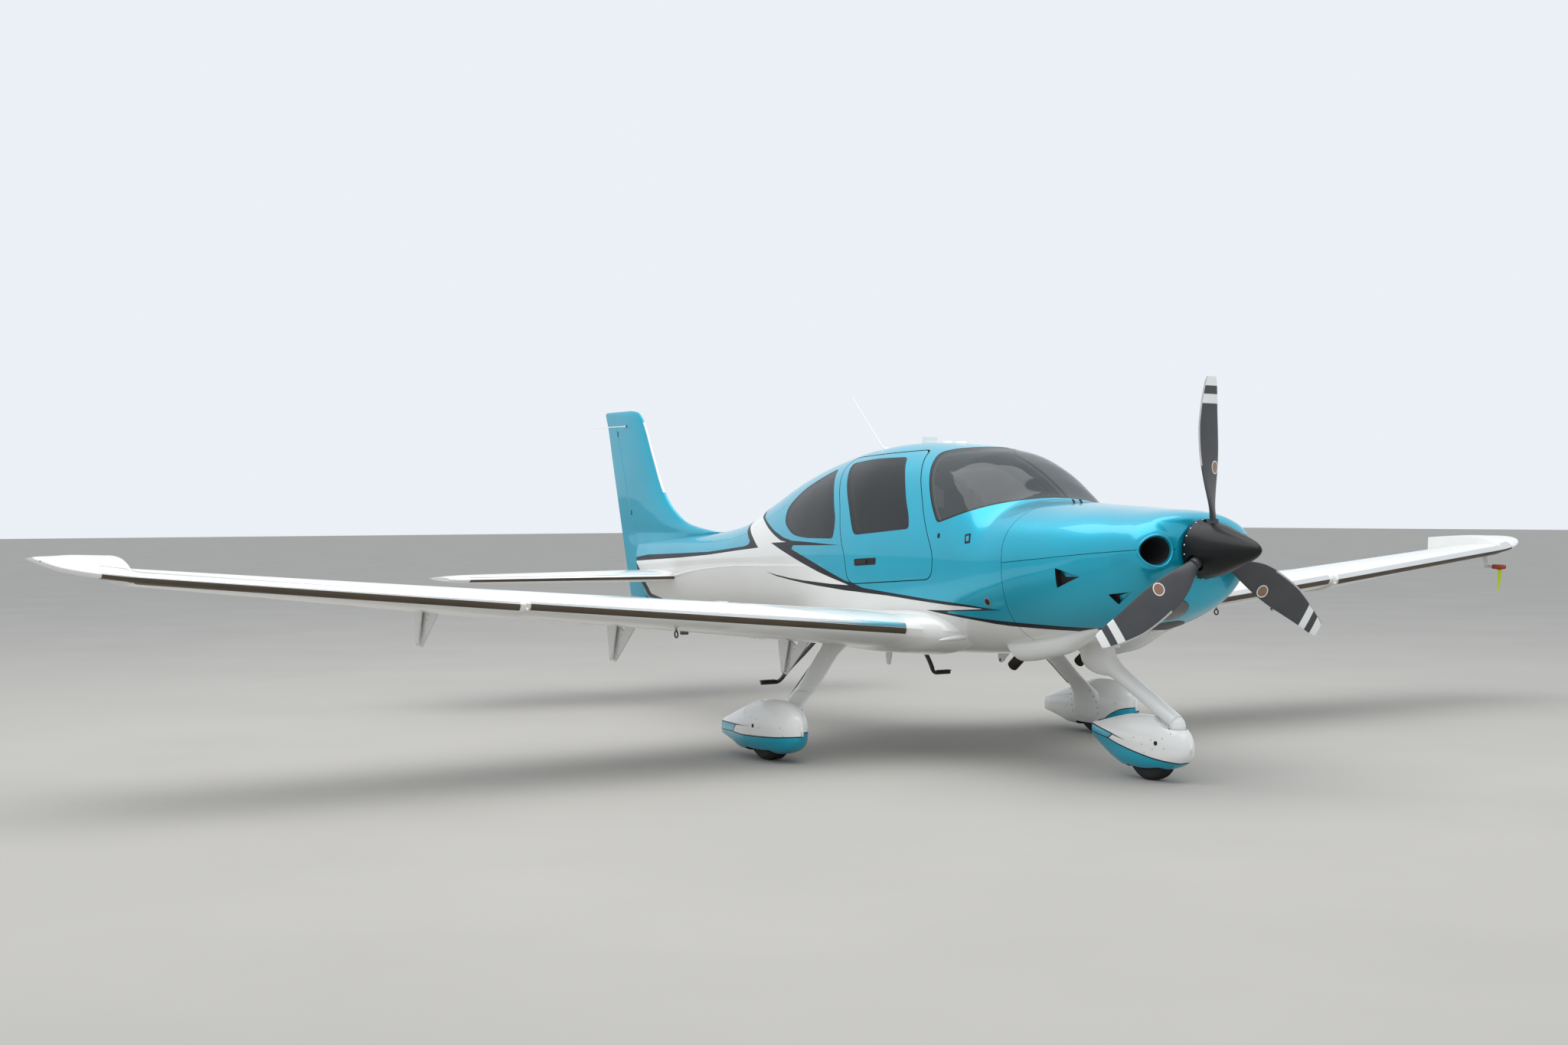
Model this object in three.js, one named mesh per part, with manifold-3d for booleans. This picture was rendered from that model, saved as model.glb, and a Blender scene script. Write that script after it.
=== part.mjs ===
// Four-seat low-wing light aircraft with fixed, faired tricycle gear and a three-blade propeller.
// Millimetres. +Z up, nose towards -Y, +X is the aircraft's left. The ground is Z = 0.
// Inside the root group Y is the station: the distance aft of the spinner's tip.
import * as THREE from "three";
import { mergeVertices } from "three/addons/utils/BufferGeometryUtils.js";
import Module from "manifold-3d";

const wasm = await Module();
wasm.setup();

// ---------------------------------------------------------------- driving dimensions
const LENGTH = 7920;
const SEMI_SPAN = 5840;
const WALL = 35; // cabin wall and doors
const SKIN = 12; // cowling, door skins and tail cone
const GAP = 0.6; // between fixed pieces that touch
const PROP = { s: 370, z: 1357, radius: 978, blades: 3 };
const SPINNER_R = 172;
const FIREWALL = 1511;
const MAIN = { x: 1381, s: 2891, r: 190, w: 150 };
const NOSE = { s: 861, r: 175, w: 120, pivot: 652 };
const FLAP = { x0: 690, x1: 3756, chord: 0.245 };
const AILERON = { x0: 3776, x1: 5400, chord: 0.235 };
const ELEVATOR = { x0: 112, x1: 1940, s: 6985 };
const STAB_Z = 1048;
const RUDDER = { s0: 7130, z0: 847, slope: 0.373, top: 2330, bottom: 845 };
const CUFF = 3284; // the outer leading edge starts here, further forward and lower

// ---------------------------------------------------------------- fuselage sections
// station, top, bottom, height of the widest point, half width, upper and lower superellipse exponents
const FUSELAGE = [
  [448, 1500, 1215, 1357, 200, 2.0, 2.0],
  [470, 1536, 1115, 1350, 335, 2.3, 2.1],
  [520, 1566, 1025, 1338, 420, 2.5, 2.2],
  [620, 1582, 955, 1325, 458, 2.5, 2.2],
  [800, 1590, 887, 1312, 503, 2.5, 2.3],
  [1000, 1602, 838, 1300, 548, 2.5, 2.4],
  [1300, 1619, 775, 1285, 588, 2.4, 2.5],
  [1520, 1633, 733, 1277, 610, 2.4, 2.5],
  [1700, 1645, 705, 1268, 620, 2.3, 2.5],
  [1760, 1675, 698, 1266, 623, 2.25, 2.5],
  [1880, 1801, 686, 1262, 627, 2.25, 2.55],
  [2000, 1896, 675, 1257, 630, 2.3, 2.6],
  [2180, 1968, 662, 1253, 633, 2.4, 2.6],
  [2500, 2012, 648, 1250, 636, 2.45, 2.6],
  [3000, 2042, 640, 1250, 630, 2.45, 2.6],
  [3400, 2018, 642, 1247, 606, 2.4, 2.5],
  [3800, 1954, 660, 1243, 562, 2.3, 2.4],
  [4200, 1862, 692, 1237, 500, 2.2, 2.3],
  [4700, 1693, 738, 1228, 415, 2.1, 2.2],
  [5100, 1535, 770, 1220, 350, 2.05, 2.1],
  [5437, 1463, 793, 1210, 300, 2.0, 2.1],
  [5900, 1405, 810, 1190, 240, 2.0, 2.1],
  [6500, 1370, 826, 1160, 165, 2.0, 2.1],
  [7000, 1330, 842, 1130, 100, 2.0, 2.1],
  [7260, 1310, 850, 1110, 70, 2.0, 2.1],
];

// ---------------------------------------------------------------- solids
const meshToSolid = (pos, tri) => {
  const make = (t) =>
    new wasm.Manifold(
      new wasm.Mesh({
        numProp: 3,
        vertProperties: new Float32Array(pos),
        triVerts: new Uint32Array(t),
      }),
    );
  const s = make(tri);
  if (s.volume() >= 0) return s;
  const flipped = [];
  for (let i = 0; i < tri.length; i += 3)
    flipped.push(tri[i], tri[i + 2], tri[i + 1]);
  return make(flipped);
};
const fromGeometry = (geometry, matrix) => {
  let g = geometry.clone();
  g.deleteAttribute("normal");
  g.deleteAttribute("uv");
  if (matrix) g.applyMatrix4(matrix);
  g = mergeVertices(g, 1e-4);
  return meshToSolid(g.attributes.position.array, g.index.array);
};
const remap = (solid, fn) => {
  const m = solid.getMesh();
  const pos = [];
  for (let i = 0; i < m.numVert; i++) {
    const k = i * m.numProp;
    pos.push(
      ...fn(m.vertProperties[k], m.vertProperties[k + 1], m.vertProperties[k + 2]),
    );
  }
  return meshToSolid(pos, Array.from(m.triVerts));
};
const mirrored = (solid) => remap(solid, (x, y, z) => [-x, y, z]);
const shift = (solid, dx, dy = 0, dz = 0) => remap(solid, (x, y, z) => [x + dx, y + dy, z + dz]);
const join = (...list) => list.flat().reduce((a, b) => a.add(b));
const biggest = (solid) =>
  solid.decompose().sort((a, b) => b.volume() - a.volume())[0];

// a solid through a row of rings with the same number of points
function loft(rings) {
  const n = rings[0].length,
    pos = [],
    tri = [];
  for (const r of rings) for (const p of r) pos.push(...p);
  for (let i = 0; i < rings.length - 1; i++)
    for (let j = 0; j < n; j++) {
      const a = i * n + j,
        b = i * n + ((j + 1) % n);
      // the diagonals mirror from side to side
      if (rings[i][j][0] + rings[i][(j + 1) % n][0] >= 0) tri.push(a, b, b + n, a, b + n, a + n);
      else tri.push(a, b, a + n, b, b + n, a + n);
    }
  for (const [k, flip] of [
    [0, false],
    [rings.length - 1, true],
  ]) {
    const c = [0, 1, 2].map(
      (q) => rings[k].reduce((sum, p) => sum + p[q], 0) / n,
    );
    const id = pos.length / 3;
    pos.push(...c);
    for (let j = 0; j < n; j++) {
      const a = k * n + j,
        b = k * n + ((j + 1) % n);
      flip ? tri.push(a, b, id) : tri.push(b, a, id);
    }
  }
  return meshToSolid(pos, tri);
}
// a rod of varying round or oval section along a path of [x, s, z, r1, r2]; r2 is the radius along "wide"
function rod(path, n = 10, wide = [0, 1, 0]) {
  const P = path.map((p) => new THREE.Vector3(p[0], p[1], p[2]));
  const W = new THREE.Vector3(...wide);
  return loft(
    path.map((p, i) => {
      const t = new THREE.Vector3()
        .subVectors(P[Math.min(i + 1, P.length - 1)], P[Math.max(i - 1, 0)])
        .normalize();
      const v = W.clone().addScaledVector(t, -W.dot(t)).normalize();
      const u = new THREE.Vector3().crossVectors(t, v);
      return Array.from({ length: n }, (_, k) => {
        const a = ((k + 0.5) / n) * 2 * Math.PI;
        return P[i]
          .clone()
          .addScaledVector(u, p[3] * Math.cos(a))
          .addScaledVector(v, (p[4] ?? p[3]) * Math.sin(a))
          .toArray();
      });
    }),
  );
}
const box = (x0, x1, y0, y1, z0, z1) =>
  fromGeometry(
    new THREE.BoxGeometry(x1 - x0, y1 - y0, z1 - z0),
    new THREE.Matrix4().makeTranslation((x0 + x1) / 2, (y0 + y1) / 2, (z0 + z1) / 2),
  );
// outline of [station, z] pushed along X
const SIDE = new THREE.Matrix4().makeBasis(
  new THREE.Vector3(0, 1, 0),
  new THREE.Vector3(0, 0, 1),
  new THREE.Vector3(1, 0, 0),
);
const sidePrism = (pts, x0, x1) =>
  fromGeometry(
    new THREE.ExtrudeGeometry(new THREE.Shape(pts.map((p) => new THREE.Vector2(...p))), {
      depth: x1 - x0,
      bevelEnabled: false,
      steps: 1,
    }),
    new THREE.Matrix4().makeTranslation(x0, 0, 0).multiply(SIDE),
  );
// outline of [x, station] pushed along Z
const planPrism = (pts, z0, z1) =>
  fromGeometry(
    new THREE.ExtrudeGeometry(new THREE.Shape(pts.map((p) => new THREE.Vector2(...p))), {
      depth: z1 - z0,
      bevelEnabled: false,
      steps: 1,
    }),
    new THREE.Matrix4().makeTranslation(0, 0, z0),
  );
// profile of [radius, along] turned about Y, or about X
function turned(profile, n, x, s, z, axis = "y") {
  const g = new THREE.LatheGeometry(
    profile.map((p) => new THREE.Vector2(...p)),
    n,
  );
  const m = new THREE.Matrix4().makeTranslation(x, s, z);
  if (axis === "x") m.multiply(new THREE.Matrix4().makeRotationZ(-Math.PI / 2));
  if (axis === "z") m.multiply(new THREE.Matrix4().makeRotationX(Math.PI / 2));
  return fromGeometry(g, m);
}
const drum = (r, len, n, x, s, z, axis) =>
  turned(
    [
      [0, -len / 2],
      [r, -len / 2],
      [r, len / 2],
      [0, len / 2],
    ],
    n,
    x,
    s,
    z,
    axis,
  );
// an outline moved in (positive) or out by d
function inset(pts, d) {
  const n = pts.length;
  const area = pts.reduce((sum, p, i) => {
    const q = pts[(i + 1) % n];
    return sum + p[0] * q[1] - q[0] * p[1];
  }, 0);
  const sign = Math.sign(area);
  return pts.map((p, i) => {
    const a = pts[(i + n - 1) % n],
      b = pts[(i + 1) % n];
    const e1 = new THREE.Vector2(p[0] - a[0], p[1] - a[1]).normalize();
    const e2 = new THREE.Vector2(b[0] - p[0], b[1] - p[1]).normalize();
    const n1 = new THREE.Vector2(-e1.y, e1.x).multiplyScalar(sign),
      n2 = new THREE.Vector2(-e2.y, e2.x).multiplyScalar(sign);
    const m = n1.clone().add(n2).normalize();
    const k = d / Math.max(0.5, m.dot(n1));
    return [p[0] + m.x * k, p[1] + m.y * k, p[2]];
  });
}
// outline corners rounded by short chamfers
function rounded(pts, r, steps = 2) {
  const n = pts.length,
    out = [];
  pts.forEach((p, i) => {
    const a = new THREE.Vector2(...pts[(i + n - 1) % n]),
      b = new THREE.Vector2(...pts[(i + 1) % n]),
      c = new THREE.Vector2(...p);
    const bend = c.clone().sub(a).angleTo(b.clone().sub(c));
    if (bend < 0.4) return void out.push([c.x, c.y]);
    const rr = Math.min(p[2] ?? r, a.distanceTo(c) * 0.48, b.distanceTo(c) * 0.48);
    const s = c.clone().lerp(a, rr / a.distanceTo(c)),
      e = c.clone().lerp(b, rr / b.distanceTo(c));
    const q = new THREE.QuadraticBezierCurve(s, c, e);
    for (let k = 0; k <= steps; k++) out.push(q.getPoint(k / steps).toArray());
  });
  return out.filter((p, i) => {
    const o = out[(i + 1) % out.length];
    return Math.hypot(p[0] - o[0], p[1] - o[1]) > 1;
  });
}

// ---------------------------------------------------------------- fuselage surface
// monotone cubic through one column of a table
function column(table, k, x) {
  const xs = table.map((r) => r[0]),
    ys = table.map((r) => r[k]),
    n = xs.length;
  const h = [],
    d = [];
  for (let i = 0; i < n - 1; i++) {
    h.push(xs[i + 1] - xs[i]);
    d.push((ys[i + 1] - ys[i]) / h[i]);
  }
  const slope = (i) => {
    if (i === 0) return d[0];
    if (i === n - 1) return d[n - 2];
    if (d[i - 1] * d[i] <= 0) return 0;
    const w1 = 2 * h[i] + h[i - 1],
      w2 = h[i] + 2 * h[i - 1];
    return (w1 + w2) / (w1 / d[i - 1] + w2 / d[i]);
  };
  let i = 0;
  while (i < n - 2 && x > xs[i + 1]) i++;
  const t = (x - xs[i]) / h[i];
  return (
    ys[i] * (1 + 2 * t) * (1 - t) ** 2 +
    slope(i) * h[i] * t * (1 - t) ** 2 +
    ys[i + 1] * t * t * (3 - 2 * t) +
    slope(i + 1) * h[i] * t * t * (t - 1)
  );
}
function section(s, off = 0, n = 24) {
  const [top, bottom, mid, half, nt, nb] = [1, 2, 3, 4, 5, 6].map((k) =>
    column(FUSELAGE, k, s),
  );
  return Array.from({ length: n }, (_, i) => {
    const a = (i / n) * 2 * Math.PI,
      c = Math.cos(a),
      q = Math.sin(a),
      up = q >= -1e-9,
      e = 2 / (up ? nt : nb);
    const h = up ? top + off - mid : mid - bottom + off;
    return [
      (half + off) * Math.sign(c) * Math.abs(c) ** e,
      s,
      mid + Math.sign(q) * h * Math.abs(q) ** e,
    ];
  });
}
const hull = (stations, off = 0, n = 24) => loft(stations.map((s) => section(s, off, n)));
const between = (a, b) => [
  a,
  ...FUSELAGE.map((r) => r[0]).filter((s) => s > a + 15 && s < b - 15),
  b,
];

// outlines on the side of the fuselage, seen from the side: [station, z, corner radius]
const WINDSHIELD = [
  [1737, 1652, 5],
  [1782, 1627, 20],
  [1850, 1594, 30],
  [1957, 1559, 40],
  [2068, 1524, 40],
  [2150, 1503, 30],
  [2225, 1591, 60],
  [2337, 1737, 80],
  [2459, 1882, 60],
  [2522, 1962, 30],
  [2457, 1984, 20],
  [2335, 1995, 10],
  [2325, 2100, 5],
  [1737, 2100, 5],
];
const DOOR = [
  [2183, 1150, 80],
  [3140, 1092, 150],
  [3172, 1270, 90],
  [3232, 1400, 90],
  [3285, 1600, 160],
  [3560, 1948, 130],
  [2650, 1982, 50],
  [2499, 1831, 80],
  [2360, 1666, 80],
  [2246, 1456, 60],
  [2168, 1310, 60],
];
const DOOR_WINDOW = [
  [2432, 1466, 35],
  [3065, 1420, 45],
  [3170, 1607, 80],
  [3289, 1740, 80],
  [3448, 1908, 50],
  [3149, 1934, 90],
  [2780, 1936, 40],
  [2603, 1769, 80],
  [2455, 1554, 60],
];
const REAR_WINDOW = [
  [3338, 1394, 36],
  [3772, 1394, 120],
  [3990, 1416, 90],
  [4160, 1500, 70],
  [4196, 1610, 60],
  [4047, 1735, 90],
  [3834, 1816, 90],
  [3632, 1878, 36],
  [3448, 1710, 90],
  [3322, 1520, 80],
];

const parts = [];
const COLOUR = {
  teal: [0x14b4cc, 0.25, 0],
  white: [0xf1f2f2, 0.25, 0],
  black: [0x16171a, 0.45, 0],
  glass: [0x24282b, 0.1, 0],
  metal: [0xb9b7b2, 0.35, 0.9],
  rubber: [0x1a1a1a, 0.85, 0],
  grey: [0x77797c, 0.6, 0.2],
  seat: [0x2b2a2c, 0.8, 0],
  red: [0xc4452c, 0.7, 0],
  lime: [0xc8e22c, 0.7, 0],
};
const put = (name, solid, colour) => parts.push([name, solid, COLOUR[colour]]);

const outer = hull(between(FIREWALL + GAP / 2, 7258));
const keepOut = hull(between(450, 7259), 2);

// ---------------------------------------------------------------- wing surfaces
// closed aerofoil loop of [fraction of chord, height as a fraction of chord]
function aerofoil(t, camber, n = 8) {
  const at = (x) => {
    const y =
      5 * t * (0.2969 * Math.sqrt(x) - 0.126 * x - 0.3516 * x ** 2 + 0.2843 * x ** 3 - 0.1036 * x ** 4);
    const c =
      x < 0.4
        ? (camber / 0.16) * (0.8 * x - x * x)
        : (camber / 0.36) * (0.2 + 0.8 * x - x * x);
    return [c + y + 0.0022, c - y - 0.0022];
  };
  const xs = Array.from({ length: n }, (_, i) => (1 - Math.cos((i / (n - 1)) * Math.PI)) / 2);
  const top = xs.map((x) => [x, at(x)[0]]),
    low = xs.map((x) => [x, at(x)[1]]);
  return [...top.reverse(), ...low.slice(1)];
}
// x, leading edge station, trailing edge station, leading edge z, thickness, camber, nose-up angle in degrees
const trail = (x) => 3800 - 0.085 * x;
const WING = [
  [380, 2020, 3790, 812, 0.157, 0.008, 4.0],
  [600, 2080, 3770, 828, 0.157, 0.008, 4.0],
  [690, 2200, 3741, 836, 0.157, 0.008, 4.0],
  [770, 2268, 3735, 843, 0.157, 0.008, 4.0],
  [CUFF - 3, 2456, 3521, 1061, 0.146, 0.001, 2.4],
  [CUFF + 3, 2428, 3520, 1055, 0.152, 0.002, 2.4],
  [5400, 2590, 3341, 1249, 0.12, 0.002, 1.0],
  [5408.5, 2590, 3341, 1250, 0.12, 0.002, 1.0],
  [5413, 2591, 3340, 1250, 0.125, 0.02, -7],
  [5600, 2632, 3318, 1274, 0.12, 0.02, -6],
  [5730, 2690, 3275, 1300, 0.11, 0.015, -4],
  [5805, 2760, 3215, 1326, 0.09, 0.01, -2],
  [SEMI_SPAN, 2880, 3120, 1345, 0.07, 0, 0],
];
function wingSection(r, n = 8) {
  const [x, le, te, z, t, camber, deg] = r;
  const c = te - le,
    a = (deg * Math.PI) / 180;
  return aerofoil(t, camber, n).map(([u, v]) => [
    x,
    le + u * c,
    z + v * c - u * c * Math.tan(a),
  ]);
}
const lerpRow = (table, x) => table[0].map((_, k) => (k ? linear(table, k, x) : x));
function linear(table, k, x) {
  let i = 0;
  while (i < table.length - 2 && x > table[i + 1][0]) i++;
  const a = table[i],
    b = table[i + 1];
  return a[k] + ((x - a[0]) / (b[0] - a[0])) * (b[k] - a[k]);
}
// middle height and half thickness of the wing at x and station s
function wingAt(x, s, table = WING) {
  const [, le, te, z, t, camber, deg] = lerpRow(table, x);
  const c = te - le,
    u = (s - le) / c;
  const y =
    5 * t * (0.2969 * Math.sqrt(u) - 0.126 * u - 0.3516 * u ** 2 + 0.2843 * u ** 3 - 0.1036 * u ** 4) + 0.0022;
  const m = u < 0.4 ? (camber / 0.16) * (0.8 * u - u * u) : (camber / 0.36) * (0.2 + 0.8 * u - u * u);
  return {
    z: z + m * c - u * c * Math.tan((deg * Math.PI) / 180),
    h: y * c,
  };
}
const wingRaw = loft([...WING.map((r) => wingSection(r))]).subtract(keepOut);
const wingSolid = biggest(wingRaw);

// a control surface behind a hinge line from [x, s] to [x, s], with a round nose; inboard and outboard gaps
function splitSurface(solid, x0, x1, s0, s1, at, gap = 9, sideIn = 8, sideOut = 8, kinks = []) {
  const a = at(x0, s0),
    b = at(x1, s1);
  const k = (s1 - s0) / (x1 - x0),
    kz = (b.z - a.z) / (x1 - x0),
    kh = (b.h - a.h) / (x1 - x0);
  const nose = (extra, e, f) => {
    const p = (x) => [
      x,
      s0 + k * (x - x0),
      a.z + kz * (x - x0),
      (kinks.includes(x) ? at(x, s0 + k * (x - x0)).h : a.h + kh * (x - x0)) + extra,
    ];
    return rod([p(x0 - e - 15), ...kinks.map(p), p(x1 + f + 15)], 12).intersect(box(x0 - e, x1 + f, 0, 9000, -3000, 4000));
  };
  const plan = (e, f) => [
    [x0 - e, s0 - k * e],
    [x1 + f, s1 + k * f],
    [x1 + f, s1 + 1500],
    [x0 - e, s0 + 1500],
  ];
  const moving = biggest(
    solid.intersect(planPrism(plan(0, 0), -3000, 4000)).add(nose(-1.5, 0, 0)),
  );
  const fixed = biggest(
    solid.subtract(planPrism(plan(sideIn, sideOut), -3000, 4000)).subtract(nose(gap - 1.5, sideIn, sideOut)),
  );
  return { moving, fixed, hinge: [[x0, s0, a.z], [x1, s1, b.z]] };
}
const flapLine = (x) => trail(x) - FLAP.chord * (trail(x) - linear(WING, 1, x));
const aileronLine = (x) => trail(x) - AILERON.chord * (trail(x) - linear(WING, 1, x));
const ail = splitSurface(
  wingSolid,
  AILERON.x0,
  AILERON.x1,
  aileronLine(AILERON.x0),
  aileronLine(AILERON.x1),
  wingAt,
);
const flap = splitSurface(
  ail.fixed,
  FLAP.x0,
  FLAP.x1,
  flapLine(FLAP.x0),
  flapLine(FLAP.x1),
  wingAt,
  9,
  8,
  AILERON.x0 - FLAP.x1,
);
// flap hinges hang below the wing: fixed plate, and an arm on the flap beside it
const FLAP_PIVOT = [
  [920, 3440, 505],
  [3560, 3330, 800],
];
const pivotAt = (x) => {
  const t = (x - FLAP_PIVOT[0][0]) / (FLAP_PIVOT[1][0] - FLAP_PIVOT[0][0]);
  return FLAP_PIVOT[0].map((v, k) => v + t * (FLAP_PIVOT[1][k] - v));
};
let wingFixed = flap.fixed,
  flapMoving = flap.moving;
for (const x of [920, 2240, 3560]) {
  const [, ps, pz] = pivotAt(x);
  const nose = flapLine(x);
  const low = (s) => wingAt(x, s).z - wingAt(x, s).h;
  const aftEdge = nose - wingAt(x, nose).h - 26;
  // the plate fills the round space that the flap never enters as it swings about the pivot
  let reach = Math.hypot(nose - ps, wingAt(x, nose).z - pz) - wingAt(x, nose).h;
  for (let s = nose; s < nose + 220; s += 5) reach = Math.min(reach, Math.hypot(s - ps, low(s) - pz));
  const a0 = Math.atan2(low(aftEdge) - pz, aftEdge - ps),
    a1 = Math.atan2(low(nose + 150) - pz, nose + 150 - ps);
  const arc = Array.from({ length: 6 }, (_, k) => {
    const a = a0 + ((a1 - a0) * k) / 5;
    return [ps + (reach - 8) * Math.cos(a), pz + (reach - 8) * Math.sin(a)];
  });
  wingFixed = wingFixed.add(
    sidePrism(
      [
        [aftEdge - 130, low(aftEdge - 130) + 14],
        [aftEdge, low(aftEdge) + 14],
        ...arc,
        [ps + 22, pz - 8],
        [ps + 8, pz - 26],
        [ps - 14, pz - 22],
      ].reverse(),
      x - 5,
      x + 5,
    ),
  );
  flapMoving = flapMoving.add(
    sidePrism(
      [
        [nose + 5, low(nose + 5) + 14],
        [nose + 150, low(nose + 150) + 8],
        [ps + 20, pz - 6],
        [ps + 4, pz - 20],
        [ps - 12, pz - 8],
      ].reverse(),
      x + 12,
      x + 20,
    ),
  );
}
// jacking pad: a flat round foot under the wing beside the tie-down ring
const JACK = { x: 2060, s: 2800 };
const jackTop = wingAt(JACK.x, JACK.s);
const JACK_Z = jackTop.z - jackTop.h - 14;
wingFixed = wingFixed.add(drum(26, 34, 16, JACK.x, JACK.s, JACK_Z + 17, "z"));

// ---------------------------------------------------------------- tailplane
// the same columns as the wing
const STAB = [
  [30, 6325, 7345, STAB_Z, 0.1, 0, 0],
  [1700, 6600, 7262, STAB_Z, 0.1, 0, 0],
  [1850, 6628, 7252, STAB_Z, 0.095, 0, 0],
  [1930, 6668, 7235, STAB_Z, 0.08, 0, 0],
  [1970, 6760, 7200, STAB_Z, 0.06, 0, 0],
];
const rudderHinge = (z) => RUDDER.s0 + RUDDER.slope * (z - RUDDER.z0);
const tube = (r, x0, x1, s, z, n = 12) => drum(r, x1 - x0, n, (x0 + x1) / 2, s, z, "x");
const stabRaw = biggest(loft(STAB.map((r) => wingSection(r, 7))).subtract(keepOut));
const stabAt = (x, s) => wingAt(x, s, STAB);
const elev = splitSurface(stabRaw, ELEVATOR.x0, ELEVATOR.x1, ELEVATOR.s, ELEVATOR.s, stabAt, 9, 110, 8, [1700, 1850]);
elev.fixed = elev.fixed.subtract(tube(28, 20, ELEVATOR.x0 + 8, ELEVATOR.s, STAB_Z));

// ---------------------------------------------------------------- fin and rudder
// z, leading edge station, trailing edge station, half thickness
const FIN = [
  [830, 6700, 7441, 40],
  [1300, 6250, 7578, 42],
  [1412, 5900, 7611, 40],
  [1440, 6150, 7619, 40],
  [1490, 6440, 7633, 40],
  [1560, 6590, 7654, 40],
  [1640, 6715, 7677, 39],
  [1733, 6812, 7704, 38],
  [2050, 7010, 7796, 34],
  [2366, 7198, 7888, 29],
  [2420, 7255, 7912, 25],
  [2450, 7330, LENGTH, 18],
  [2462, 7420, 7892, 8],
];
const finTail = (z) => 7444 + 0.2913 * (z - 840);
const finSection = ([z, le, te, h]) => {
  const loop = aerofoil(1, 0, 7);
  return loop.map(([u, v]) => [(v / 0.5) * h * 0.98, le + u * (te - le), z]);
};
const finRaw = loft(FIN.map(finSection));
const finHalf = (z) => linear(FIN, 3, z);
// the rudder's hinge cone runs up the fin's rear edge
const hingeAt = (z, extra, dz = 0) => {
  const s = rudderHinge(z);
  const le = linear(FIN, 1, z),
    te = linear(FIN, 2, z),
    u = (s - le) / (te - le);
  const y = 5 * (0.2969 * Math.sqrt(u) - 0.126 * u - 0.3516 * u ** 2 + 0.2843 * u ** 3 - 0.1036 * u ** 4);
  const h = ((y + 0.0022) / 0.5) * finHalf(z) * 0.98;
  return [0, s + RUDDER.slope * dz, z + dz, h + extra];
};
const rudderNose = (extra, e) =>
  rod(
    [hingeAt(RUDDER.bottom, extra, -e - 20), hingeAt(1450, extra), hingeAt(RUDDER.top, extra, e + 20)],
    12,
  );
const behindHinge = (d, lo, hi) =>
  sidePrism(
    [
      [rudderHinge(lo) + d, lo],
      [rudderHinge(lo) + 1500, lo],
      [rudderHinge(hi) + 1500, hi],
      [rudderHinge(hi) + d, hi],
    ],
    -400,
    400,
  );
const rudder = biggest(
  finRaw
    .intersect(behindHinge(0, RUDDER.bottom, RUDDER.top))
    .add(rudderNose(-1.5, 0))
    .intersect(box(-400, 400, 6500, 8500, RUDDER.bottom, RUDDER.top)),
);
const rudderSpace = behindHinge(0, RUDDER.bottom - 200, RUDDER.top + 12)
  .add(rudderNose(10.5, 60))
  .intersect(box(-900, 900, 6500, 9500, 300, RUDDER.top + 12));
const fin = biggest(finRaw.subtract(keepOut).subtract(rudderSpace));

// ---------------------------------------------------------------- cowling and engine
const cowlStations = between(448, FIREWALL - GAP / 2);
const cowlHollow = hull([475, ...cowlStations.slice(2, -1), FIREWALL + 20], -SKIN);
// the air inlets are ovals, 188 wide and 170 high
const inletHole = (side) =>
  remap(
    turned(
      [
        [0, -80],
        [100, -80],
        [100, 90],
        [0, 90],
      ],
      20,
      0,
      500,
      0,
    ),
    (x, y, z) => [side * 326 + x * 0.94, y, 1351 + z * 0.85],
  );
let cowl = hull(cowlStations)
  .subtract(cowlHollow)
  .subtract(inletHole(1))
  .subtract(inletHole(-1))
  .subtract(drum(95, 200, 16, 0, 450, PROP.z, "y"));
// a blister under each side of the belly, open behind, where an exhaust pipe comes out
const BLISTER = [
  [1000, 40, 862, 24],
  [1070, 56, 838, 34],
  [1170, 74, 786, 50],
  [1300, 84, 726, 66],
  [1440, 88, 692, 74],
  [1640, 90, 656, 78],
  [1694, 90, 651, 78],
];
const blisterLoft = (off, cut) =>
  loft(
    BLISTER.map(([st, w, z, h], i) =>
      Array.from({ length: 8 }, (_, k) => {
        const a = ((k + 0.5) / 8) * 2 * Math.PI;
        return [
          265 + (w - off) * Math.sign(Math.cos(a)) * Math.abs(Math.cos(a)) ** 0.8,
          st + (i === 0 ? off * 4 : i === BLISTER.length - 1 ? cut + 64 * (1 + Math.sin(a)) : 0),
          z + h + (h - off) * Math.sin(a),
        ];
      }),
    ),
  );
const aftBelly = hull([FIREWALL - GAP, 1700, 1760, 1880, 2000], 2);
const blister = blisterLoft(0, 0).subtract(aftBelly);
const blisterInner = blisterLoft(9, 60);
cowl = cowl
  .add(blister)
  .add(mirrored(blister))
  .subtract(blisterInner)
  .subtract(mirrored(blisterInner));
// nose leg slot in the belly
cowl = cowl.subtract(box(-56, 56, 1140, 1500, 600, 830));
const splitLow = sidePrism(
  [
    [300, 500],
    [1700, 500],
    [1700, 1258],
    [FIREWALL, 1268],
    [800, 1335],
    [300, 1372],
  ],
  -900,
  900,
);
const splitHigh = sidePrism(
  [
    [300, 1373],
    [800, 1336],
    [FIREWALL, 1269],
    [1700, 1259],
    [1700, 2000],
    [300, 2000],
  ],
  -900,
  900,
);
put("cowl_upper", biggest(cowl.intersect(splitHigh)), "teal");
put("cowl_lower", biggest(cowl.intersect(splitLow)), "teal");

const engine = join(
  box(-290, 290, 700, 1380, 1050, 1420),
  drum(62, 262, 16, 0, 580, PROP.z, "y"),
  [-1, 1].map((q) => box(q * 250 - 22, q * 250 + 22, 1370, FIREWALL - GAP, 1320, 1364)),
  [-1, 1].map((q) => box(q * 250 - 22, q * 250 + 22, 1370, FIREWALL - GAP, 1060, 1104)),
);
put("engine_block", engine, "grey");

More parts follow.
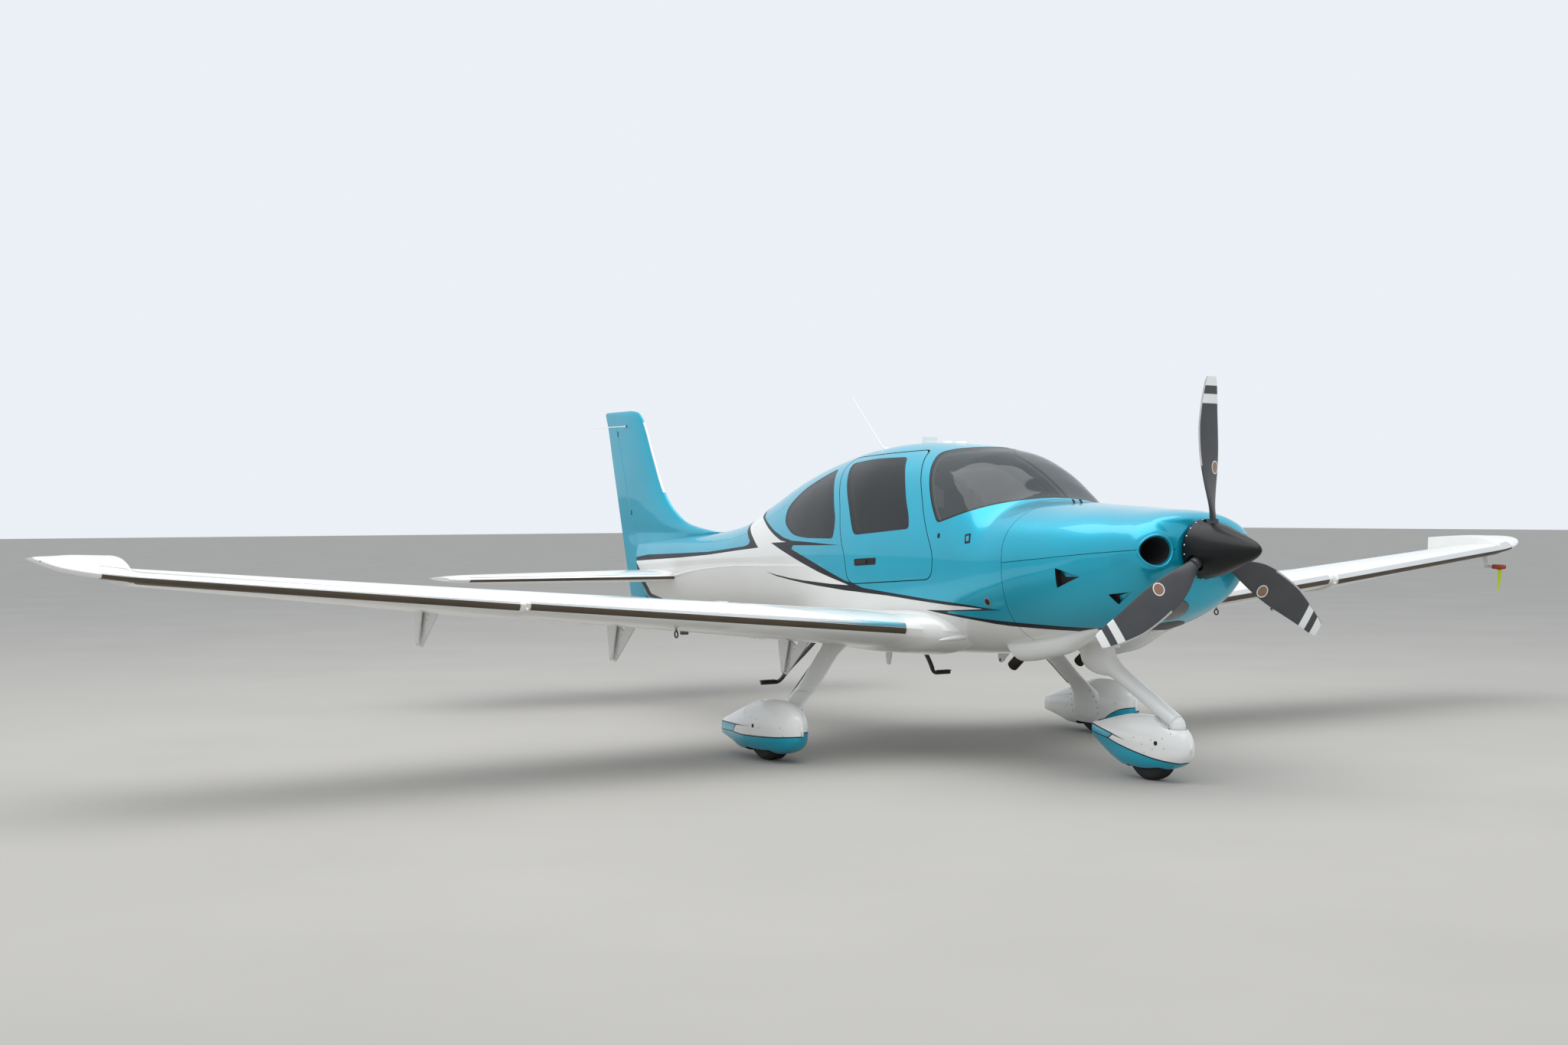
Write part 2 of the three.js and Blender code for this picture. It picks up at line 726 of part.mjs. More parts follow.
// ---------------------------------------------------------------- cabin shell and tail cone
const cabinInner = hull(
  [1550, 1700, 1760, 1880, 2000, 2180, 2500, 3000, 3400, 3800, 4200, 4400],
  -WALL,
);
const tailInner = hull([4395, 4700, 5100, 5437, 5900, 6900], -SKIN, 20);
const hole = (pts, x0, x1, d = 0) => sidePrism(rounded(inset(pts, d), 60), x0, x1);
const SIDES = [
  ["right", -1],
  ["left", 1],
];
const span = (q, a, b) => (q > 0 ? [a, b] : [-b, -a]);
let shell = outer.subtract(cabinInner).subtract(tailInner);
for (const [, q] of SIDES)
  shell = shell
    .subtract(hole(DOOR, ...span(q, 180, 900)))
    .subtract(hole(REAR_WINDOW, ...span(q, 180, 900)));
shell = shell.subtract(hole(WINDSHIELD, -900, 900));
// slots for the elevator's torque tube and the rudder's hinge
shell = shell
  .subtract(tube(30, -300, 300, ELEVATOR.s, STAB_Z))
  .subtract(box(-300, 300, ELEVATOR.s, 7400, STAB_Z - 30, STAB_Z + 30))
  .subtract(rudderSpace);
shell = biggest(shell);
const forward = box(-900, 900, 1500, 4640 - GAP / 2, 0, 3000),
  aft = box(-900, 900, 4640 + GAP / 2, 7400, 0, 3000);
put("cabin_shell", biggest(shell.intersect(forward)), "teal");
put("tail_cone", biggest(shell.intersect(aft)), "white");

const skinFull = hull(between(1600, 4300), 0);
const paneLayer = (depthOut, depthIn) => {
  const st = [1560, 1700, 1760, 1880, 2000, 2180, 2500, 3000, 3400, 3800, 4200, 4390];
  return hull(st, -depthOut).subtract(hull([1540, ...st.slice(1, -1), 4420], -depthIn));
};
const glassLayer = paneLayer(3, 15);
put("windshield", biggest(glassLayer.intersect(hole(WINDSHIELD, -900, 900, 3))), "glass");
for (const [side, q] of SIDES)
  put(
    "rear_window_" + side,
    biggest(glassLayer.intersect(hole(REAR_WINDOW, ...span(q, 180, 900), 3))),
    "glass",
  );
// doors: a skin that closes the opening, and a smaller inner frame that clears the jamb
const doorSkin = paneLayer(0, 14),
  doorInner = paneLayer(13, WALL);
for (const [side, q] of SIDES) {
  const full = span(q, 180, 900);
  let door = doorSkin
    .intersect(hole(DOOR, ...full, 10))
    .add(doorInner.intersect(hole(DOOR, ...full, 40)))
    .subtract(hole(DOOR_WINDOW, ...full));
  put("door_" + side, biggest(door), "teal");
  put(
    "door_window_" + side,
    biggest(glassLayer.intersect(hole(DOOR_WINDOW, ...full, 2))),
    "glass",
  );
}

// ---------------------------------------------------------------- cabin fittings
const FLOOR_Z = 800;
const inside = hull([1552, 1700, 1880, 2180, 2500, 3000, 3400, 3800, 4200, 4398], -WALL - 1);
put("cabin_floor", biggest(box(-700, 700, 1600, 4380, FLOOR_Z - 20, FLOOR_Z).intersect(inside)), "grey");
put("rear_bulkhead", biggest(box(-700, 700, 4360, 4378, FLOOR_Z + 1, 1900).intersect(inside)), "grey");
put(
  "instrument_panel",
  biggest(
    sidePrism(
      [
        [1960, 1180],
        [2130, 1150],
        [2150, 1420],
        [2120, 1505],
        [1900, 1530],
        [1900, 1500],
        [2040, 1400],
      ],
      -700,
      700,
    )
      .add(box(-110, 110, 2020, 2140, FLOOR_Z + GAP, 1200))
      .intersect(inside)
      .subtract(hole(DOOR, 180, 900, -8))
      .subtract(hole(DOOR, -900, -180, -8)),
  ),
  "black",
);
const seatRoom = hull([1552, 1700, 1880, 2180, 2500, 3000, 3400, 3800, 4200, 4398], -WALL - 12);
// an upholstered bench: seat cushion and back in one, on a plinth
const seatShape = (s0, x0, x1) =>
  sidePrism(
    [
      [s0 + 480, 960],
      [s0 + 600, 1120],
      [s0 + 690, 1600],
      [s0 + 620, 1640],
      [s0 + 575, 1600],
      [s0 + 470, 1085],
      [s0 + 60, 1095],
      [s0 - 20, 1040],
      [s0 - 10, 975],
    ],
    x0,
    x1,
  ).add(
    sidePrism(
      [
        [s0 + 90, FLOOR_Z + GAP],
        [s0 + 420, FLOOR_Z + GAP],
        [s0 + 440, 1000],
        [s0 + 60, 1000],
      ],
      x0 + 90,
      x1 - 90,
    ),
  );
put("front_seat_right", seatShape(2480, -515, -50).intersect(seatRoom), "seat");
put("front_seat_left", seatShape(2480, 50, 515).intersect(seatRoom), "seat");
put("rear_seat", seatShape(3290, -440, 440).intersect(seatRoom), "seat");

// ---------------------------------------------------------------- landing gear
// station, top, bottom, half width
const MAIN_PANT = [
  [2518, 258, 170, 10],
  [2545, 302, 124, 54],
  [2610, 350, 78, 98],
  [2720, 384, 52, 128],
  [2850, 391, 45, 137],
  [3000, 368, 44, 131],
  [3150, 324, 48, 106],
  [3300, 274, 80, 70],
  [3420, 232, 102, 38],
  [3490, 208, 113, 14],
];
const NOSE_PANT = [
  [540, 232, 190, 10],
  [565, 284, 144, 48],
  [630, 337, 100, 86],
  [740, 372, 68, 111],
  [880, 381, 56, 118],
  [1030, 372, 64, 108],
  [1160, 346, 104, 80],
  [1290, 314, 166, 42],
  [1384, 292, 214, 12],
];
const pantRing = (table, s, off, n = 16) => {
  const top = column(table, 1, s) + off,
    bot = column(table, 2, s) - off,
    w = column(table, 3, s) + off,
    mid = bot + (top - bot) * 0.46;
  return Array.from({ length: n }, (_, i) => {
    const a = (i / n) * 2 * Math.PI,
      c = Math.cos(a),
      q = Math.sin(a),
      up = q >= -1e-9,
      e = 2 / (up ? 2.1 : 3);
    return [
      w * Math.sign(c) * Math.abs(c) ** e,
      s,
      mid + Math.sign(q) * (up ? top - mid : mid - bot) * Math.abs(q) ** e,
    ];
  });
};
const pantSolid = (table) => loft(table.map((r) => pantRing(table, r[0], 0)));
// the room for one wheel: wheel, fork and axle stand in it, open below
const wheelRoom = (s, z, r, w) =>
  join(
    drum(r + 14, w + 56, 16, 0, s, z, "x"),
    box(-w / 2 - 28, w / 2 + 28, s - r + 20, s + r - 20, -50, z),
  );
function tyre(r, w, rim) {
  const h = w / 2;
  return turned(
    [
      [rim, -h * 0.62],
      [r * 0.82, -h],
      [r, -h * 0.5],
      [r, h * 0.5],
      [r * 0.82, h],
      [rim, h * 0.62],
      [rim, -h * 0.62],
    ],
    18,
    0,
    0,
    0,
    "x",
  );
}
const rimSolid = (r, w) =>
  turned(
    [
      [24, -w * 0.34],
      [r * 0.6, -w * 0.22],
      [r - 0.4, -w * 0.34],
      [r - 0.4, w * 0.34],
      [r * 0.6, w * 0.22],
      [24, w * 0.34],
      [24, -w * 0.34],
    ],
    18,
    0,
    0,
    0,
    "x",
  );
const mainPant = pantSolid(MAIN_PANT).subtract(wheelRoom(MAIN.s, MAIN.r, MAIN.r, MAIN.w));
// x, station, z, half thickness, half width of the leg
const LEG = [
  [770, 2965, 790, 40, 185],
  [815, 2958, 742, 32, 150],
  [862, 2950, 694, 24, 124],
  [910, 2944, 648, 19, 111],
  [1061, 2912, 480, 17, 109],
  [1192, 2902, 350, 16, 100],
  [1262, 2897, 275, 16, 84],
  [1296, 2893, 236, 15, 70],
];
const legRaw = rod(LEG, 12, [0, 1, 0]);
for (const [side, q] of SIDES) {
  const flip = (s) => (q > 0 ? s : mirrored(s));
  // the leg ends in a flat plate beside the wheel that carries the axle
  const plate = sidePrism(
    rounded(
      [
        [2835, 290],
        [2955, 290],
        [2935, 170],
        [2850, 165],
      ],
      16,
      1,
    ),
    MAIN.x - MAIN.w / 2 - 22,
    MAIN.x - MAIN.w / 2 - 8,
  );
  const axle = drum(20, MAIN.w / 2 + 82, 10, MAIN.x - MAIN.w / 2 - 8 + (MAIN.w / 2 + 82) / 2 - 6, MAIN.s, MAIN.r, "x");
  const leg = biggest(
    legRaw
      .subtract(keepOut)
      .subtract(shift(wingSolid, 0, 0, -0.5).subtract(box(1200, 6000, 0, 5000, 0, 3000)))
      .add(plate)
      .add(axle),
  );
  put("gear_leg_" + side, flip(leg), "white");
  const legRoom = rod(
    [...LEG.slice(3), [1316, 2892, 214, 15, 66]].map((p) => [p[0], p[1], p[2], p[3] + 3, p[4] + 3]),
    12,
    [0, 1, 0],
  );
  const pant = biggest(shift(mainPant, MAIN.x).subtract(legRoom));
  put("wheel_pant_" + side, flip(pant), "white");
  put("rim_" + side, flip(shift(rimSolid(78, 120), MAIN.x, MAIN.s, MAIN.r)), "metal");
  put("tyre_" + side, flip(shift(tyre(MAIN.r, MAIN.w, 78), MAIN.x, MAIN.s, MAIN.r)), "rubber");
}
// nose leg: a faired strut from the firewall's foot, with a boss that the fork turns on
const strut = join(
  rod(
    [
      [0, 1328, 806, 46, 178],
      [0, 1328, 742, 46, 176],
      [0, 1300, 698, 45, 140],
      [0, 1258, 664, 45, 96],
      [0, 1200, 632, 44, 60],
      [0, 1130, 594, 43, 48],
      [0, 848, 450, 43, 46],
      [0, 662, 353, 42, 44],
    ],
    12,
    [0, 1, 0],
  ),
  // the round foot that the fork turns under
  turned(
    [
      [0, -44],
      [42, -44],
      [46, -32],
      [46, -10],
      [40, 14],
      [28, 36],
      [0, 44],
    ],
    16,
    0,
    NOSE.pivot,
    344,
    "z",
  ),
  drum(16, 100, 12, 0, NOSE.pivot, 312, "z"),
);
put("nose_strut", strut, "white");
const forkArm = (x) =>
  sidePrism(
    rounded(
      [
        [646, 284],
        [684, 284],
        [NOSE.s + 26, 200],
        [NOSE.s + 22, 152],
        [NOSE.s - 26, 154],
        [648, 250],
      ],
      10,
      1,
    ),
    x - 3,
    x + 3,
  );
const forkX = NOSE.w / 2 + 12;
const forkTop = planPrism(
  [
    [-forkX - 3, 681],
    [forkX + 3, 681],
    [forkX + 3, 654],
    [44, 614],
    [-44, 614],
    [-forkX - 3, 654],
  ],
  262,
  285,
).subtract(drum(17, 200, 12, 0, NOSE.pivot, 280, "z"));
const fork = join(
  forkTop,
  forkArm(-forkX),
  forkArm(forkX),
  drum(16, 224, 10, 0, NOSE.s, NOSE.r, "x"),
);
put("nose_fork", fork, "metal");
const noseRoom = join(
  drum(NOSE.r + 14, 2 * forkX + 16, 16, 0, NOSE.s, NOSE.r, "x"),
  box(-forkX - 8, forkX + 8, NOSE.s - NOSE.r + 15, NOSE.s + NOSE.r - 15, -50, NOSE.r),
  planPrism(
    [
      [-forkX - 8, 780],
      [forkX + 8, 780],
      [forkX + 8, 648],
      [48, 604],
      [-48, 604],
      [-forkX - 8, 648],
    ],
    120,
    292,
  ),
  drum(20, 300, 10, 0, NOSE.s, NOSE.r, "x"),
  // the dished top that turns under the nose leg
  turned(
    [
      [0, 270],
      [53, 270],
      [53, 312],
      [80, 322],
      [104, 338],
      [150, 366],
      [196, 392],
      [196, 570],
      [0, 570],
    ],
    16,
    0,
    NOSE.pivot,
    0,
    "z",
  ),
);
put("nose_pant", biggest(pantSolid(NOSE_PANT).subtract(noseRoom)), "white");
put("nose_rim", shift(rimSolid(66, 100), 0, NOSE.s, NOSE.r), "metal");
put("nose_tyre", shift(tyre(NOSE.r, NOSE.w, 66), 0, NOSE.s, NOSE.r), "rubber");

// ---------------------------------------------------------------- propeller
const spinner = turned(
  [
    [0, 0],
    [30, 18],
    [72, 92],
    [118, 205],
    [152, 320],
    [SPINNER_R, 434],
    [60, 434],
    [60, 436],
    [0, 436],
  ],
  20,
  0,
  0,
  PROP.z,
);
// radius, chord, thickness, pitch in degrees, sweep of the middle of the chord
const BLADE = [
  [70, 60, 56, 44, 0],
  [140, 62, 52, 40, -1],
  [190, 78, 40, 36, -6],
  [240, 108, 30, 31.5, -14],
  [300, 142, 24, 27, -24],
  [380, 174, 19, 22, -32],
  [470, 192, 16, 17, -35],
  [560, 198, 14, 13.5, -37],
  [680, 189, 11.5, 11, -39],
  [780, 165, 9.5, 9.5, -33],
  [850, 145, 8.3, 8.5, -25],
  [930, 117, 7, 8, -14],
  [965, 100, 6.3, 8, -9],
  [978, 84, 5.8, 8, -6],
];
const bladeRaw = loft(
  BLADE.map(([r, c, t, deg, sweep]) => {
    const a = (deg * Math.PI) / 180;
    const n = 10;
    return Array.from({ length: n }, (_, i) => {
      const k = (i / n) * 2 * Math.PI;
      const u = (Math.cos(k) * c) / 2 + sweep,
        v = (Math.sin(k) * t) / 2;
      return [u * Math.cos(a) + v * Math.sin(a), PROP.s + u * Math.sin(a) - v * Math.cos(a), PROP.z + r];
    });
  }),
);
let spinnerCut = spinner;
for (let i = 0; i < PROP.blades; i++) {
  const m = new THREE.Matrix4()
    .makeTranslation(0, 0, PROP.z)
    .multiply(new THREE.Matrix4().makeRotationY((i * 2 * Math.PI) / PROP.blades))
    .multiply(new THREE.Matrix4().makeTranslation(0, 0, -PROP.z));
  const e = m.elements;
  const turn = (s) =>
    remap(s, (x, y, z) => [
      e[0] * x + e[4] * y + e[8] * z + e[12],
      e[1] * x + e[5] * y + e[9] * z + e[13],
      e[2] * x + e[6] * y + e[10] * z + e[14],
    ]);
  // the blade stands on a round shank that the spinner is cut for
  const shank = turn(drum(46, 130, 12, 0, PROP.s, PROP.z + 125, "z"));
  spinnerCut = spinnerCut.subtract(shank);
  const blade = turn(
    bladeRaw
      .intersect(box(-500, 500, -200, 900, PROP.z + 64, PROP.z + 1000))
      .subtract(drum(800, 300, 8, 0, 0, 0, "z"))
      .add(drum(44, 105, 12, 0, PROP.s, PROP.z + 117, "z")),
  );
  put("propeller_blade_" + (i + 1), biggest(blade), "black");
}
put("spinner", biggest(spinnerCut), "black");

// ---------------------------------------------------------------- wings, tail and their moving surfaces
for (const [side, q] of SIDES) {
  const flip = (s) => (q > 0 ? s : mirrored(s));
  put("wing_" + side, flip(biggest(wingFixed)), "white");
  put("aileron_" + side, flip(ail.moving), "white");
  put("flap_" + side, flip(biggest(flapMoving)), "white");
  put("stabilizer_" + side, flip(elev.fixed), "white");
}
const elevator = join(
  elev.moving,
  mirrored(elev.moving),
  tube(20, -ELEVATOR.x0 - 20, ELEVATOR.x0 + 20, ELEVATOR.s, STAB_Z),
);
put("elevator", elevator, "white");
put("fin", fin, "teal");
put("rudder", rudder, "teal");

// ---------------------------------------------------------------- small fittings
for (const [side, q] of SIDES) {
  const flip = (s) => (q > 0 ? s : mirrored(s));
  put(
    "exhaust_" + side,
    flip(
      rod(
        [
          [268, 1450, 748, 26],
          [268, 1600, 732, 30],
          [268, 1690, 716, 32],
          [268, 1728, 690, 34],
          [268, 1830, 614, 34],
        ],
        10,
      ).subtract(keepOut),
    ),
    "metal",
  );
  put(
    "entry_step_" + side,
    flip(
      rod(
        [
          [360, 3769, 772, 9, 27],
          [640, 3906, 434, 9, 25],
          [668, 3921, 398, 12, 18],
          [696, 3926, 383, 14, 14],
          [821, 3926, 383, 14, 14],
        ],
        8,
        [0, 1, 0],
      )
        .subtract(keepOut)
        .subtract(wingSolid),
    ),
    "black",
  );
  const ring = turned(
    [
      [14, -5],
      [24, -5],
      [24, 5],
      [14, 5],
      [14, -5],
    ],
    8,
    0,
    0,
    0,
    "x",
  );
  const tz = wingAt(2228, 2597);
  put(
    "tie_down_ring_" + side,
    flip(
      biggest(
        shift(ring, 2228, 2597, tz.z - tz.h - 30)
          .add(drum(6, 30, 8, 2228, 2597, tz.z - tz.h - 4, "z"))
          .subtract(wingSolid),
      ),
    ),
    "metal",
  );
}
// the pitot tube hangs on a blade under the left wing; its cover is on, with a long streamer
const PITOT = { x: 5380, s: 2728 };
const pitotZ = wingAt(PITOT.x, PITOT.s).z - wingAt(PITOT.x, PITOT.s).h;
put(
  "pitot_tube",
  rod(
    [
      [PITOT.x, PITOT.s + 30, pitotZ + 10, 10, 26],
      [PITOT.x, PITOT.s, pitotZ - 70, 10, 22],
      [PITOT.x, PITOT.s - 20, pitotZ - 92, 12, 20],
    ],
    10,
  )
    .add(
      rod(
        [
          [PITOT.x, PITOT.s, pitotZ - 90, 12],
          [PITOT.x, PITOT.s - 170, pitotZ - 90, 12],
        ],
        10,
      ),
    )
    .subtract(shift(wingSolid, 0, 0, -0.5)),
  "metal",
);
put(
  "pitot_cover",
  drum(19, 116, 10, PITOT.x, PITOT.s - 118, pitotZ - 90, "y").subtract(
    drum(12.5, 100, 10, PITOT.x, PITOT.s - 105, pitotZ - 90, "y"),
  ),
  "red",
);
put("streamer", box(PITOT.x - 28, PITOT.x + 28, PITOT.s - 128, PITOT.s - 124, pitotZ - 296, pitotZ - 109.6), "lime");
// aerials on the cabin roof
const roofTop = (s) => column(FUSELAGE, 1, s);
put(
  "whip_antenna",
  rod(
    [
      [0, 3560, roofTop(3560) - 10, 22, 34],
      [0, 3572, roofTop(3572) + 14, 16, 24],
      [0, 3600, roofTop(3600) + 30, 5, 6],
      [0, 3780, roofTop(3600) + 205, 3.2, 3.2],
      [0, 3985, 2400, 2.4, 2.4],
    ],
    8,
  ).subtract(keepOut),
  "black",
);
put(
  "blade_antenna",
  sidePrism(
    [
      [2960, 2000],
      [3140, 2000],
      [3134, roofTop(3134) + 50],
      [2966, roofTop(2966) + 50],
    ],
    -6,
    6,
  ).subtract(keepOut),
  "white",
);

const root = new THREE.Group();
root.name = "light_aircraft";
root.position.y = -LENGTH / 2;
for (const [name, solid, [colour, roughness, metalness]] of parts) {
  const m = solid.getMesh();
  const pos = new Float32Array(m.numVert * 3);
  for (let i = 0; i < m.numVert; i++)
    pos.set(m.vertProperties.subarray(i * m.numProp, i * m.numProp + 3), i * 3);
  const geometry = new THREE.BufferGeometry()
    .setAttribute("position", new THREE.BufferAttribute(pos, 3))
    .setIndex(new THREE.BufferAttribute(new Uint32Array(m.triVerts), 1));
  const mesh = new THREE.Mesh(
    geometry.toNonIndexed(),
    new THREE.MeshStandardMaterial({ color: colour, roughness, metalness }),
  );
  mesh.geometry.computeVertexNormals();
  mesh.name = name;
  root.add(mesh);
}
export default root;
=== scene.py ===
"""Looks of a four-seat low-wing light aircraft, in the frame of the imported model: metres, +Z up, nose towards -Y."""

import math

import bpy
import numpy as np
from mathutils import Matrix, Vector
from mathutils.geometry import delaunay_2d_cdt

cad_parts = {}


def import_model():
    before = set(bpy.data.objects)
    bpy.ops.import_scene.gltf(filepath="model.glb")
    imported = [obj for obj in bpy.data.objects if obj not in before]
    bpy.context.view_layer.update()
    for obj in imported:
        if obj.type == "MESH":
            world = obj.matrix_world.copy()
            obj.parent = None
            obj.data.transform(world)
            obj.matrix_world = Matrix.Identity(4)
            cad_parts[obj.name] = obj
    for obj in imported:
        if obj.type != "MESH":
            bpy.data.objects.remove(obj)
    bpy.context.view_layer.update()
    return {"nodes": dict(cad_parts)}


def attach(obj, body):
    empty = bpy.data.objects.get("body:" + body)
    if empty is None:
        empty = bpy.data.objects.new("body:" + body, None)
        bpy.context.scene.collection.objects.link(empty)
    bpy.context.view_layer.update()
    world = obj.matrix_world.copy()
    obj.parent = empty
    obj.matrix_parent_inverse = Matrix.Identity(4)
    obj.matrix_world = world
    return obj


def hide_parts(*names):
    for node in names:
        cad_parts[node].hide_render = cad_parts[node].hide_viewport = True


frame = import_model()
NODES = frame["nodes"]
PI = math.pi
MID = 3960.0  # station of the frame's origin, millimetres aft of the spinner's tip


# ------------------------------------------------------------------------------------------------ numbers and curves
class Curve:
    """Monotone cubic through the columns of a table, by its first column."""

    def __init__(self, rows):
        a = np.array(rows, float)
        self.x, self.y = a[:, 0], a[:, 1:]
        self.h = np.diff(self.x)[:, None]
        d = np.diff(self.y, axis=0) / self.h
        m = np.zeros_like(self.y)
        m[0], m[-1] = d[0], d[-1]
        for i in range(1, len(a) - 1):
            w1, w2 = 2 * self.h[i] + self.h[i - 1], self.h[i] + 2 * self.h[i - 1]
            same = d[i - 1] * d[i] > 0
            p, q = np.where(same, d[i - 1], 1), np.where(same, d[i], 1)
            m[i] = np.where(same, (w1 + w2) / (w1 / p + w2 / q), 0)
        self.m = m

    def __call__(self, s):
        s = np.clip(np.asarray(s, float), self.x[0], self.x[-1])
        i = np.clip(np.searchsorted(self.x, s, side="right") - 1, 0, len(self.x) - 2)
        h = self.h[i]
        t = ((s - self.x[i]) / h[..., 0])[..., None]
        return (
            self.y[i] * (1 + 2 * t) * (1 - t) ** 2
            + self.m[i] * h * t * (1 - t) ** 2
            + self.y[i + 1] * t * t * (3 - 2 * t)
            + self.m[i + 1] * h * t * t * (t - 1)
        )


def unit(v):
    v = np.asarray(v, float)
    return v / np.maximum(np.linalg.norm(v, axis=-1, keepdims=True), 1e-12)


def dense(pts, step, closed=True):
    """Points along a polyline no further apart than step."""
    pts = np.array([p[:2] for p in pts], float)
    ends = np.roll(pts, -1, axis=0) if closed else pts[1:]
    out = []
    for a, b in zip(pts, ends):
        n = max(1, int(np.ceil(np.linalg.norm(b - a) / step)))
        out.extend(a + (b - a) * k / n for k in range(n))
    if not closed:
        out.append(pts[-1])
    return np.array(out)


def inset(pts, d):
    """An outline moved in by d, or out when d is negative; corner radii are kept."""
    n = len(pts)
    area = sum(pts[i][0] * pts[(i + 1) % n][1] - pts[(i + 1) % n][0] * pts[i][1] for i in range(n))
    sign = 1 if area > 0 else -1
    out = []
    for i, p in enumerate(pts):
        a, b = np.array(pts[i - 1][:2], float), np.array(pts[(i + 1) % n][:2], float)
        c = np.array(p[:2], float)
        e1, e2 = unit(c - a), unit(b - c)
        n1, n2 = sign * np.array([-e1[1], e1[0]]), sign * np.array([-e2[1], e2[0]])
        m = unit(n1 + n2)
        k = d / max(0.5, float(m @ n1))
        out.append((c[0] + m[0] * k, c[1] + m[1] * k) + tuple(p[2:3]))
    return out


def rounded(pts, r=40, steps=9):
    """Corners turned into short curves; a third value is that corner's radius."""
    n = len(pts)
    out = []
    for i, p in enumerate(pts):
        a, c, b = (np.array(q[:2], float) for q in (pts[i - 1], p, pts[(i + 1) % n]))
        rr = p[2] if len(p) > 2 else r
        la, lb = np.linalg.norm(a - c), np.linalg.norm(b - c)
        turn = math.acos(max(-1, min(1, float(unit(c - a) @ unit(b - c)))))
        if turn < 0.4:
            rr = max(rr, 0.42 * min(la, lb))
        rr = min(rr, la * 0.48, lb * 0.48)
        s, e = c + (a - c) * rr / la, c + (b - c) * rr / lb
        for k in range(steps + 1):
            t = k / steps
            out.append(s * (1 - t) ** 2 + 2 * c * t * (1 - t) + e * t * t)
    keep = [out[0]]
    for p in out[1:]:
        if np.linalg.norm(p - keep[-1]) > 0.8:
            keep.append(p)
    if np.linalg.norm(keep[0] - keep[-1]) < 0.8:
        keep.pop()
    return np.array(keep)


def within(poly, X, Y):
    """Which points lie inside a closed outline."""
    poly = np.asarray(poly, float)[:, :2]
    res = np.zeros(X.shape, bool)
    lo, hi = poly.min(0), poly.max(0)
    near = (X > lo[0]) & (X < hi[0]) & (Y > lo[1]) & (Y < hi[1])
    x, y = X[near], Y[near]
    r = np.zeros(x.shape, bool)
    for (x0, y0), (x1, y1) in zip(np.roll(poly, 1, axis=0), poly):
        if y0 == y1:
            continue
        c = ((y1 > y) != (y0 > y)) & (x < (x0 - x1) * (y - y1) / (y0 - y1) + x1)
        r ^= c
    res[near] = r
    return res


def near_chain(points, chain_pts, d):
    """Which points are closer than d to any of the chain's points."""
    bad = np.zeros(len(points), bool)
    cell = {}
    for p in chain_pts:
        cell.setdefault((int(p[0] // d), int(p[1] // d)), []).append(p)
    cell = {k: np.array(v) for k, v in cell.items()}
    ij = np.floor(points / d).astype(int)
    for n, (i, j) in enumerate(ij):
        for di in (-1, 0, 1):
            for dj in (-1, 0, 1):
                q = cell.get((i + di, j + dj))
                if q is not None and np.min(((q - points[n]) ** 2).sum(1)) < d * d:
                    bad[n] = True
    return bad


def triangulate(points, chains):
    """Constrained triangulation in the plane: free points, and chains of (points, closed)."""
    verts, edges = [Vector(p) for p in points], []
    for pts, closed in chains:
        a = len(verts)
        verts.extend(Vector((float(p[0]), float(p[1]))) for p in pts)
        n = len(pts)
        edges.extend((a + k, a + (k + 1) % n) for k in range(n if closed else n - 1))
    r = delaunay_2d_cdt(verts, edges, [], 0, 1e-4)
    return np.array([v[:] for v in r[0]], float), np.array(r[2], int)


# ------------------------------------------------------------------------------------------------ mesh building
def world(p):
    out = np.array(p, float) * 0.001
    out[..., 1] -= MID * 0.001
    return out


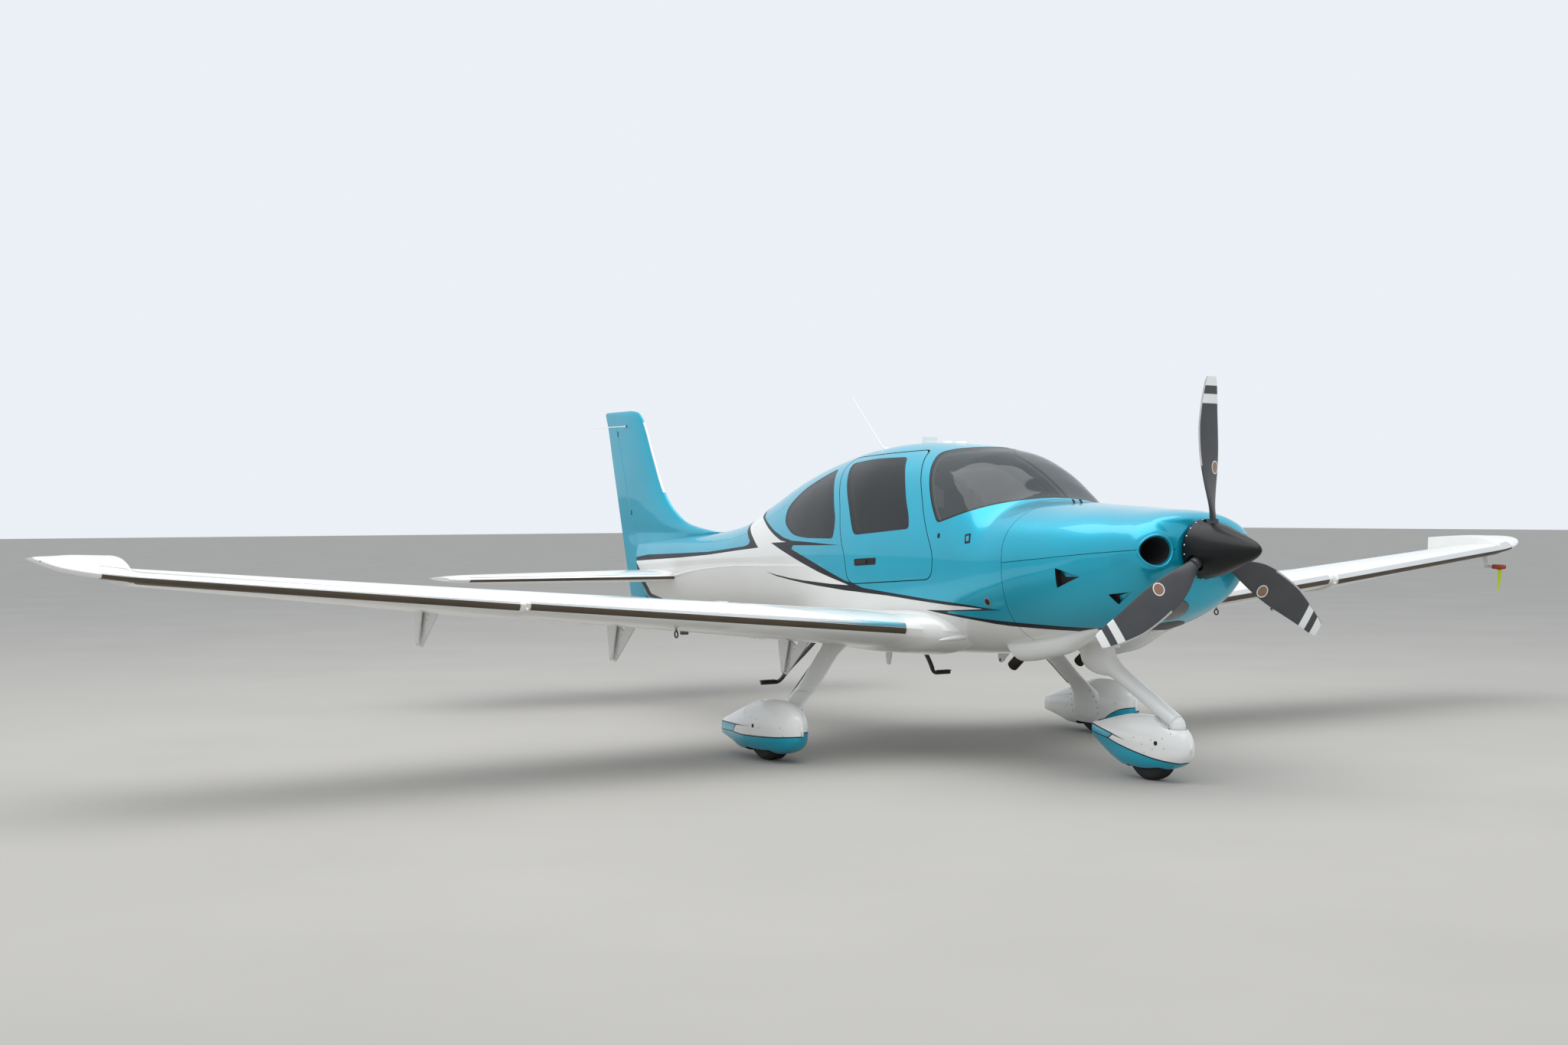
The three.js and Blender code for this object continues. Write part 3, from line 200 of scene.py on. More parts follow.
class Geo:
    """Collects faces of one piece, in millimetres, with a material number and, where given, normals."""

    def __init__(self):
        self.V, self.N, self.P, self.M, self.n = [], [], [], [], 0

    def add(self, V, polys, mat=0, N=None):
        V = np.asarray(V, float).reshape(-1, 3)
        polys = [np.asarray(p, int) for p in (polys if isinstance(polys, list) else [polys])]
        count = sum(len(p) for p in polys)
        m = np.full(count, mat) if np.isscalar(mat) else np.concatenate([np.ravel(x) for x in (mat if isinstance(mat, list) else [mat])])
        self.V.append(V)
        self.N.append(np.zeros_like(V) if N is None else np.asarray(N, float).reshape(-1, 3))
        self.P.extend(p + self.n for p in polys if len(p))
        self.M.append(m.astype(int))
        self.n += len(V)
        return self

    def join(self, other, move=None):
        V = np.concatenate(other.V)
        N = np.concatenate(other.N)
        if move is not None:
            V, N = move(V), N
        self.add(V, [p for p in other.P], [np.concatenate(other.M)], N)
        return self

    def mirror(self):
        out = Geo()
        V, N = np.concatenate(self.V) * (-1, 1, 1), np.concatenate(self.N) * (-1, 1, 1)
        out.add(V, [p[:, ::-1] for p in self.P], [np.concatenate(self.M)], N)
        return out

    def make(self, name, mats, body, replaces=(), slot=None, normals=False, angle=34, weld=False, solid=None, subdiv=0):
        V, M = np.concatenate(self.V), np.concatenate(self.M)
        me = bpy.data.meshes.new(name)
        loops = np.concatenate([p.ravel() for p in self.P])
        totals = np.concatenate([np.full(len(p), p.shape[1]) for p in self.P])
        me.vertices.add(len(V))
        me.vertices.foreach_set("co", world(V).astype(np.float32).ravel())
        me.loops.add(len(loops))
        me.loops.foreach_set("vertex_index", loops.astype(np.int32))
        me.polygons.add(len(totals))
        me.polygons.foreach_set("loop_start", (np.cumsum(totals) - totals).astype(np.int32))
        me.polygons.foreach_set("material_index", M.astype(np.int32))
        me.polygons.foreach_set("use_smooth", np.ones(len(totals), bool))
        me.update(calc_edges=True)
        if not normals:
            me.validate()
        for m in mats if isinstance(mats, (list, tuple)) else [mats]:
            me.materials.append(m)
        if weld:
            tmp = bpy.data.objects.new("weld", me)
            import bmesh

            bm = bmesh.new()
            bm.from_mesh(me)
            bmesh.ops.remove_doubles(bm, verts=bm.verts, dist=0.00008)
            bm.to_mesh(me)
            bm.free()
            bpy.data.objects.remove(tmp)
        if normals:
            N = np.concatenate(self.N)
            me.normals_split_custom_set_from_vertices(N.astype(np.float32))
        elif angle:
            me.set_sharp_from_angle(angle=math.radians(angle))
        ob = bpy.data.objects.new(name, me)
        bpy.context.scene.collection.objects.link(ob)
        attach(ob, body)
        if replaces:
            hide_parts(*([replaces] if isinstance(replaces, str) else replaces))
        return ob


def grid_faces(nr, nc, closed=True):
    """Quads of a grid of nr rings with nc points; closed joins the last point of a ring to its first."""
    i = np.arange(nr - 1)[:, None]
    j = np.arange(nc if closed else nc - 1)[None, :]
    a, b = i * nc + j, i * nc + (j + 1) % nc
    return np.stack([a, b, b + nc, a + nc], -1).reshape(-1, 4)


def loft(rings, caps=(True, True), mat=0, geo=None, flip=False):
    """A skin through rings with the same number of points; caps are fans. mat may be a grid of material numbers."""
    R = np.asarray(rings, float)
    nr, nc = R.shape[:2]
    q = grid_faces(nr, nc)
    V = R.reshape(-1, 3)
    polys, mats = [q], [np.full(len(q), mat) if np.isscalar(mat) else np.asarray(mat).ravel()]
    extra = []
    for k, (row, on) in enumerate(((0, caps[0]), (nr - 1, caps[1]))):
        if on:
            c = len(V) + len(extra)
            extra.append(R[row].mean(0))
            j = np.arange(nc)
            a, b = row * nc + j, row * nc + (j + 1) % nc
            t = np.stack([b, a, np.full(nc, c)] if k == 0 else [a, b, np.full(nc, c)], -1)
            polys.append(t)
            src = mats[0].reshape(nr - 1, nc)[0 if k == 0 else -1]
            mats.append(src)
    if extra:
        V = np.concatenate([V, np.array(extra)])
    if flip:
        polys = [p[:, ::-1] for p in polys]
    geo = geo or Geo()
    return geo.add(V, polys, mats)


def rod(path, n=16, wide=(0, 1, 0), geo=None, mat=0, caps=(True, True), exponent=2.0):
    """A bar of round or oval section along a path of x, s, z, radius, radius along wide."""
    P = np.array([p[:3] for p in path], float)
    rings = []
    for i, p in enumerate(path):
        t = unit(P[min(i + 1, len(P) - 1)] - P[max(i - 1, 0)])
        v = np.array(wide, float)
        v = unit(v - (v @ t) * t)
        u = np.cross(t, v)
        a = (np.arange(n) + 0.5) / n * 2 * PI
        e = 2.0 / exponent
        ca, sa = np.sign(np.cos(a)) * np.abs(np.cos(a)) ** e, np.sign(np.sin(a)) * np.abs(np.sin(a)) ** e
        rings.append(P[i] + p[3] * ca[:, None] * u + (p[4] if len(p) > 4 else p[3]) * sa[:, None] * v)
    return loft(rings, caps, mat, geo)


def smooth_path(path, n):
    """A path resampled on a smooth curve by its running length."""
    a = np.array([list(p) + [p[3]] * (5 - len(p)) for p in path], float)
    d = np.concatenate([[0], np.cumsum(np.linalg.norm(np.diff(a[:, :3], axis=0), axis=1))])
    c = Curve(np.column_stack([d, a]))
    return c(np.linspace(0, d[-1], n))


def turned(profile, n, at, axis="y", geo=None, mat=0, closed=False, part=None):
    """A profile of (radius, along) turned about an axis through at."""
    prof = np.array([p[:2] for p in profile], float)
    k = np.arange(n) / n * 2 * PI
    rings = []
    for r, l in prof:
        c, s = np.cos(k) * r, np.sin(k) * r
        o = np.full(n, l)
        rings.append(np.stack({"y": (c, o, -s), "x": (o, c, s), "z": (c, s, o)}[axis], -1) + np.array(at, float))
    R = np.array(rings)
    mats = 0
    if not np.isscalar(mat):
        mats = np.repeat(np.asarray(mat), n)
    else:
        mats = mat
    if closed:
        R = np.concatenate([R, R[:1]])
        return loft(R, (False, False), mats, geo)
    return loft(R, (prof[0][0] > 0.5, prof[-1][0] > 0.5), mats, geo)


def slab(size, at, r=None, turn=None, geo=None, mat=0, seg=3):
    """A block with rounded edges: half sizes, centre, edge radius and an optional 3x3 turn."""
    hx, hy, hz = size
    r = min(r if r is not None else 0.25 * min(size), min(size) * 0.98)
    n = seg
    t = np.linspace(0, PI / 2, n + 1)
    ring = []
    for q in range(4):
        for a in t:
            ang = a + q * PI / 2
            cx = (hx - r) * (1 if q in (0, 3) else -1)
            cy = (hy - r) * (1 if q in (0, 1) else -1)
            ring.append((cx, cy, math.cos(ang), math.sin(ang)))
    ring = np.array(ring)
    rings = []
    for sgn, order in ((-1, t[::-1]), (1, t)):
        for a in order:
            c, s = math.cos(a), math.sin(a)
            z = sgn * ((hz - r) + r * s)
            rings.append(np.column_stack([ring[:, 0] + ring[:, 2] * r * c, ring[:, 1] + ring[:, 3] * r * c, np.full(len(ring), z)]))
    R = np.array(rings)
    if turn is not None:
        R = R @ np.array(turn, float).T
    return loft(R + np.array(at, float), (True, True), mat, geo)


def plate(outline, x0, x1, geo=None, mat=0, axis="x", holes=()):
    """An outline pushed along an axis, with optional holes; outline is (s, z) for x, (x, s) for z, (x, z) for y."""
    loops = [np.asarray(outline, float)[:, :2]] + [np.asarray(h, float)[:, :2] for h in holes]
    pts, tri = triangulate([], [(l, True) for l in loops])
    c = pts[tri].mean(1)
    keep = within(loops[0], c[:, 0], c[:, 1])
    for h in loops[1:]:
        keep &= ~within(h, c[:, 0], c[:, 1])
    tri = tri[keep]

    def lift(p, x):
        o = np.full(len(p), x)
        return {"x": np.column_stack([o, p[:, 0], p[:, 1]]), "z": np.column_stack([p[:, 0], p[:, 1], o]), "y": np.column_stack([p[:, 0], o, p[:, 1]])}[axis]

    n = len(pts)
    V = np.concatenate([lift(pts, x0), lift(pts, x1)])
    E = np.concatenate([tri[:, [0, 1]], tri[:, [1, 2]], tri[:, [2, 0]]])
    b = E[~np.isin(E[:, 0] * n + E[:, 1], E[:, 1] * n + E[:, 0])]
    walls = np.stack([b[:, 1], b[:, 0], b[:, 0] + n, b[:, 1] + n], -1)
    up, low = tri + n, tri[:, ::-1]
    if axis == "y":
        up, low, walls = up[:, ::-1], low[:, ::-1], walls[:, ::-1]
    elif axis == "x":
        pass
    walls = walls[:, ::-1]
    geo = geo or Geo()
    return geo.add(V, [up, low, walls], mat)


# ------------------------------------------------------------------------------------------------ hulls given by a table
class Hull:
    """A body of superellipse sections: station, top, bottom, height of the widest point, half width, two exponents."""

    def __init__(self, rows, scale):
        self.C = Curve(rows)
        self.s0, self.s1, self.k = self.C.x[0], self.C.x[-1], scale
        s = np.arange(self.s0, self.s1 + 0.5, 0.5)
        c = self.C(s)
        d = np.sqrt(1 + np.gradient(c[:, 3], s) ** 2 + 0.5 * np.gradient(c[:, 0], s) ** 2)
        self.sg = s
        self.ug = np.concatenate([[0], np.cumsum((d[1:] + d[:-1]) / 2 * 0.5)])

    def U(self, s):
        return np.interp(s, self.sg, self.ug)

    def S(self, u):
        return np.interp(u, self.ug, self.sg)

    bump = None  # an extra height over the surface, as a function of x, s, z

    def place(self, s, a):
        """Points and normals, with the extra height where there is one."""
        P = self.P(s, a)
        N = self.N(P)
        if self.bump is None:
            return P, N
        h = self.bump(P)
        if not np.any(h > 1e-3):
            return P, N
        g = np.stack([(self.bump(P + e) - self.bump(P - e)) / 4.0 for e in np.eye(3) * 2.0], -1)
        g = g - (g * N).sum(-1, keepdims=True) * N
        return P + N * h[..., None], unit(N - g)

    def P(self, s, a):
        top, bot, mid, half, nt, nb = np.moveaxis(self.C(s), -1, 0)
        c, q = np.abs(np.cos(a)), np.sin(a)
        up = q >= 0
        n, h = np.where(up, nt, nb), np.where(up, top - mid, mid - bot)
        return np.stack([half * c ** (2 / n), s + 0 * a, mid + np.sign(q) * h * np.abs(q) ** (2 / n)], -1)

    def F(self, x, s, z):
        top, bot, mid, half, nt, nb = np.moveaxis(self.C(s), -1, 0)
        up = z >= mid
        n, h = np.where(up, nt, nb), np.where(up, top - mid, mid - bot)
        return (np.abs(x) / half) ** n + (np.abs(z - mid) / h) ** n - 1

    def N(self, P):
        x, s, z = P[..., 0], P[..., 1], P[..., 2]
        top, bot, mid, half, nt, nb = np.moveaxis(self.C(s), -1, 0)
        up = z >= mid
        n, h = np.where(up, nt, nb), np.where(up, top - mid, mid - bot)
        fx = n / half * (np.abs(x) / half) ** (n - 1) * np.sign(x)
        fz = n / h * (np.abs(z - mid) / h) ** (n - 1) * np.sign(z - mid)
        a, b = np.clip(s - 1.5, self.s0, self.s1), np.clip(s + 1.5, self.s0, self.s1)
        fs = (self.F(x, b, z) - self.F(x, a, z)) / (b - a)
        return unit(np.stack([fx, fs, fz], -1))

    def angle(self, s, z):
        top, bot, mid, half, nt, nb = np.moveaxis(self.C(s), -1, 0)
        up = z >= mid
        n, h = np.where(up, nt, nb), np.where(up, top - mid, mid - bot)
        r = np.clip(np.abs(z - mid) / h, 0, 1)
        return np.where(up, 1, -1) * np.arcsin(r ** (n / 2))

    def flat(self, sz):
        """Side-view points to the plane that is triangulated."""
        sz = np.asarray(sz, float)
        s = np.clip(sz[:, 0], self.s0, self.s1)
        return np.column_stack([self.U(s), self.angle(s, sz[:, 1]) * self.k])

    def cells(self, chains, step, rows, s0=None, s1=None, flat_chains=(), gap=0.42):
        """Triangles of the half with x >= 0: (station, angle) of each point, and the triangles."""
        s0, s1 = s0 or self.s0, s1 or self.s1
        u0, u1 = float(self.U(s0)), float(self.U(s1))
        us = np.linspace(u0, u1, int((u1 - u0) / step) + 2)
        pts = []
        for u in us:
            n = rows(float(self.S(u)))
            v = np.linspace(-PI / 2, PI / 2, n + 1) * self.k
            pts.append(np.column_stack([np.full(n + 1, u), v]))
        pts = np.concatenate(pts)
        ch = []
        for c, closed in chains:
            f = self.flat(c)
            f[:, 0] = np.clip(f[:, 0], u0, u1)
            keep = [f[0]]
            for p in f[1:]:
                if np.abs(p - keep[-1]).max() > 0.05:
                    keep.append(p)
            if closed and np.abs(keep[0] - keep[-1]).max() <= 0.05:
                keep.pop()
            ch.append((np.array(keep), closed))
        ch += [(np.asarray(c, float), closed) for c, closed in flat_chains]
        if ch:
            allp = np.concatenate([c for c, _ in ch])
            edge = (pts[:, 0] < u0 + 1e-6) | (pts[:, 0] > u1 - 1e-6) | (np.abs(pts[:, 1]) > PI / 2 * self.k - 1e-6)
            bad = near_chain(pts, allp, step * gap) & ~edge
            pts = pts[~bad]
        V, T = triangulate(pts, ch)
        a = np.clip(V[:, 1] / self.k, -PI / 2, PI / 2)
        a = np.where(np.abs(a) > PI / 2 - 2e-5, np.sign(a) * PI / 2, a)
        sa = np.column_stack([self.S(V[:, 0]), a])
        # slivers on the hull's rim are left out
        e1, e2 = V[T[:, 1]] - V[T[:, 0]], V[T[:, 2]] - V[T[:, 0]]
        area = e1[:, 0] * e2[:, 1] - e1[:, 1] * e2[:, 0]
        return sa, T[np.abs(area) > 1e-3]

    def centres(self, sa, T):
        c = sa[T].mean(1)
        P = self.P(c[:, 0], c[:, 1])
        return P[:, 0], P[:, 1], P[:, 2]


def shell(geo, hull, sa, T, d0, d1, sides=(1,), outer=0, inner=0, wall=0, skip=None, dx=0.0):
    """Adds triangles of a hull as a skin from depth d0 to depth d1. None leaves a layer out; outer and inner may be arrays."""
    if not len(T):
        return geo
    ids, inv = np.unique(T, return_inverse=True)
    T = inv.reshape(-1, 3)
    s, a = sa[ids, 0], sa[ids, 1]
    P, N = hull.place(s, a)
    A, B, n = P - N * d0, P - N * d1, len(ids)
    E = np.concatenate([T[:, [0, 1]], T[:, [1, 2]], T[:, [2, 0]]])
    b = E[~np.isin(E[:, 0] * n + E[:, 1], E[:, 1] * n + E[:, 0])]
    mid = (np.abs(a) >= PI / 2 - 1e-6)
    b = b[~(mid[b[:, 0]] & mid[b[:, 1]])]
    if skip is not None:
        b = b[~(skip(s[b[:, 0]], a[b[:, 0]]) & skip(s[b[:, 1]], a[b[:, 1]]))]
    for q in sides:
        f = np.array([q, 1, 1.0])
        sh = np.array([dx, 0, 0])
        o = slice(None, None, 1 if q > 0 else -1)
        if outer is not None:
            geo.add(A * f + sh, [T[:, o]], outer if np.isscalar(outer) else [outer], N * f)
        if inner is not None:
            geo.add(B * f + sh, [T[:, ::-1][:, o]], inner if np.isscalar(inner) else [inner], -N * f)
        if wall is not None and len(b):
            quad = np.stack([A[b[:, 1]], A[b[:, 0]], B[b[:, 0]], B[b[:, 1]]], 1) * f + sh
            if q < 0:
                quad = quad[:, ::-1]
            wn = unit(np.cross(quad[:, 1] - quad[:, 0], quad[:, 2] - quad[:, 0]))
            idx = np.arange(len(quad) * 4).reshape(-1, 4)
            geo.add(quad.reshape(-1, 3), [idx], wall, np.repeat(wn, 4, axis=0))
    return geo


def patch(hull, outline, lift, depth, side, geo=None, mat=0, step=9, dx=0.0, wall=None, bulge=0.0):
    """A thin plate on a hull's side that follows its surface: outline in (station, z), raised by lift."""
    geo = geo or Geo()
    poly = hull.flat(dense(outline, step * 0.8))
    lo, hi = poly.min(0), poly.max(0)
    gx, gy = np.meshgrid(np.arange(lo[0] + step / 2, hi[0], step), np.arange(lo[1] + step / 2, hi[1], step))
    g = np.column_stack([gx.ravel(), gy.ravel()])
    g = g[within(poly, g[:, 0], g[:, 1])] if len(g) else g
    if len(g):
        g = g[~near_chain(g, poly, step * 0.5)]
    V, T = triangulate(g, [(poly, True)])
    c = V[T].mean(1)
    T = T[within(poly, c[:, 0], c[:, 1])]
    sa = np.column_stack([hull.S(V[:, 0]), V[:, 1] / hull.k])
    if bulge:
        P = hull.P(sa[:, 0], sa[:, 1])
        N = hull.N(P)
        edge = np.array([np.min(((poly - v) ** 2).sum(1)) for v in V]) ** 0.5
        h = lift + bulge * np.sqrt(np.clip(edge / (edge.max() + 1e-9), 0, 1))
        A = P + N * h[:, None]
        f = np.array([side, 1, 1.0])
        o = slice(None, None, 1 if side > 0 else -1)
        geo.add(A * f + (dx, 0, 0), [T[:, o]], mat, unit(N * f))
        shell(geo, hull, sa, T, -lift, depth, (side,), None, None, mat if wall is None else wall, dx=dx)
        return geo
    return shell(geo, hull, sa, T, -lift, depth, (side,), mat, None, mat if wall is None else wall, dx=dx)


def dots(geo, points, normals, r, h, mat=0, n=8, slot=False):
    """Small domed fastener heads at points, along their normals."""
    for p, nrm in zip(np.atleast_2d(points), np.atleast_2d(normals)):
        w = unit(nrm)
        u = unit(np.cross(w, (0.31, 0.2, 0.93) if abs(w[2]) < 0.9 else (1, 0, 0)))
        v = np.cross(w, u)
        k = (np.arange(n) / n * 2 * PI)[:, None]
        ring = lambda rr, hh: p + (np.cos(k) * u + np.sin(k) * v) * rr + w * hh
        loft([ring(r, -1.0), ring(r, h * 0.45), ring(r * 0.72, h * 0.95), ring(r * 0.3, h * (0.7 if slot else 1.1))], (False, True), mat, geo)
    return geo


# ------------------------------------------------------------------------------------------------ materials
def material(name, rgb, rough=0.5, metal=0.0, coat=0.0, coat_rough=0.03, var=0.05, scale=5.0, rvar=0.05, bump=0.0, bscale=120.0, rgb2=None, alpha=1.0, ior=1.45, stretch=(1, 1, 1), kind="noise", spec=0.5, detail=3.0, sheen=0.0):
    m = bpy.data.materials.new(name)
    m.use_nodes = True
    nt = m.node_tree
    nd, ln = nt.nodes, nt.links
    bsdf = nd["Principled BSDF"]
    co = nd.new("ShaderNodeTexCoord")
    mp = nd.new("ShaderNodeMapping")
    mp.inputs["Scale"].default_value = stretch
    ln.new(co.outputs["Object"], mp.inputs["Vector"])
    nz = nd.new("ShaderNodeTexNoise")
    nz.inputs["Scale"].default_value = scale
    nz.inputs["Detail"].default_value = detail
    ln.new(mp.outputs["Vector"], nz.inputs["Vector"])
    mix = nd.new("ShaderNodeMix")
    mix.data_type = "RGBA"
    a = [c * (1 - var) for c in rgb]
    b = list(rgb2) if rgb2 else [min(1, c * (1 + var)) for c in rgb]
    mix.inputs[6].default_value = (*a, 1)
    mix.inputs[7].default_value = (*b, 1)
    ramp = nd.new("ShaderNodeMapRange")
    ramp.inputs["From Min"].default_value = 0.3
    ramp.inputs["From Max"].default_value = 0.7
    ln.new(nz.outputs["Fac"], ramp.inputs["Value"])
    ln.new(ramp.outputs["Result"], mix.inputs[0])
    ln.new(mix.outputs[2], bsdf.inputs["Base Color"])
    n2 = nd.new("ShaderNodeTexNoise")
    n2.inputs["Scale"].default_value = scale * 3.1
    n2.inputs["Detail"].default_value = 4
    ln.new(mp.outputs["Vector"], n2.inputs["Vector"])
    rr = nd.new("ShaderNodeMapRange")
    rr.inputs["To Min"].default_value = max(0.02, rough - rvar)
    rr.inputs["To Max"].default_value = min(1.0, rough + rvar)
    ln.new(n2.outputs["Fac"], rr.inputs["Value"])
    ln.new(rr.outputs["Result"], bsdf.inputs["Roughness"])
    bsdf.inputs["Metallic"].default_value = metal
    bsdf.inputs["Coat Weight"].default_value = coat
    bsdf.inputs["Coat Roughness"].default_value = coat_rough
    bsdf.inputs["IOR"].default_value = ior
    bsdf.inputs["Alpha"].default_value = alpha
    bsdf.inputs["Specular IOR Level"].default_value = spec
    if sheen:
        bsdf.inputs["Sheen Weight"].default_value = sheen
    if bump:
        if kind == "leather":
            tx = nd.new("ShaderNodeTexVoronoi")
            tx.inputs["Scale"].default_value = bscale
            out = tx.outputs["Distance"]
        elif kind == "weave":
            tx = nd.new("ShaderNodeTexWave")
            tx.wave_type = "BANDS"
            tx.bands_direction = "DIAGONAL"
            tx.inputs["Scale"].default_value = bscale
            tx.inputs["Distortion"].default_value = 0.6
            out = tx.outputs["Fac"]
        elif kind == "brushed":
            tx = nd.new("ShaderNodeTexNoise")
            tx.inputs["Scale"].default_value = bscale
            tx.inputs["Detail"].default_value = 2
            out = tx.outputs["Fac"]
        else:
            tx = nd.new("ShaderNodeTexNoise")
            tx.inputs["Scale"].default_value = bscale
            tx.inputs["Detail"].default_value = 2
            out = tx.outputs["Fac"]
        ln.new(mp.outputs["Vector"], tx.inputs["Vector"])
        bp = nd.new("ShaderNodeBump")
        bp.inputs["Strength"].default_value = bump
        bp.inputs["Distance"].default_value = 0.001
        ln.new(out, bp.inputs["Height"])
        ln.new(bp.outputs["Normal"], bsdf.inputs["Normal"])
    m.diffuse_color = (*rgb, 1)
    return m


TEAL = material("paint_teal", (0.0, 0.395, 0.560), rough=0.35, metal=0.5, coat=0.75, var=0.05, scale=2.2, rvar=0.03, bump=0.02, bscale=900)
WHITE = material("paint_white", (0.80, 0.80, 0.78), rough=0.38, coat=0.9, var=0.025, scale=1.7, rvar=0.04, bump=0.02, bscale=900)
STRIPE = material("paint_dark", (0.006, 0.008, 0.013), rough=0.42, coat=0.10, var=0.12, scale=2.5, ior=1.36)
BORDER = material("window_border", (0.008, 0.009, 0.012), rough=0.34, coat=0.15, var=0.12, scale=6, ior=1.38)
GLASS = material("tinted_glass", (0.014, 0.017, 0.020), rough=0.03, var=0.10, scale=1.5, rvar=0.005, alpha=0.68, ior=1.55)
SHIELD = material("shield_glass", (0.075, 0.086, 0.092), rough=0.03, var=0.08, scale=1.5, rvar=0.005, alpha=0.50, ior=1.6)
# near-black for inner faces, gap walls, duct ends and discs standing for holes: painted shade
SHADE_DARK = material("painted_shade_dark", (0.012, 0.012, 0.014), rough=0.8, var=0.2, scale=20)
LINING = material("cabin_lining", (0.50, 0.48, 0.43), rough=0.85, var=0.06, scale=8, bump=0.15, bscale=260)
TRIM = material("interior_plastic", (0.070, 0.072, 0.078), rough=0.6, var=0.12, scale=10, bump=0.25, bscale=700)
LEATHER = material("seat_leather", (0.055, 0.052, 0.052), rough=0.5, var=0.12, scale=9, bump=0.35, bscale=420, kind="leather", rvar=0.08)
LEATHER2 = material("seat_leather_light", (0.34, 0.31, 0.27), rough=0.55, var=0.06, scale=9, bump=0.35, bscale=420, kind="leather", rvar=0.08)
CARPET = material("carpet", (0.050, 0.050, 0.055), rough=0.95, var=0.25, scale=60, bump=0.8, bscale=900)
METAL = material("bare_metal", (0.60, 0.60, 0.59), rough=0.30, metal=1.0, var=0.06, scale=4, bump=0.15, bscale=60, stretch=(1, 1, 14), kind="brushed", rvar=0.08)
PANEL = material("edge_metal", (0.80, 0.80, 0.79), rough=0.17, metal=1.0, var=0.04, scale=3, bump=0.04, bscale=1500, rvar=0.03)
STEEL = material("dark_steel", (0.10, 0.095, 0.09), rough=0.45, metal=0.9, var=0.25, scale=14, rvar=0.12)
BURNT = material("burnt_steel", (0.022, 0.019, 0.017), rough=0.62, metal=0.8, var=0.35, scale=18, rvar=0.15, rgb2=(0.05, 0.036, 0.026), bump=0.3, bscale=120)
ENGINE = material("engine_casting", (0.20, 0.20, 0.21), rough=0.55, metal=0.6, var=0.15, scale=12, bump=0.4, bscale=160)
RUBBER = material("tyre_rubber", (0.020, 0.020, 0.021), rough=0.82, var=0.2, scale=14, bump=0.3, bscale=260)
WHEEL = material("wheel_metal", (0.55, 0.55, 0.56), rough=0.36, metal=0.9, var=0.08, scale=10, rvar=0.1)
BLADE = material("blade_black", (0.048, 0.050, 0.055), rough=0.42, coat=0.15, coat_rough=0.25, var=0.10, scale=8, bump=0.05, bscale=400)
BLADEW = material("blade_white", (0.82, 0.83, 0.82), rough=0.4, coat=0.3, var=0.04, scale=8)
DECAL = material("decal_plain", (0.30, 0.12, 0.07), rough=0.4, coat=0.5, var=0.1, scale=20, rgb2=(0.22, 0.15, 0.09))
SPIN = material("spinner_black", (0.0040, 0.0043, 0.0050), rough=0.36, coat=0.10, coat_rough=0.14, var=0.14, scale=5, ior=1.34)
BLACK = material("satin_black", (0.006, 0.006, 0.007), rough=0.45, var=0.2, scale=14, bump=0.1, bscale=300)
GREY = material("grey_fitting", (0.26, 0.27, 0.28), rough=0.45, metal=0.3, var=0.08, scale=14)
# darker brownish tint for the lower half of the leading-edge strips: a painted reflection of the shaded ground
EDGE_SHADE = material("edge_painted_ground_reflection", (0.100, 0.078, 0.055), rough=0.42, metal=0.5, var=0.12, scale=5, rvar=0.06, bump=0.05, bscale=700)
RED = material("cover_cloth", (0.40, 0.070, 0.035), rough=0.85, var=0.15, scale=30, bump=0.7, bscale=900, kind="weave")
LIME = material("streamer_cloth", (0.55, 0.72, 0.030), rough=0.8, var=0.08, scale=20, bump=0.6, bscale=1100, kind="weave")
SCREEN = material("screen_glass", (0.010, 0.012, 0.016), rough=0.08, coat=0.8, var=0.15, scale=6)
NAVRED = material("lens_red", (0.50, 0.020, 0.015), rough=0.10, coat=0.9, var=0.1, scale=20)
NAVGREEN = material("lens_green", (0.015, 0.30, 0.060), rough=0.10, coat=0.9, var=0.1, scale=20)
SMOKE = material("lens_smoke", (0.085, 0.090, 0.085), rough=0.12, coat=0.9, var=0.15, scale=9)
LENS = material("lens_clear", (0.62, 0.66, 0.66), rough=0.10, coat=0.9, var=0.06, scale=16)

# ------------------------------------------------------------------------------------------------ fuselage
FUSELAGE = [
    [448, 1500, 1215, 1357, 200, 2.0, 2.0],
    [470, 1536, 1115, 1350, 335, 2.3, 2.1],
    [520, 1566, 1025, 1338, 420, 2.5, 2.2],
    [620, 1582, 955, 1325, 458, 2.5, 2.2],
    [800, 1590, 887, 1312, 503, 2.5, 2.3],
    [1000, 1602, 838, 1300, 548, 2.5, 2.4],
    [1300, 1619, 775, 1285, 588, 2.4, 2.5],
    [1520, 1633, 733, 1277, 610, 2.4, 2.5],
    [1700, 1645, 705, 1268, 620, 2.3, 2.5],
    [1760, 1675, 698, 1266, 623, 2.25, 2.5],
    [1880, 1801, 686, 1262, 627, 2.25, 2.55],
    [2000, 1896, 675, 1257, 630, 2.3, 2.6],
    [2180, 1968, 662, 1253, 633, 2.4, 2.6],
    [2500, 2012, 648, 1250, 636, 2.45, 2.6],
    [3000, 2042, 640, 1250, 630, 2.45, 2.6],
    [3400, 2018, 642, 1247, 606, 2.4, 2.5],
    [3800, 1954, 660, 1243, 562, 2.3, 2.4],
    [4200, 1862, 692, 1237, 500, 2.2, 2.3],
    [4700, 1693, 738, 1228, 415, 2.1, 2.2],
    [5100, 1535, 770, 1220, 350, 2.05, 2.1],
    [5437, 1463, 793, 1210, 300, 2.0, 2.1],
    [5900, 1405, 810, 1190, 240, 2.0, 2.1],
    [6500, 1370, 826, 1160, 165, 2.0, 2.1],
    [7000, 1330, 842, 1130, 100, 2.0, 2.1],
    [7260, 1310, 850, 1110, 70, 2.0, 2.1],
]
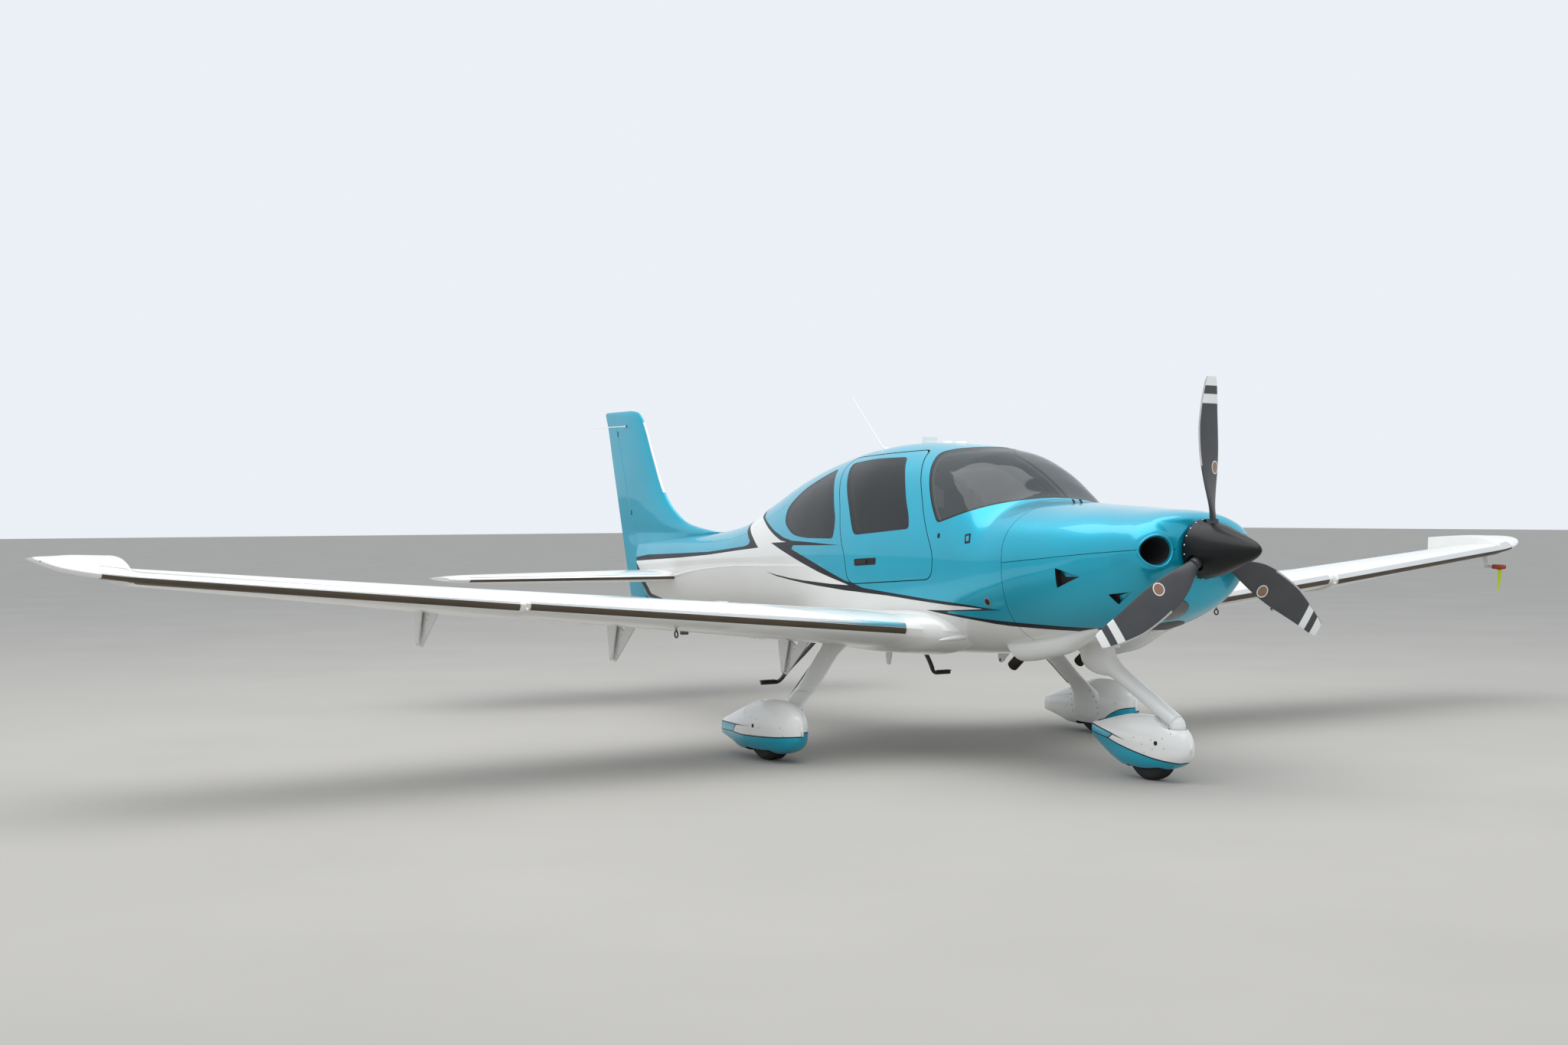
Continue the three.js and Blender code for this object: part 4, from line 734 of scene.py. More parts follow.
WINDSHIELD = [(1737, 1652, 5), (1782, 1627, 20), (1850, 1594, 30), (1957, 1559, 40), (2068, 1524, 40), (2150, 1503, 30), (2225, 1591, 60), (2337, 1737, 80), (2459, 1882, 60), (2522, 1962, 30), (2457, 1984, 20), (2335, 1995, 10), (2325, 2100, 5), (1737, 2100, 5)]
DOOR = [(2183, 1150, 80), (3140, 1092, 150), (3172, 1270, 90), (3232, 1400, 90), (3285, 1600, 160), (3560, 1948, 130), (2650, 1982, 50), (2499, 1831, 80), (2360, 1666, 80), (2246, 1456, 60), (2168, 1310, 60)]
DOOR_WINDOW = [(2432, 1466, 35), (3065, 1420, 45), (3170, 1607, 80), (3289, 1740, 80), (3448, 1908, 50), (3149, 1934, 90), (2780, 1936, 40), (2603, 1769, 80), (2455, 1554, 60)]
REAR_WINDOW = [(3338, 1394, 36), (3772, 1394, 120), (3990, 1416, 90), (4160, 1500, 70), (4196, 1610, 60), (4047, 1735, 90), (3834, 1816, 90), (3632, 1878, 36), (3448, 1710, 90), (3322, 1520, 80)]

# paint borders on the side of the fuselage: [station, z]
SPEAR_1 = [(4361, 1352), (4079, 1362), (3982, 1373), (3682, 1366), (3433, 1357), (3233, 1351), (3432, 1348), (3952, 1340), (3978, 1313)]
BAND_TOP = [(3978, 1313), (3763, 1264), (3550, 1212), (3357, 1161), (3177, 1115), (3095, 1103), (2952, 1072), (2775, 1060), (2503, 1042), (2249, 1024), (2036, 1013), (1825, 999), (1718, 989), (1576, 980)]
SPEAR_2_LOW = [(1736, 981), (1900, 989), (2045, 993), (2196, 1001), (2431, 1015), (2679, 1031), (2944, 1040), (3038, 1044), (3196, 1048), (3382, 1058), (3578, 1067), (3790, 1079), (4019, 1094), (4262, 1113), (4458, 1140)]
SPEAR_2_TOP = [(4458, 1140), (4259, 1123), (4014, 1107), (3784, 1097), (3570, 1092), (3372, 1086), (3139, 1085)]
BAND_LOW = [(3139, 1087), (3362, 1128), (3554, 1165), (3764, 1212), (3995, 1265), (4171, 1305), (4361, 1352)]
SPEAR_3 = [(2293, 953), (2063, 960), (1736, 980), (1576, 979), (1743, 970), (2067, 953), (2090, 945), (1989, 936), (1806, 921), (1677, 914), (1531, 908), (1331, 901), (1139, 894), (1032, 891), (952, 892), (861, 898), (784, 908), (743, 916), (700, 925), (640, 944), (600, 948), (560, 952)]
SPEAR_3_LOW = [(560, 914), (640, 914), (700, 898), (784, 883), (861, 873), (952, 866), (1050, 864), (1153, 868), (1346, 874), (1570, 882), (1691, 890), (1815, 903), (2025, 924), (2168, 938), (2293, 953)]
CAB_OUTER = [(4079, 1362), (4183, 1371), (4298, 1402), (4434, 1445), (4606, 1504), (4731, 1539), (4810, 1582), (4850, 1635), (4868, 1760)]
CAB_INNER = [(3982, 1373), (4139, 1394), (4315, 1436), (4510, 1495), (4655, 1537), (4720, 1578), (4760, 1640), (4778, 1760)]
TAIL_UP = [(7230, 1190), (6951, 1218), (6206, 1243), (5631, 1264), (5217, 1295), (4908, 1318), (4835, 1330), (4806, 1343), (4806, 1362), (4894, 1406), (4947, 1431), (5009, 1466), (5070, 1500), (5105, 1545), (5115, 1640)]
TAIL_LOW = [(7214, 1160), (6187, 1208), (5617, 1241), (5064, 1283), (4607, 1313), (4742, 1382), (4855, 1432), (4960, 1474), (5010, 1510), (5040, 1560), (5050, 1700)]
LEG_AFT = [(7230, 1190), (7186, 1075), (7052, 912), (7049, 800)]
LEG_FORE = [(7214, 1160), (7107, 1077), (6982, 938), (6963, 885), (6805, 853), (6805, 800)]
SPLIT = [(300, 1372), (800, 1335), (1511, 1268)]
GILL_1 = [(1077, 1245), (1077, 1129), (900, 1200)]
GILL_2 = [(752, 1100), (609, 1118), (725, 1042)]


def rudder_line(z):
    return 7130 + 0.373 * (z - 847)


FUS = Hull(FUSELAGE, 600.0)
DARK_ZONES = [
    SPEAR_1 + BAND_TOP[1:] + SPEAR_2_LOW + SPEAR_2_TOP[1:] + BAND_LOW,
    SPEAR_3 + SPEAR_3_LOW,
    CAB_OUTER + CAB_INNER[::-1],
    TAIL_UP + TAIL_LOW[::-1],
    LEG_AFT + LEG_FORE[::-1],
]
WHITE_ZONE = SPEAR_3_LOW + SPEAR_3[1:3] + SPEAR_2_LOW[1:] + SPEAR_2_TOP[1:] + BAND_LOW[1:] + CAB_OUTER + TAIL_LOW[::-1] + LEG_FORE[1:] + [(6805, 500), (440, 500), (440, 900)]


def fus_point(s, z, side=-1, off=0.0):
    """A point of the fuselage's side and its normal."""
    s, z = np.asarray(s, float), np.asarray(z, float)
    P = FUS.P(s, FUS.angle(s, z))
    N = FUS.N(P)
    f = np.array([side, 1, 1.0])
    return (P + N * off) * f, N * f


# air inlets: an oval seen from the front, found on the surface
INLET = (326.0, 1351.0, 94.0, 85.0)


def cheek(P):
    x, s, z = np.abs(P[..., 0]), P[..., 1], P[..., 2]
    r = np.sqrt(((x - INLET[0]) / INLET[2]) ** 2 + ((z - INLET[1]) / INLET[3]) ** 2)
    inboard = np.clip((INLET[0] - x) / 60.0, 0, 1) * np.clip((z - 1300) / 60.0, 0, 1)
    wide = 0.55 - 0.22 * inboard
    fade = np.clip((860 - s) / 330, 0, 1)
    fade = fade * fade * (3 - 2 * fade) * np.clip((s - 449) / 22, 0, 1)
    return 15.0 * np.exp(-np.clip((r - 1.12) / wide, 0, 9) ** 2) * fade * (r > 0.2)


FUS.bump = cheek


def inlet_ring(grow=0.0, n=56):
    k = np.arange(n) / n * 2 * PI
    x = INLET[0] + (INLET[2] + grow) * np.cos(k)
    z = INLET[1] + (INLET[3] + grow) * np.sin(k)
    lo, hi = np.full(n, 448.0), np.full(n, 760.0)
    for _ in range(40):
        m = (lo + hi) / 2
        out = FUS.F(x, m, z) > 0
        lo, hi = np.where(out, m, lo), np.where(out, hi, m)
    return np.column_stack([x, (lo + hi) / 2, z])


ring = inlet_ring()
ring_flat = np.column_stack([FUS.U(ring[:, 1]), FUS.angle(ring[:, 1], ring[:, 2]) * FUS.k])

chains = []
for outline, insets in ((DOOR, (-3, 3, 40)), (DOOR_WINDOW, (0, 10, 30)), (REAR_WINDOW, (0, 10, 30)), (WINDSHIELD, (0, 12))):
    for d in insets:
        chains.append((dense(rounded(inset(outline, d)), 11), True))
split_pts = dense(SPLIT, 12, False)
for dz in (-1.6, 1.6):
    chains.append((split_pts[(split_pts[:, 0] > 446)] + (0, dz), False))
for s in (1509.4, 1512.6, 4640.0):
    z = np.linspace(float(FUS.C(s)[1]), float(FUS.C(s)[0]), 150)
    chains.append((np.column_stack([np.full(150, s), z]), False))
for zone in DARK_ZONES:
    chains.append((dense(zone, 14), True))
chains.append((dense(SPEAR_3_LOW, 14, False), False))
for g in (GILL_1, GILL_2):
    chains.append((dense(rounded([p + (5,) for p in g]), 8), True))
tail_z = np.linspace(845, 1320, 40)
TAIL_CUT = np.column_stack([rudder_line(tail_z) - 44, tail_z])
chains.append((TAIL_CUT, False))
sa, T = FUS.cells(chains, 21, lambda s: 84 if s < 4700 else 60 if s < 5600 else 40, flat_chains=[(ring_flat, True)])
cx, cs, cz = FUS.centres(sa, T)

paint = np.zeros(len(T), int)
paint[within(WHITE_ZONE, cs, cz)] = 1
for zone in DARK_ZONES:
    paint[within(zone, cs, cz)] = 2
split_z = np.interp(cs, [p[0] for p in SPLIT], [p[1] for p in SPLIT])
in_ring = (((cx - INLET[0]) / INLET[2]) ** 2 + ((cz - INLET[1]) / INLET[3]) ** 2 < 1) & (cs < 700)
in_gill = within(rounded([p + (5,) for p in GILL_1]), cs, cz) | within(rounded([p + (5,) for p in GILL_2]), cs, cz)
is_cowl = (cs < 1509.4) & ~in_ring & ~in_gill
hole = {d: within(rounded(inset(DOOR, d)), cs, cz) for d in (-3, 3, 40)}
wind = {d: within(rounded(inset(DOOR_WINDOW, d)), cs, cz) for d in (0, 10, 30)}
rear = {d: within(rounded(inset(REAR_WINDOW, d)), cs, cz) for d in (0, 10, 30)}
shld = {d: within(rounded(inset(WINDSHIELD, d)), cs, cz) for d in (0, 12)}
ahead = cs < rudder_line(cz) - 44
cabin = (cs > 1512.6) & (cs < 4640) & ~hole[-3] & ~rear[0] & ~shld[0]
tail = (cs > 4640) & ahead
# material 3 is the near-black painted shade for inner faces and for the walls of gaps and openings
PAINT3 = [TEAL, WHITE, STRIPE, SHADE_DARK]


def nose_face(geo, upper):
    """The flat ring behind the spinner."""
    k = np.linspace(0, PI, 49) if upper else np.linspace(PI, 2 * PI, 49)
    c, q = np.cos(k), np.sin(k)
    P = FUS.P(np.full(49, 448.0), np.arcsin(q))
    outer_ring = np.column_stack([P[:, 0] * np.sign(c + 1e-12), P[:, 1], P[:, 2]])
    rings = [outer_ring]
    for r, s in ((0.5, 446.5), (0.0, 448.0), (0.0, 470.0)):
        inner_ring = np.column_stack([104 * c, np.full(49, s), 1357 + 104 * q])
        mixed = outer_ring * r + inner_ring * (1 - r)
        mixed[:, 1] = s
        rings.append(mixed)
    R = np.array(rings)
    q4 = grid_faces(4, 49, False)
    N = np.zeros((4 * 49, 3))
    N[:, 1] = -1
    N[3 * 49:] = np.column_stack([-c, 0 * c, -q])
    geo.add(R.reshape(-1, 3), [q4], 0, N)


# inner faces of the cowl halves and the walls of their gaps take material 3, painted shade
for name, sel in (("cowl_upper", is_cowl & (cz > split_z + 1.6)), ("cowl_lower", is_cowl & (cz < split_z - 1.6))):
    g = Geo()
    shell(g, FUS, sa, T[sel], 0, 12, (1, -1), paint[sel], 3, 3, skip=lambda s, a: s < 449)
    nose_face(g, name == "cowl_upper")
    g.make(name + "_skin", PAINT3, "airframe", name, "upper_paint", normals=True)

g = Geo()
sel = cabin
# walls round the door, window and windshield openings take material 3, painted shade
shell(g, FUS, sa, T[sel], 0, 15, (1, -1), paint[sel], None, 3, skip=lambda s, a: np.abs(s - 4640) < 0.01)
g.make("cabin_skin", PAINT3, "airframe", "cabin_shell", "upper_paint", normals=True)

g = Geo()
# walls of the gaps take material 3, painted shade
shell(g, FUS, sa, T[tail], 0, 12, (1, -1), paint[tail], None, 3, skip=lambda s, a: np.abs(s - 4640) < 0.01)
# the plate that closes the tail cone ahead of the rudder, dark: painted shade of the gap
zc = np.linspace(846, 1316, 30)
zz = []
for z in zc:
    s = rudder_line(z) - 44
    if FUS.F(np.array(0.0), np.array(s), np.array(z)) < 0:
        a = float(FUS.angle(np.array(s), np.array(z)))
        zz.append((float(FUS.P(np.array(s), np.array(a))[0]), s, z))
zz = np.array(zz)
for fore in (10,):
    L, R = zz.copy(), zz.copy()
    R[:, 0] *= -1
    L[:, 1] -= fore
    R[:, 1] -= fore
    V = np.concatenate([L, R])
    k = np.arange(len(zz) - 1)
    n = len(zz)
    g.add(V, [np.stack([k, k + 1, k + 1 + n, k + n], -1)], 3, np.tile((0, 1, 0), (len(V), 1)))
g.make("tail_skin", PAINT3, "airframe", "tail_cone", "upper_paint", normals=True)

# inner lining of the cabin, seen through the windows and the door openings
low, high = 1560, 4385
line_zone = (cs > low) & (cs < high)
lining = line_zone & ~hole[-3] & ~rear[30] & ~shld[12]
g = Geo()
shell(g, FUS, sa, T[lining], 17, 35, (1, -1), None, np.where(cz[lining] < 1150, 1, 0), 0, skip=lambda s, a: (s < 1600) | (s > 4340))
ringsel = lining & (rear[0] | shld[0])
shell(g, FUS, sa, T[ringsel], 17, 18, (1, -1), 2, None, None)
g.make("cabin_lining", [LINING, TRIM, BORDER], "airframe", (), "cabin_lining", normals=True)

for side, q in (("right", -1), ("left", 1)):
    sel = hole[3] & ~wind[0]
    g = Geo()
    # the walls of the door gap and the flange behind it take material 3, painted shade
    shell(g, FUS, sa, T[sel], 0, 15, (q,), paint[sel], None, 3)
    step = hole[3] & ~hole[40]
    shell(g, FUS, sa, T[step], 15, 15.5, (q,), None, 3, None)
    g.make("door_skin_" + side, PAINT3, "door_" + side, "door_" + side, "upper_paint", normals=True)
    g = Geo()
    sel = hole[40] & ~wind[30]
    shell(g, FUS, sa, T[sel], 15, 36, (q,), np.where(wind[0][sel], 2, 0), np.where(cz[sel] < 1400, 1, 0), 0)
    g.make("door_lining_" + side, [LINING, TRIM, BORDER], "door_" + side, (), "cabin_lining", normals=True)
    g = Geo()
    sel = wind[0]
    shell(g, FUS, sa, T[sel], 1.5, 7, (q,), np.where(wind[10][sel], 0, 1), np.where(wind[10][sel], 0, 1), 1)
    g.make("door_glass_" + side, [GLASS, BORDER], "door_" + side, "door_window_" + side, "windows", normals=True)
    g = Geo()
    sel = rear[0]
    shell(g, FUS, sa, T[sel], 1.5, 7, (q,), np.where(rear[10][sel], 0, 1), np.where(rear[10][sel], 0, 1), 1)
    g.make("rear_glass_" + side, [GLASS, BORDER], "airframe", "rear_window_" + side, "windows", normals=True)
g = Geo()
sel = shld[0]
shell(g, FUS, sa, T[sel], 1.5, 7, (1, -1), np.where(shld[12][sel], 0, 1), np.where(shld[12][sel], 0, 1), 1)
g.make("windshield_glass", [SHIELD, BORDER], "airframe", "windshield", "windows", normals=True)

# inlet lips and ducts; the ducts and the plate closing them are dark: painted shade
g = Geo()
for q in (1, -1):
    f = np.array([q, 1, 1.0])
    rings = []
    base, wide = inlet_ring(0), inlet_ring(16)
    base, nrm = FUS.place(base[:, 1], FUS.angle(base[:, 1], base[:, 2]))
    outw = unit(wide - inlet_ring(0))
    for k in np.linspace(0, 1, 9):
        th = PI * k
        rings.append(base + outw * (7 * math.cos(th) + 2) + nrm * (7 * math.sin(th) - 1.0))
    back = inlet_ring(-8)
    back[:, 1] = back[:, 1] + 8
    rings.append(back)
    for d, gr in ((40, -12), (110, -18), (190, -26)):
        r = inlet_ring(gr)
        r[:, 1] = 480 + d
        rings.append(r)
    R = np.array(rings) * f
    mats = np.zeros((len(rings) - 1, R.shape[1]), int)
    mats[9:] = 1
    loft(R, (False, True), mats, g, flip=q > 0)
g.make("inlet_lips", [TEAL, SHADE_DARK], "airframe", (), "upper_paint", angle=60)

# cowl gills: a ramp down into the skin, closed by a floor; the aft four fifths of it are dark, painted shade of the
# recess
g = Geo()
for q in (1, -1):
    for tri, deep in ((GILL_1, 34), (GILL_2, 30)):
        out = rounded([p + (5,) for p in tri])
        P, N = fus_point(out[:, 0], out[:, 1], q)
        front = min(p[0] for p in tri)
        back = max(p[0] for p in tri)
        d = 2 + deep * np.clip((out[:, 0] - front) / (back - front), 0, 1) ** 1.2
        low_ring = P - N * d[:, None]
        c = low_ring.mean(0)
        n = len(out)
        V = np.concatenate([P - N * 1.0, low_ring, [c]])
        k = np.arange(n)
        wall = np.stack([k, (k + 1) % n, (k + 1) % n + n, k + n], -1)
        fan = np.stack([k + n, (k + 1) % n + n, np.full(n, 2 * n)], -1)
        gill_shade = np.where(out[:, 0] > back - 0.82 * (back - front), 1, 0)
        if q > 0:
            wall, fan = wall[:, ::-1], fan[:, ::-1]
        g.add(V, [wall, fan], [gill_shade, gill_shade])
g.make("cowl_gills", [TEAL, SHADE_DARK], "airframe", (), "upper_paint", angle=40)

# ------------------------------------------------------------------------------------------------ wings
WING = [
    [380, 2020, 3790, 812, 0.157, 0.008, 4.0],
    [600, 2080, 3770, 828, 0.157, 0.008, 4.0],
    [690, 2200, 3741, 836, 0.157, 0.008, 4.0],
    [770, 2268, 3735, 843, 0.157, 0.008, 4.0],
    [3281, 2456, 3521, 1061, 0.146, 0.001, 2.4],
    [3287, 2428, 3520, 1055, 0.152, 0.002, 2.4],
    [5400, 2590, 3341, 1249, 0.12, 0.002, 1.0],
    [5408.5, 2590, 3341, 1250, 0.12, 0.002, 1.0],
    [5413, 2591, 3340, 1250, 0.125, 0.02, -7],
    [5600, 2632, 3318, 1274, 0.12, 0.02, -6],
    [5730, 2690, 3275, 1300, 0.11, 0.015, -4],
    [5805, 2760, 3215, 1326, 0.09, 0.01, -2],
    [5840, 2880, 3120, 1345, 0.07, 0, 0],
]
STAB = [
    [30, 6325, 7345, 1048, 0.1, 0, 0],
    [1700, 6600, 7262, 1048, 0.1, 0, 0],
    [1850, 6628, 7252, 1048, 0.095, 0, 0],
    [1930, 6668, 7235, 1048, 0.08, 0, 0],
    [1970, 6760, 7200, 1048, 0.06, 0, 0],
]


def half_thick(u):
    u = np.clip(u, 0, 1)
    return 5 * (0.2969 * np.sqrt(u) - 0.126 * u - 0.3516 * u**2 + 0.2843 * u**3 - 0.1036 * u**4)


def camber_line(u, m):
    return np.where(u < 0.4, (m / 0.16) * (0.8 * u - u * u), (m / 0.36) * (0.2 + 0.8 * u - u * u))


class Foil:
    """A flying surface by a table of x, leading and trailing edge, height, thickness, camber, nose-up angle."""

    def __init__(self, rows, smooth=()):
        self.rows = np.array(rows, float)
        self.smooth = smooth  # ranges of x that are drawn as a smooth curve
        self.curves = []
        for a, b in smooth:
            inside_rows = self.rows[(self.rows[:, 0] >= a) & (self.rows[:, 0] <= b)]
            extra = []
            for x in (a, b):
                if not (abs(inside_rows[:, 0] - x) < 1e-6).any():
                    extra.append(self.linear(x))
            allr = np.array(sorted(list(map(list, inside_rows)) + [list(e) for e in extra]))
            self.curves.append((a, b, Curve(allr)))

    def linear(self, x):
        return np.concatenate([[x], [np.interp(x, self.rows[:, 0], self.rows[:, k]) for k in range(1, 7)]])

    def row(self, x):
        for a, b, c in self.curves:
            if a <= x <= b:
                return c(x)
        return self.linear(x)[1:]

    def at(self, x, s):
        le, te, z, t, m, deg = self.row(x)
        c = te - le
        u = (s - le) / c
        return z + camber_line(u, m) * c - u * c * math.tan(math.radians(deg)), (half_thick(u) * t + 0.0022) * c

    def pts(self, x, u, up):
        le, te, z, t, m, deg = self.row(x)
        c = te - le
        y = half_thick(u) * t + 0.0022
        v = camber_line(u, m) + (y if up else -y)
        return np.column_stack([np.full(len(u), x), le + u * c, z + v * c - u * c * math.tan(math.radians(deg))])

    def uc(self, x, s):
        le, te = self.row(x)[:2]
        return (s - le) / (te - le)


def spread(a, b, n, ease=0.5):
    """n points from a to b, closer together at b."""
    t = np.linspace(0, 1, n)
    e = np.sin(t * PI / 2)
    return a + (b - a) * (t * (1 - ease) + e * ease)


STRIP_U = 0.042
N1, N2, N3, NC = 9, 20, 8, 9


def fixed_loop(foil, x, hinge, full, clear=1.5):
    s_h = hinge(x)
    z_h, h = foil.at(x, s_h)
    R = h + clear
    cut = foil.uc(x, s_h - math.sqrt(max(R * R - h * h, 0)))
    us = spread(cut, STRIP_U, N2)
    ul = STRIP_U * (np.cos(np.linspace(0, PI / 2, N3)[1:]))
    ul[-1] = 0
    fore = np.concatenate([us, ul])
    top, low = foil.pts(x, fore, True), foil.pts(x, fore[:-1][::-1], False)
    loop = np.concatenate([top, low])
    if full:
        ua = np.linspace(1, cut, N1 + 1)[:-1]
        return np.concatenate([foil.pts(x, ua, True), loop, foil.pts(x, ua[::-1], False)])
    th = np.linspace(-PI / 2, PI / 2, NC + 2)[1:-1]
    a0 = math.acos(min(1, h / R))
    th = np.linspace(-PI / 2 + a0, PI / 2 - a0, NC + 2)[1:-1]
    arc = np.column_stack([np.full(NC, x), s_h - R * np.cos(th), z_h + R * np.sin(th)])
    return np.concatenate([loop, arc])


def moving_loop(foil, x, hinge, tuck=0.4):
    s_h = hinge(x)
    z_h, h = foil.at(x, s_h)
    r = h - tuck
    u = np.linspace(1, foil.uc(x, s_h), N1 + 3)
    th = np.linspace(PI / 2, -PI / 2, 17)
    arc = np.column_stack([np.full(17, x), s_h - r * np.cos(th), z_h + r * np.sin(th)])
    return np.concatenate([foil.pts(x, u, True), arc[1:-1], foil.pts(x, u[::-1], False)])


N_FORE = N2 + N3 - 1
N_LOOP = 2 * N_FORE - 1


def strip_cols(full):
    """Columns of a loop whose quads lie on the leading-edge strip."""
    off = N1 if full else 0
    total = N_LOOP + (2 * N1 if full else NC)
    cols = np.zeros(total, int)
    cols[off + N2 - 1: off + N2 - 1 + 2 * (N3 - 1)] = 1
    return cols


def end_wall(geo, foil, x, hinge, outward, clear=1.5):
    """Closes a full section beside a cut-out: the part behind the cove."""
    full = fixed_loop(foil, x, hinge, True, clear)
    part = fixed_loop(foil, x, hinge, False, clear)
    poly = np.concatenate([full[: N1 + 1], part[N_LOOP:][::-1], full[N1 + N_LOOP - 1:]])
    idx = np.arange(len(poly))[None, :]
    geo.add(poly, [idx if outward > 0 else idx[:, ::-1]], 0)


def lengthwise(foil, segments, strips, geo=None, clear=1.5):
    """The fixed part: segments of (stations, full, hinge)."""
    geo = geo or Geo()
    last = len(segments) - 1
    for n, (xs, full, hinge) in enumerate(segments):
        rings = [fixed_loop(foil, x, hinge, full, clear) for x in xs]
        cols = strip_cols(full)
        mid = [(a + b) / 2 for a, b in zip(xs, xs[1:])]
        on = np.array([any(a <= m <= b for a, b in strips) for m in mid], int)
        mats = on[:, None] * cols[None, :]
        loft(rings, (n == 0, n == last), mats, geo)
        if n < last and full:
            end_wall(geo, foil, xs[-1], hinge, 1, clear)
        if n > 0 and full:
            end_wall(geo, foil, xs[0], hinge, -1, clear)
    return geo


def stations(a, b, step, *extra):
    n = max(1, int(round((b - a) / step)))
    xs = sorted(set([round(a + (b - a) * k / n, 3) for k in range(n + 1)] + [e for e in extra if a < e < b]))
    keep = [xs[0]]
    for x in xs[1:]:
        if x - keep[-1] > 1.0 or x in extra:
            keep.append(x)
    return keep


foil = Foil(WING, smooth=((380, 1200), (5413, 5840)))
trail = lambda x: 3800 - 0.085 * x
lin_le = lambda x: float(np.interp(x, [r[0] for r in WING], [r[1] for r in WING]))
flap_line = lambda x: trail(x) - 0.245 * (trail(x) - lin_le(x))
ail_line = lambda x: trail(x) - 0.235 * (trail(x) - lin_le(x))
f0, f1 = flap_line(690), flap_line(3756)
a0, a1 = ail_line(3776), ail_line(5400)
flap_h = lambda x: f0 + (f1 - f0) * (x - 690) / (3756 - 690)
ail_h = lambda x: a0 + (a1 - a0) * (x - 3776) / (5400 - 3776)
STRIPS = [(763, 3268), (3296, 5560)]
segments = [
    (stations(380, 684, 22), True, flap_h),
    (stations(684, 3763, 60, 763, 3268, 3281, 3287, 3296), False, flap_h),
    ([3763, 3769], True, lambda x: flap_h(x) if x < 3766 else ail_h(x)),
    (stations(3769, 5406, 60), False, ail_h),
    (stations(5406, 5840, 14, 5408.5, 5413, 5560), True, ail_h),
]
wing = lengthwise(foil, segments, STRIPS)

def edge_strip(path_at, stations_, lift=2.4, geo=None, mat=0, low=0):
    """A thin metal strip wrapped round a leading edge: path_at(x) gives points from above to below."""
    rings = []
    for x in stations_:
        P = path_at(x)
        d = np.gradient(P, axis=0)
        span = np.array([1.0, 0, 0]) if abs(P[0, 0] - P[-1, 0]) < 1e-6 and np.ptp(P[:, 0]) < 1e-6 else np.array([0, 0, 1.0])
        N = unit(np.cross(d, span))
        if N[len(P) // 2, 1] > 0:
            N = -N
        t = np.full(len(P), lift)
        t[0] = t[-1] = lift * 0.55
        rings.append(np.concatenate([P + N * t[:, None], (P - N * 1.2)[::-1]]))
    mats = np.full((len(rings) - 1, len(rings[0])), mat)
    # the lower half of the strip and its inside take the material low, which on the wing and tailplane is a painted
    # reflection of the shaded ground
    mats[:, len(rings[0]) // 4:] = low
    return loft(rings, (True, True), mats, geo)


def wrap(f, x, y):
    """Points round the nose of a section, out to where its half thickness is y."""
    le, te, z, t, m, deg = f.row(x)
    u = np.linspace(0, 0.2, 800) ** 1.0
    yy = (half_thick(u) * t + 0.0022) * (te - le)
    ue = float(np.interp(y, yy, u))
    k = ue * (1 - np.cos(np.linspace(0, PI / 2, 9)))
    return np.concatenate([f.pts(x, k[::-1], True), f.pts(x, k[1:], False)])


strips = Geo()
# lower halves of the strips take material 2, the painted reflection of the shaded ground
for a, b in ((766, 3243), (3322, 5560)):
    edge_strip(lambda x: wrap(foil, x, 33), stations(a, b, 60, 3281, 3287), 3.0, strips, 0, 2)
# the cuff between the strips, with a small round tip
for x in (3300, ):
    z, h = foil.at(x, foil.row(x)[0] + 40)
    turned([(0, -9), (6, -7), (9, 0), (6, 7), (0, 9)], 14, (x - 20, foil.row(x)[0] + 4, foil.row(x)[2] - 26), "y", strips, 1)

# flap hinge brackets: a plate with holes under the wing, and an arm on the flap beside it
PIVOT = [(920, 3440, 505), (3560, 3330, 800)]


def pivot_at(x):
    t = (x - PIVOT[0][0]) / (PIVOT[1][0] - PIVOT[0][0])
    return [a + t * (b - a) for a, b in zip(*PIVOT)]


def circle(c, r, n=14):
    k = np.arange(n) / n * 2 * PI
    return np.column_stack([c[0] + r * np.cos(k), c[1] + r * np.sin(k)])


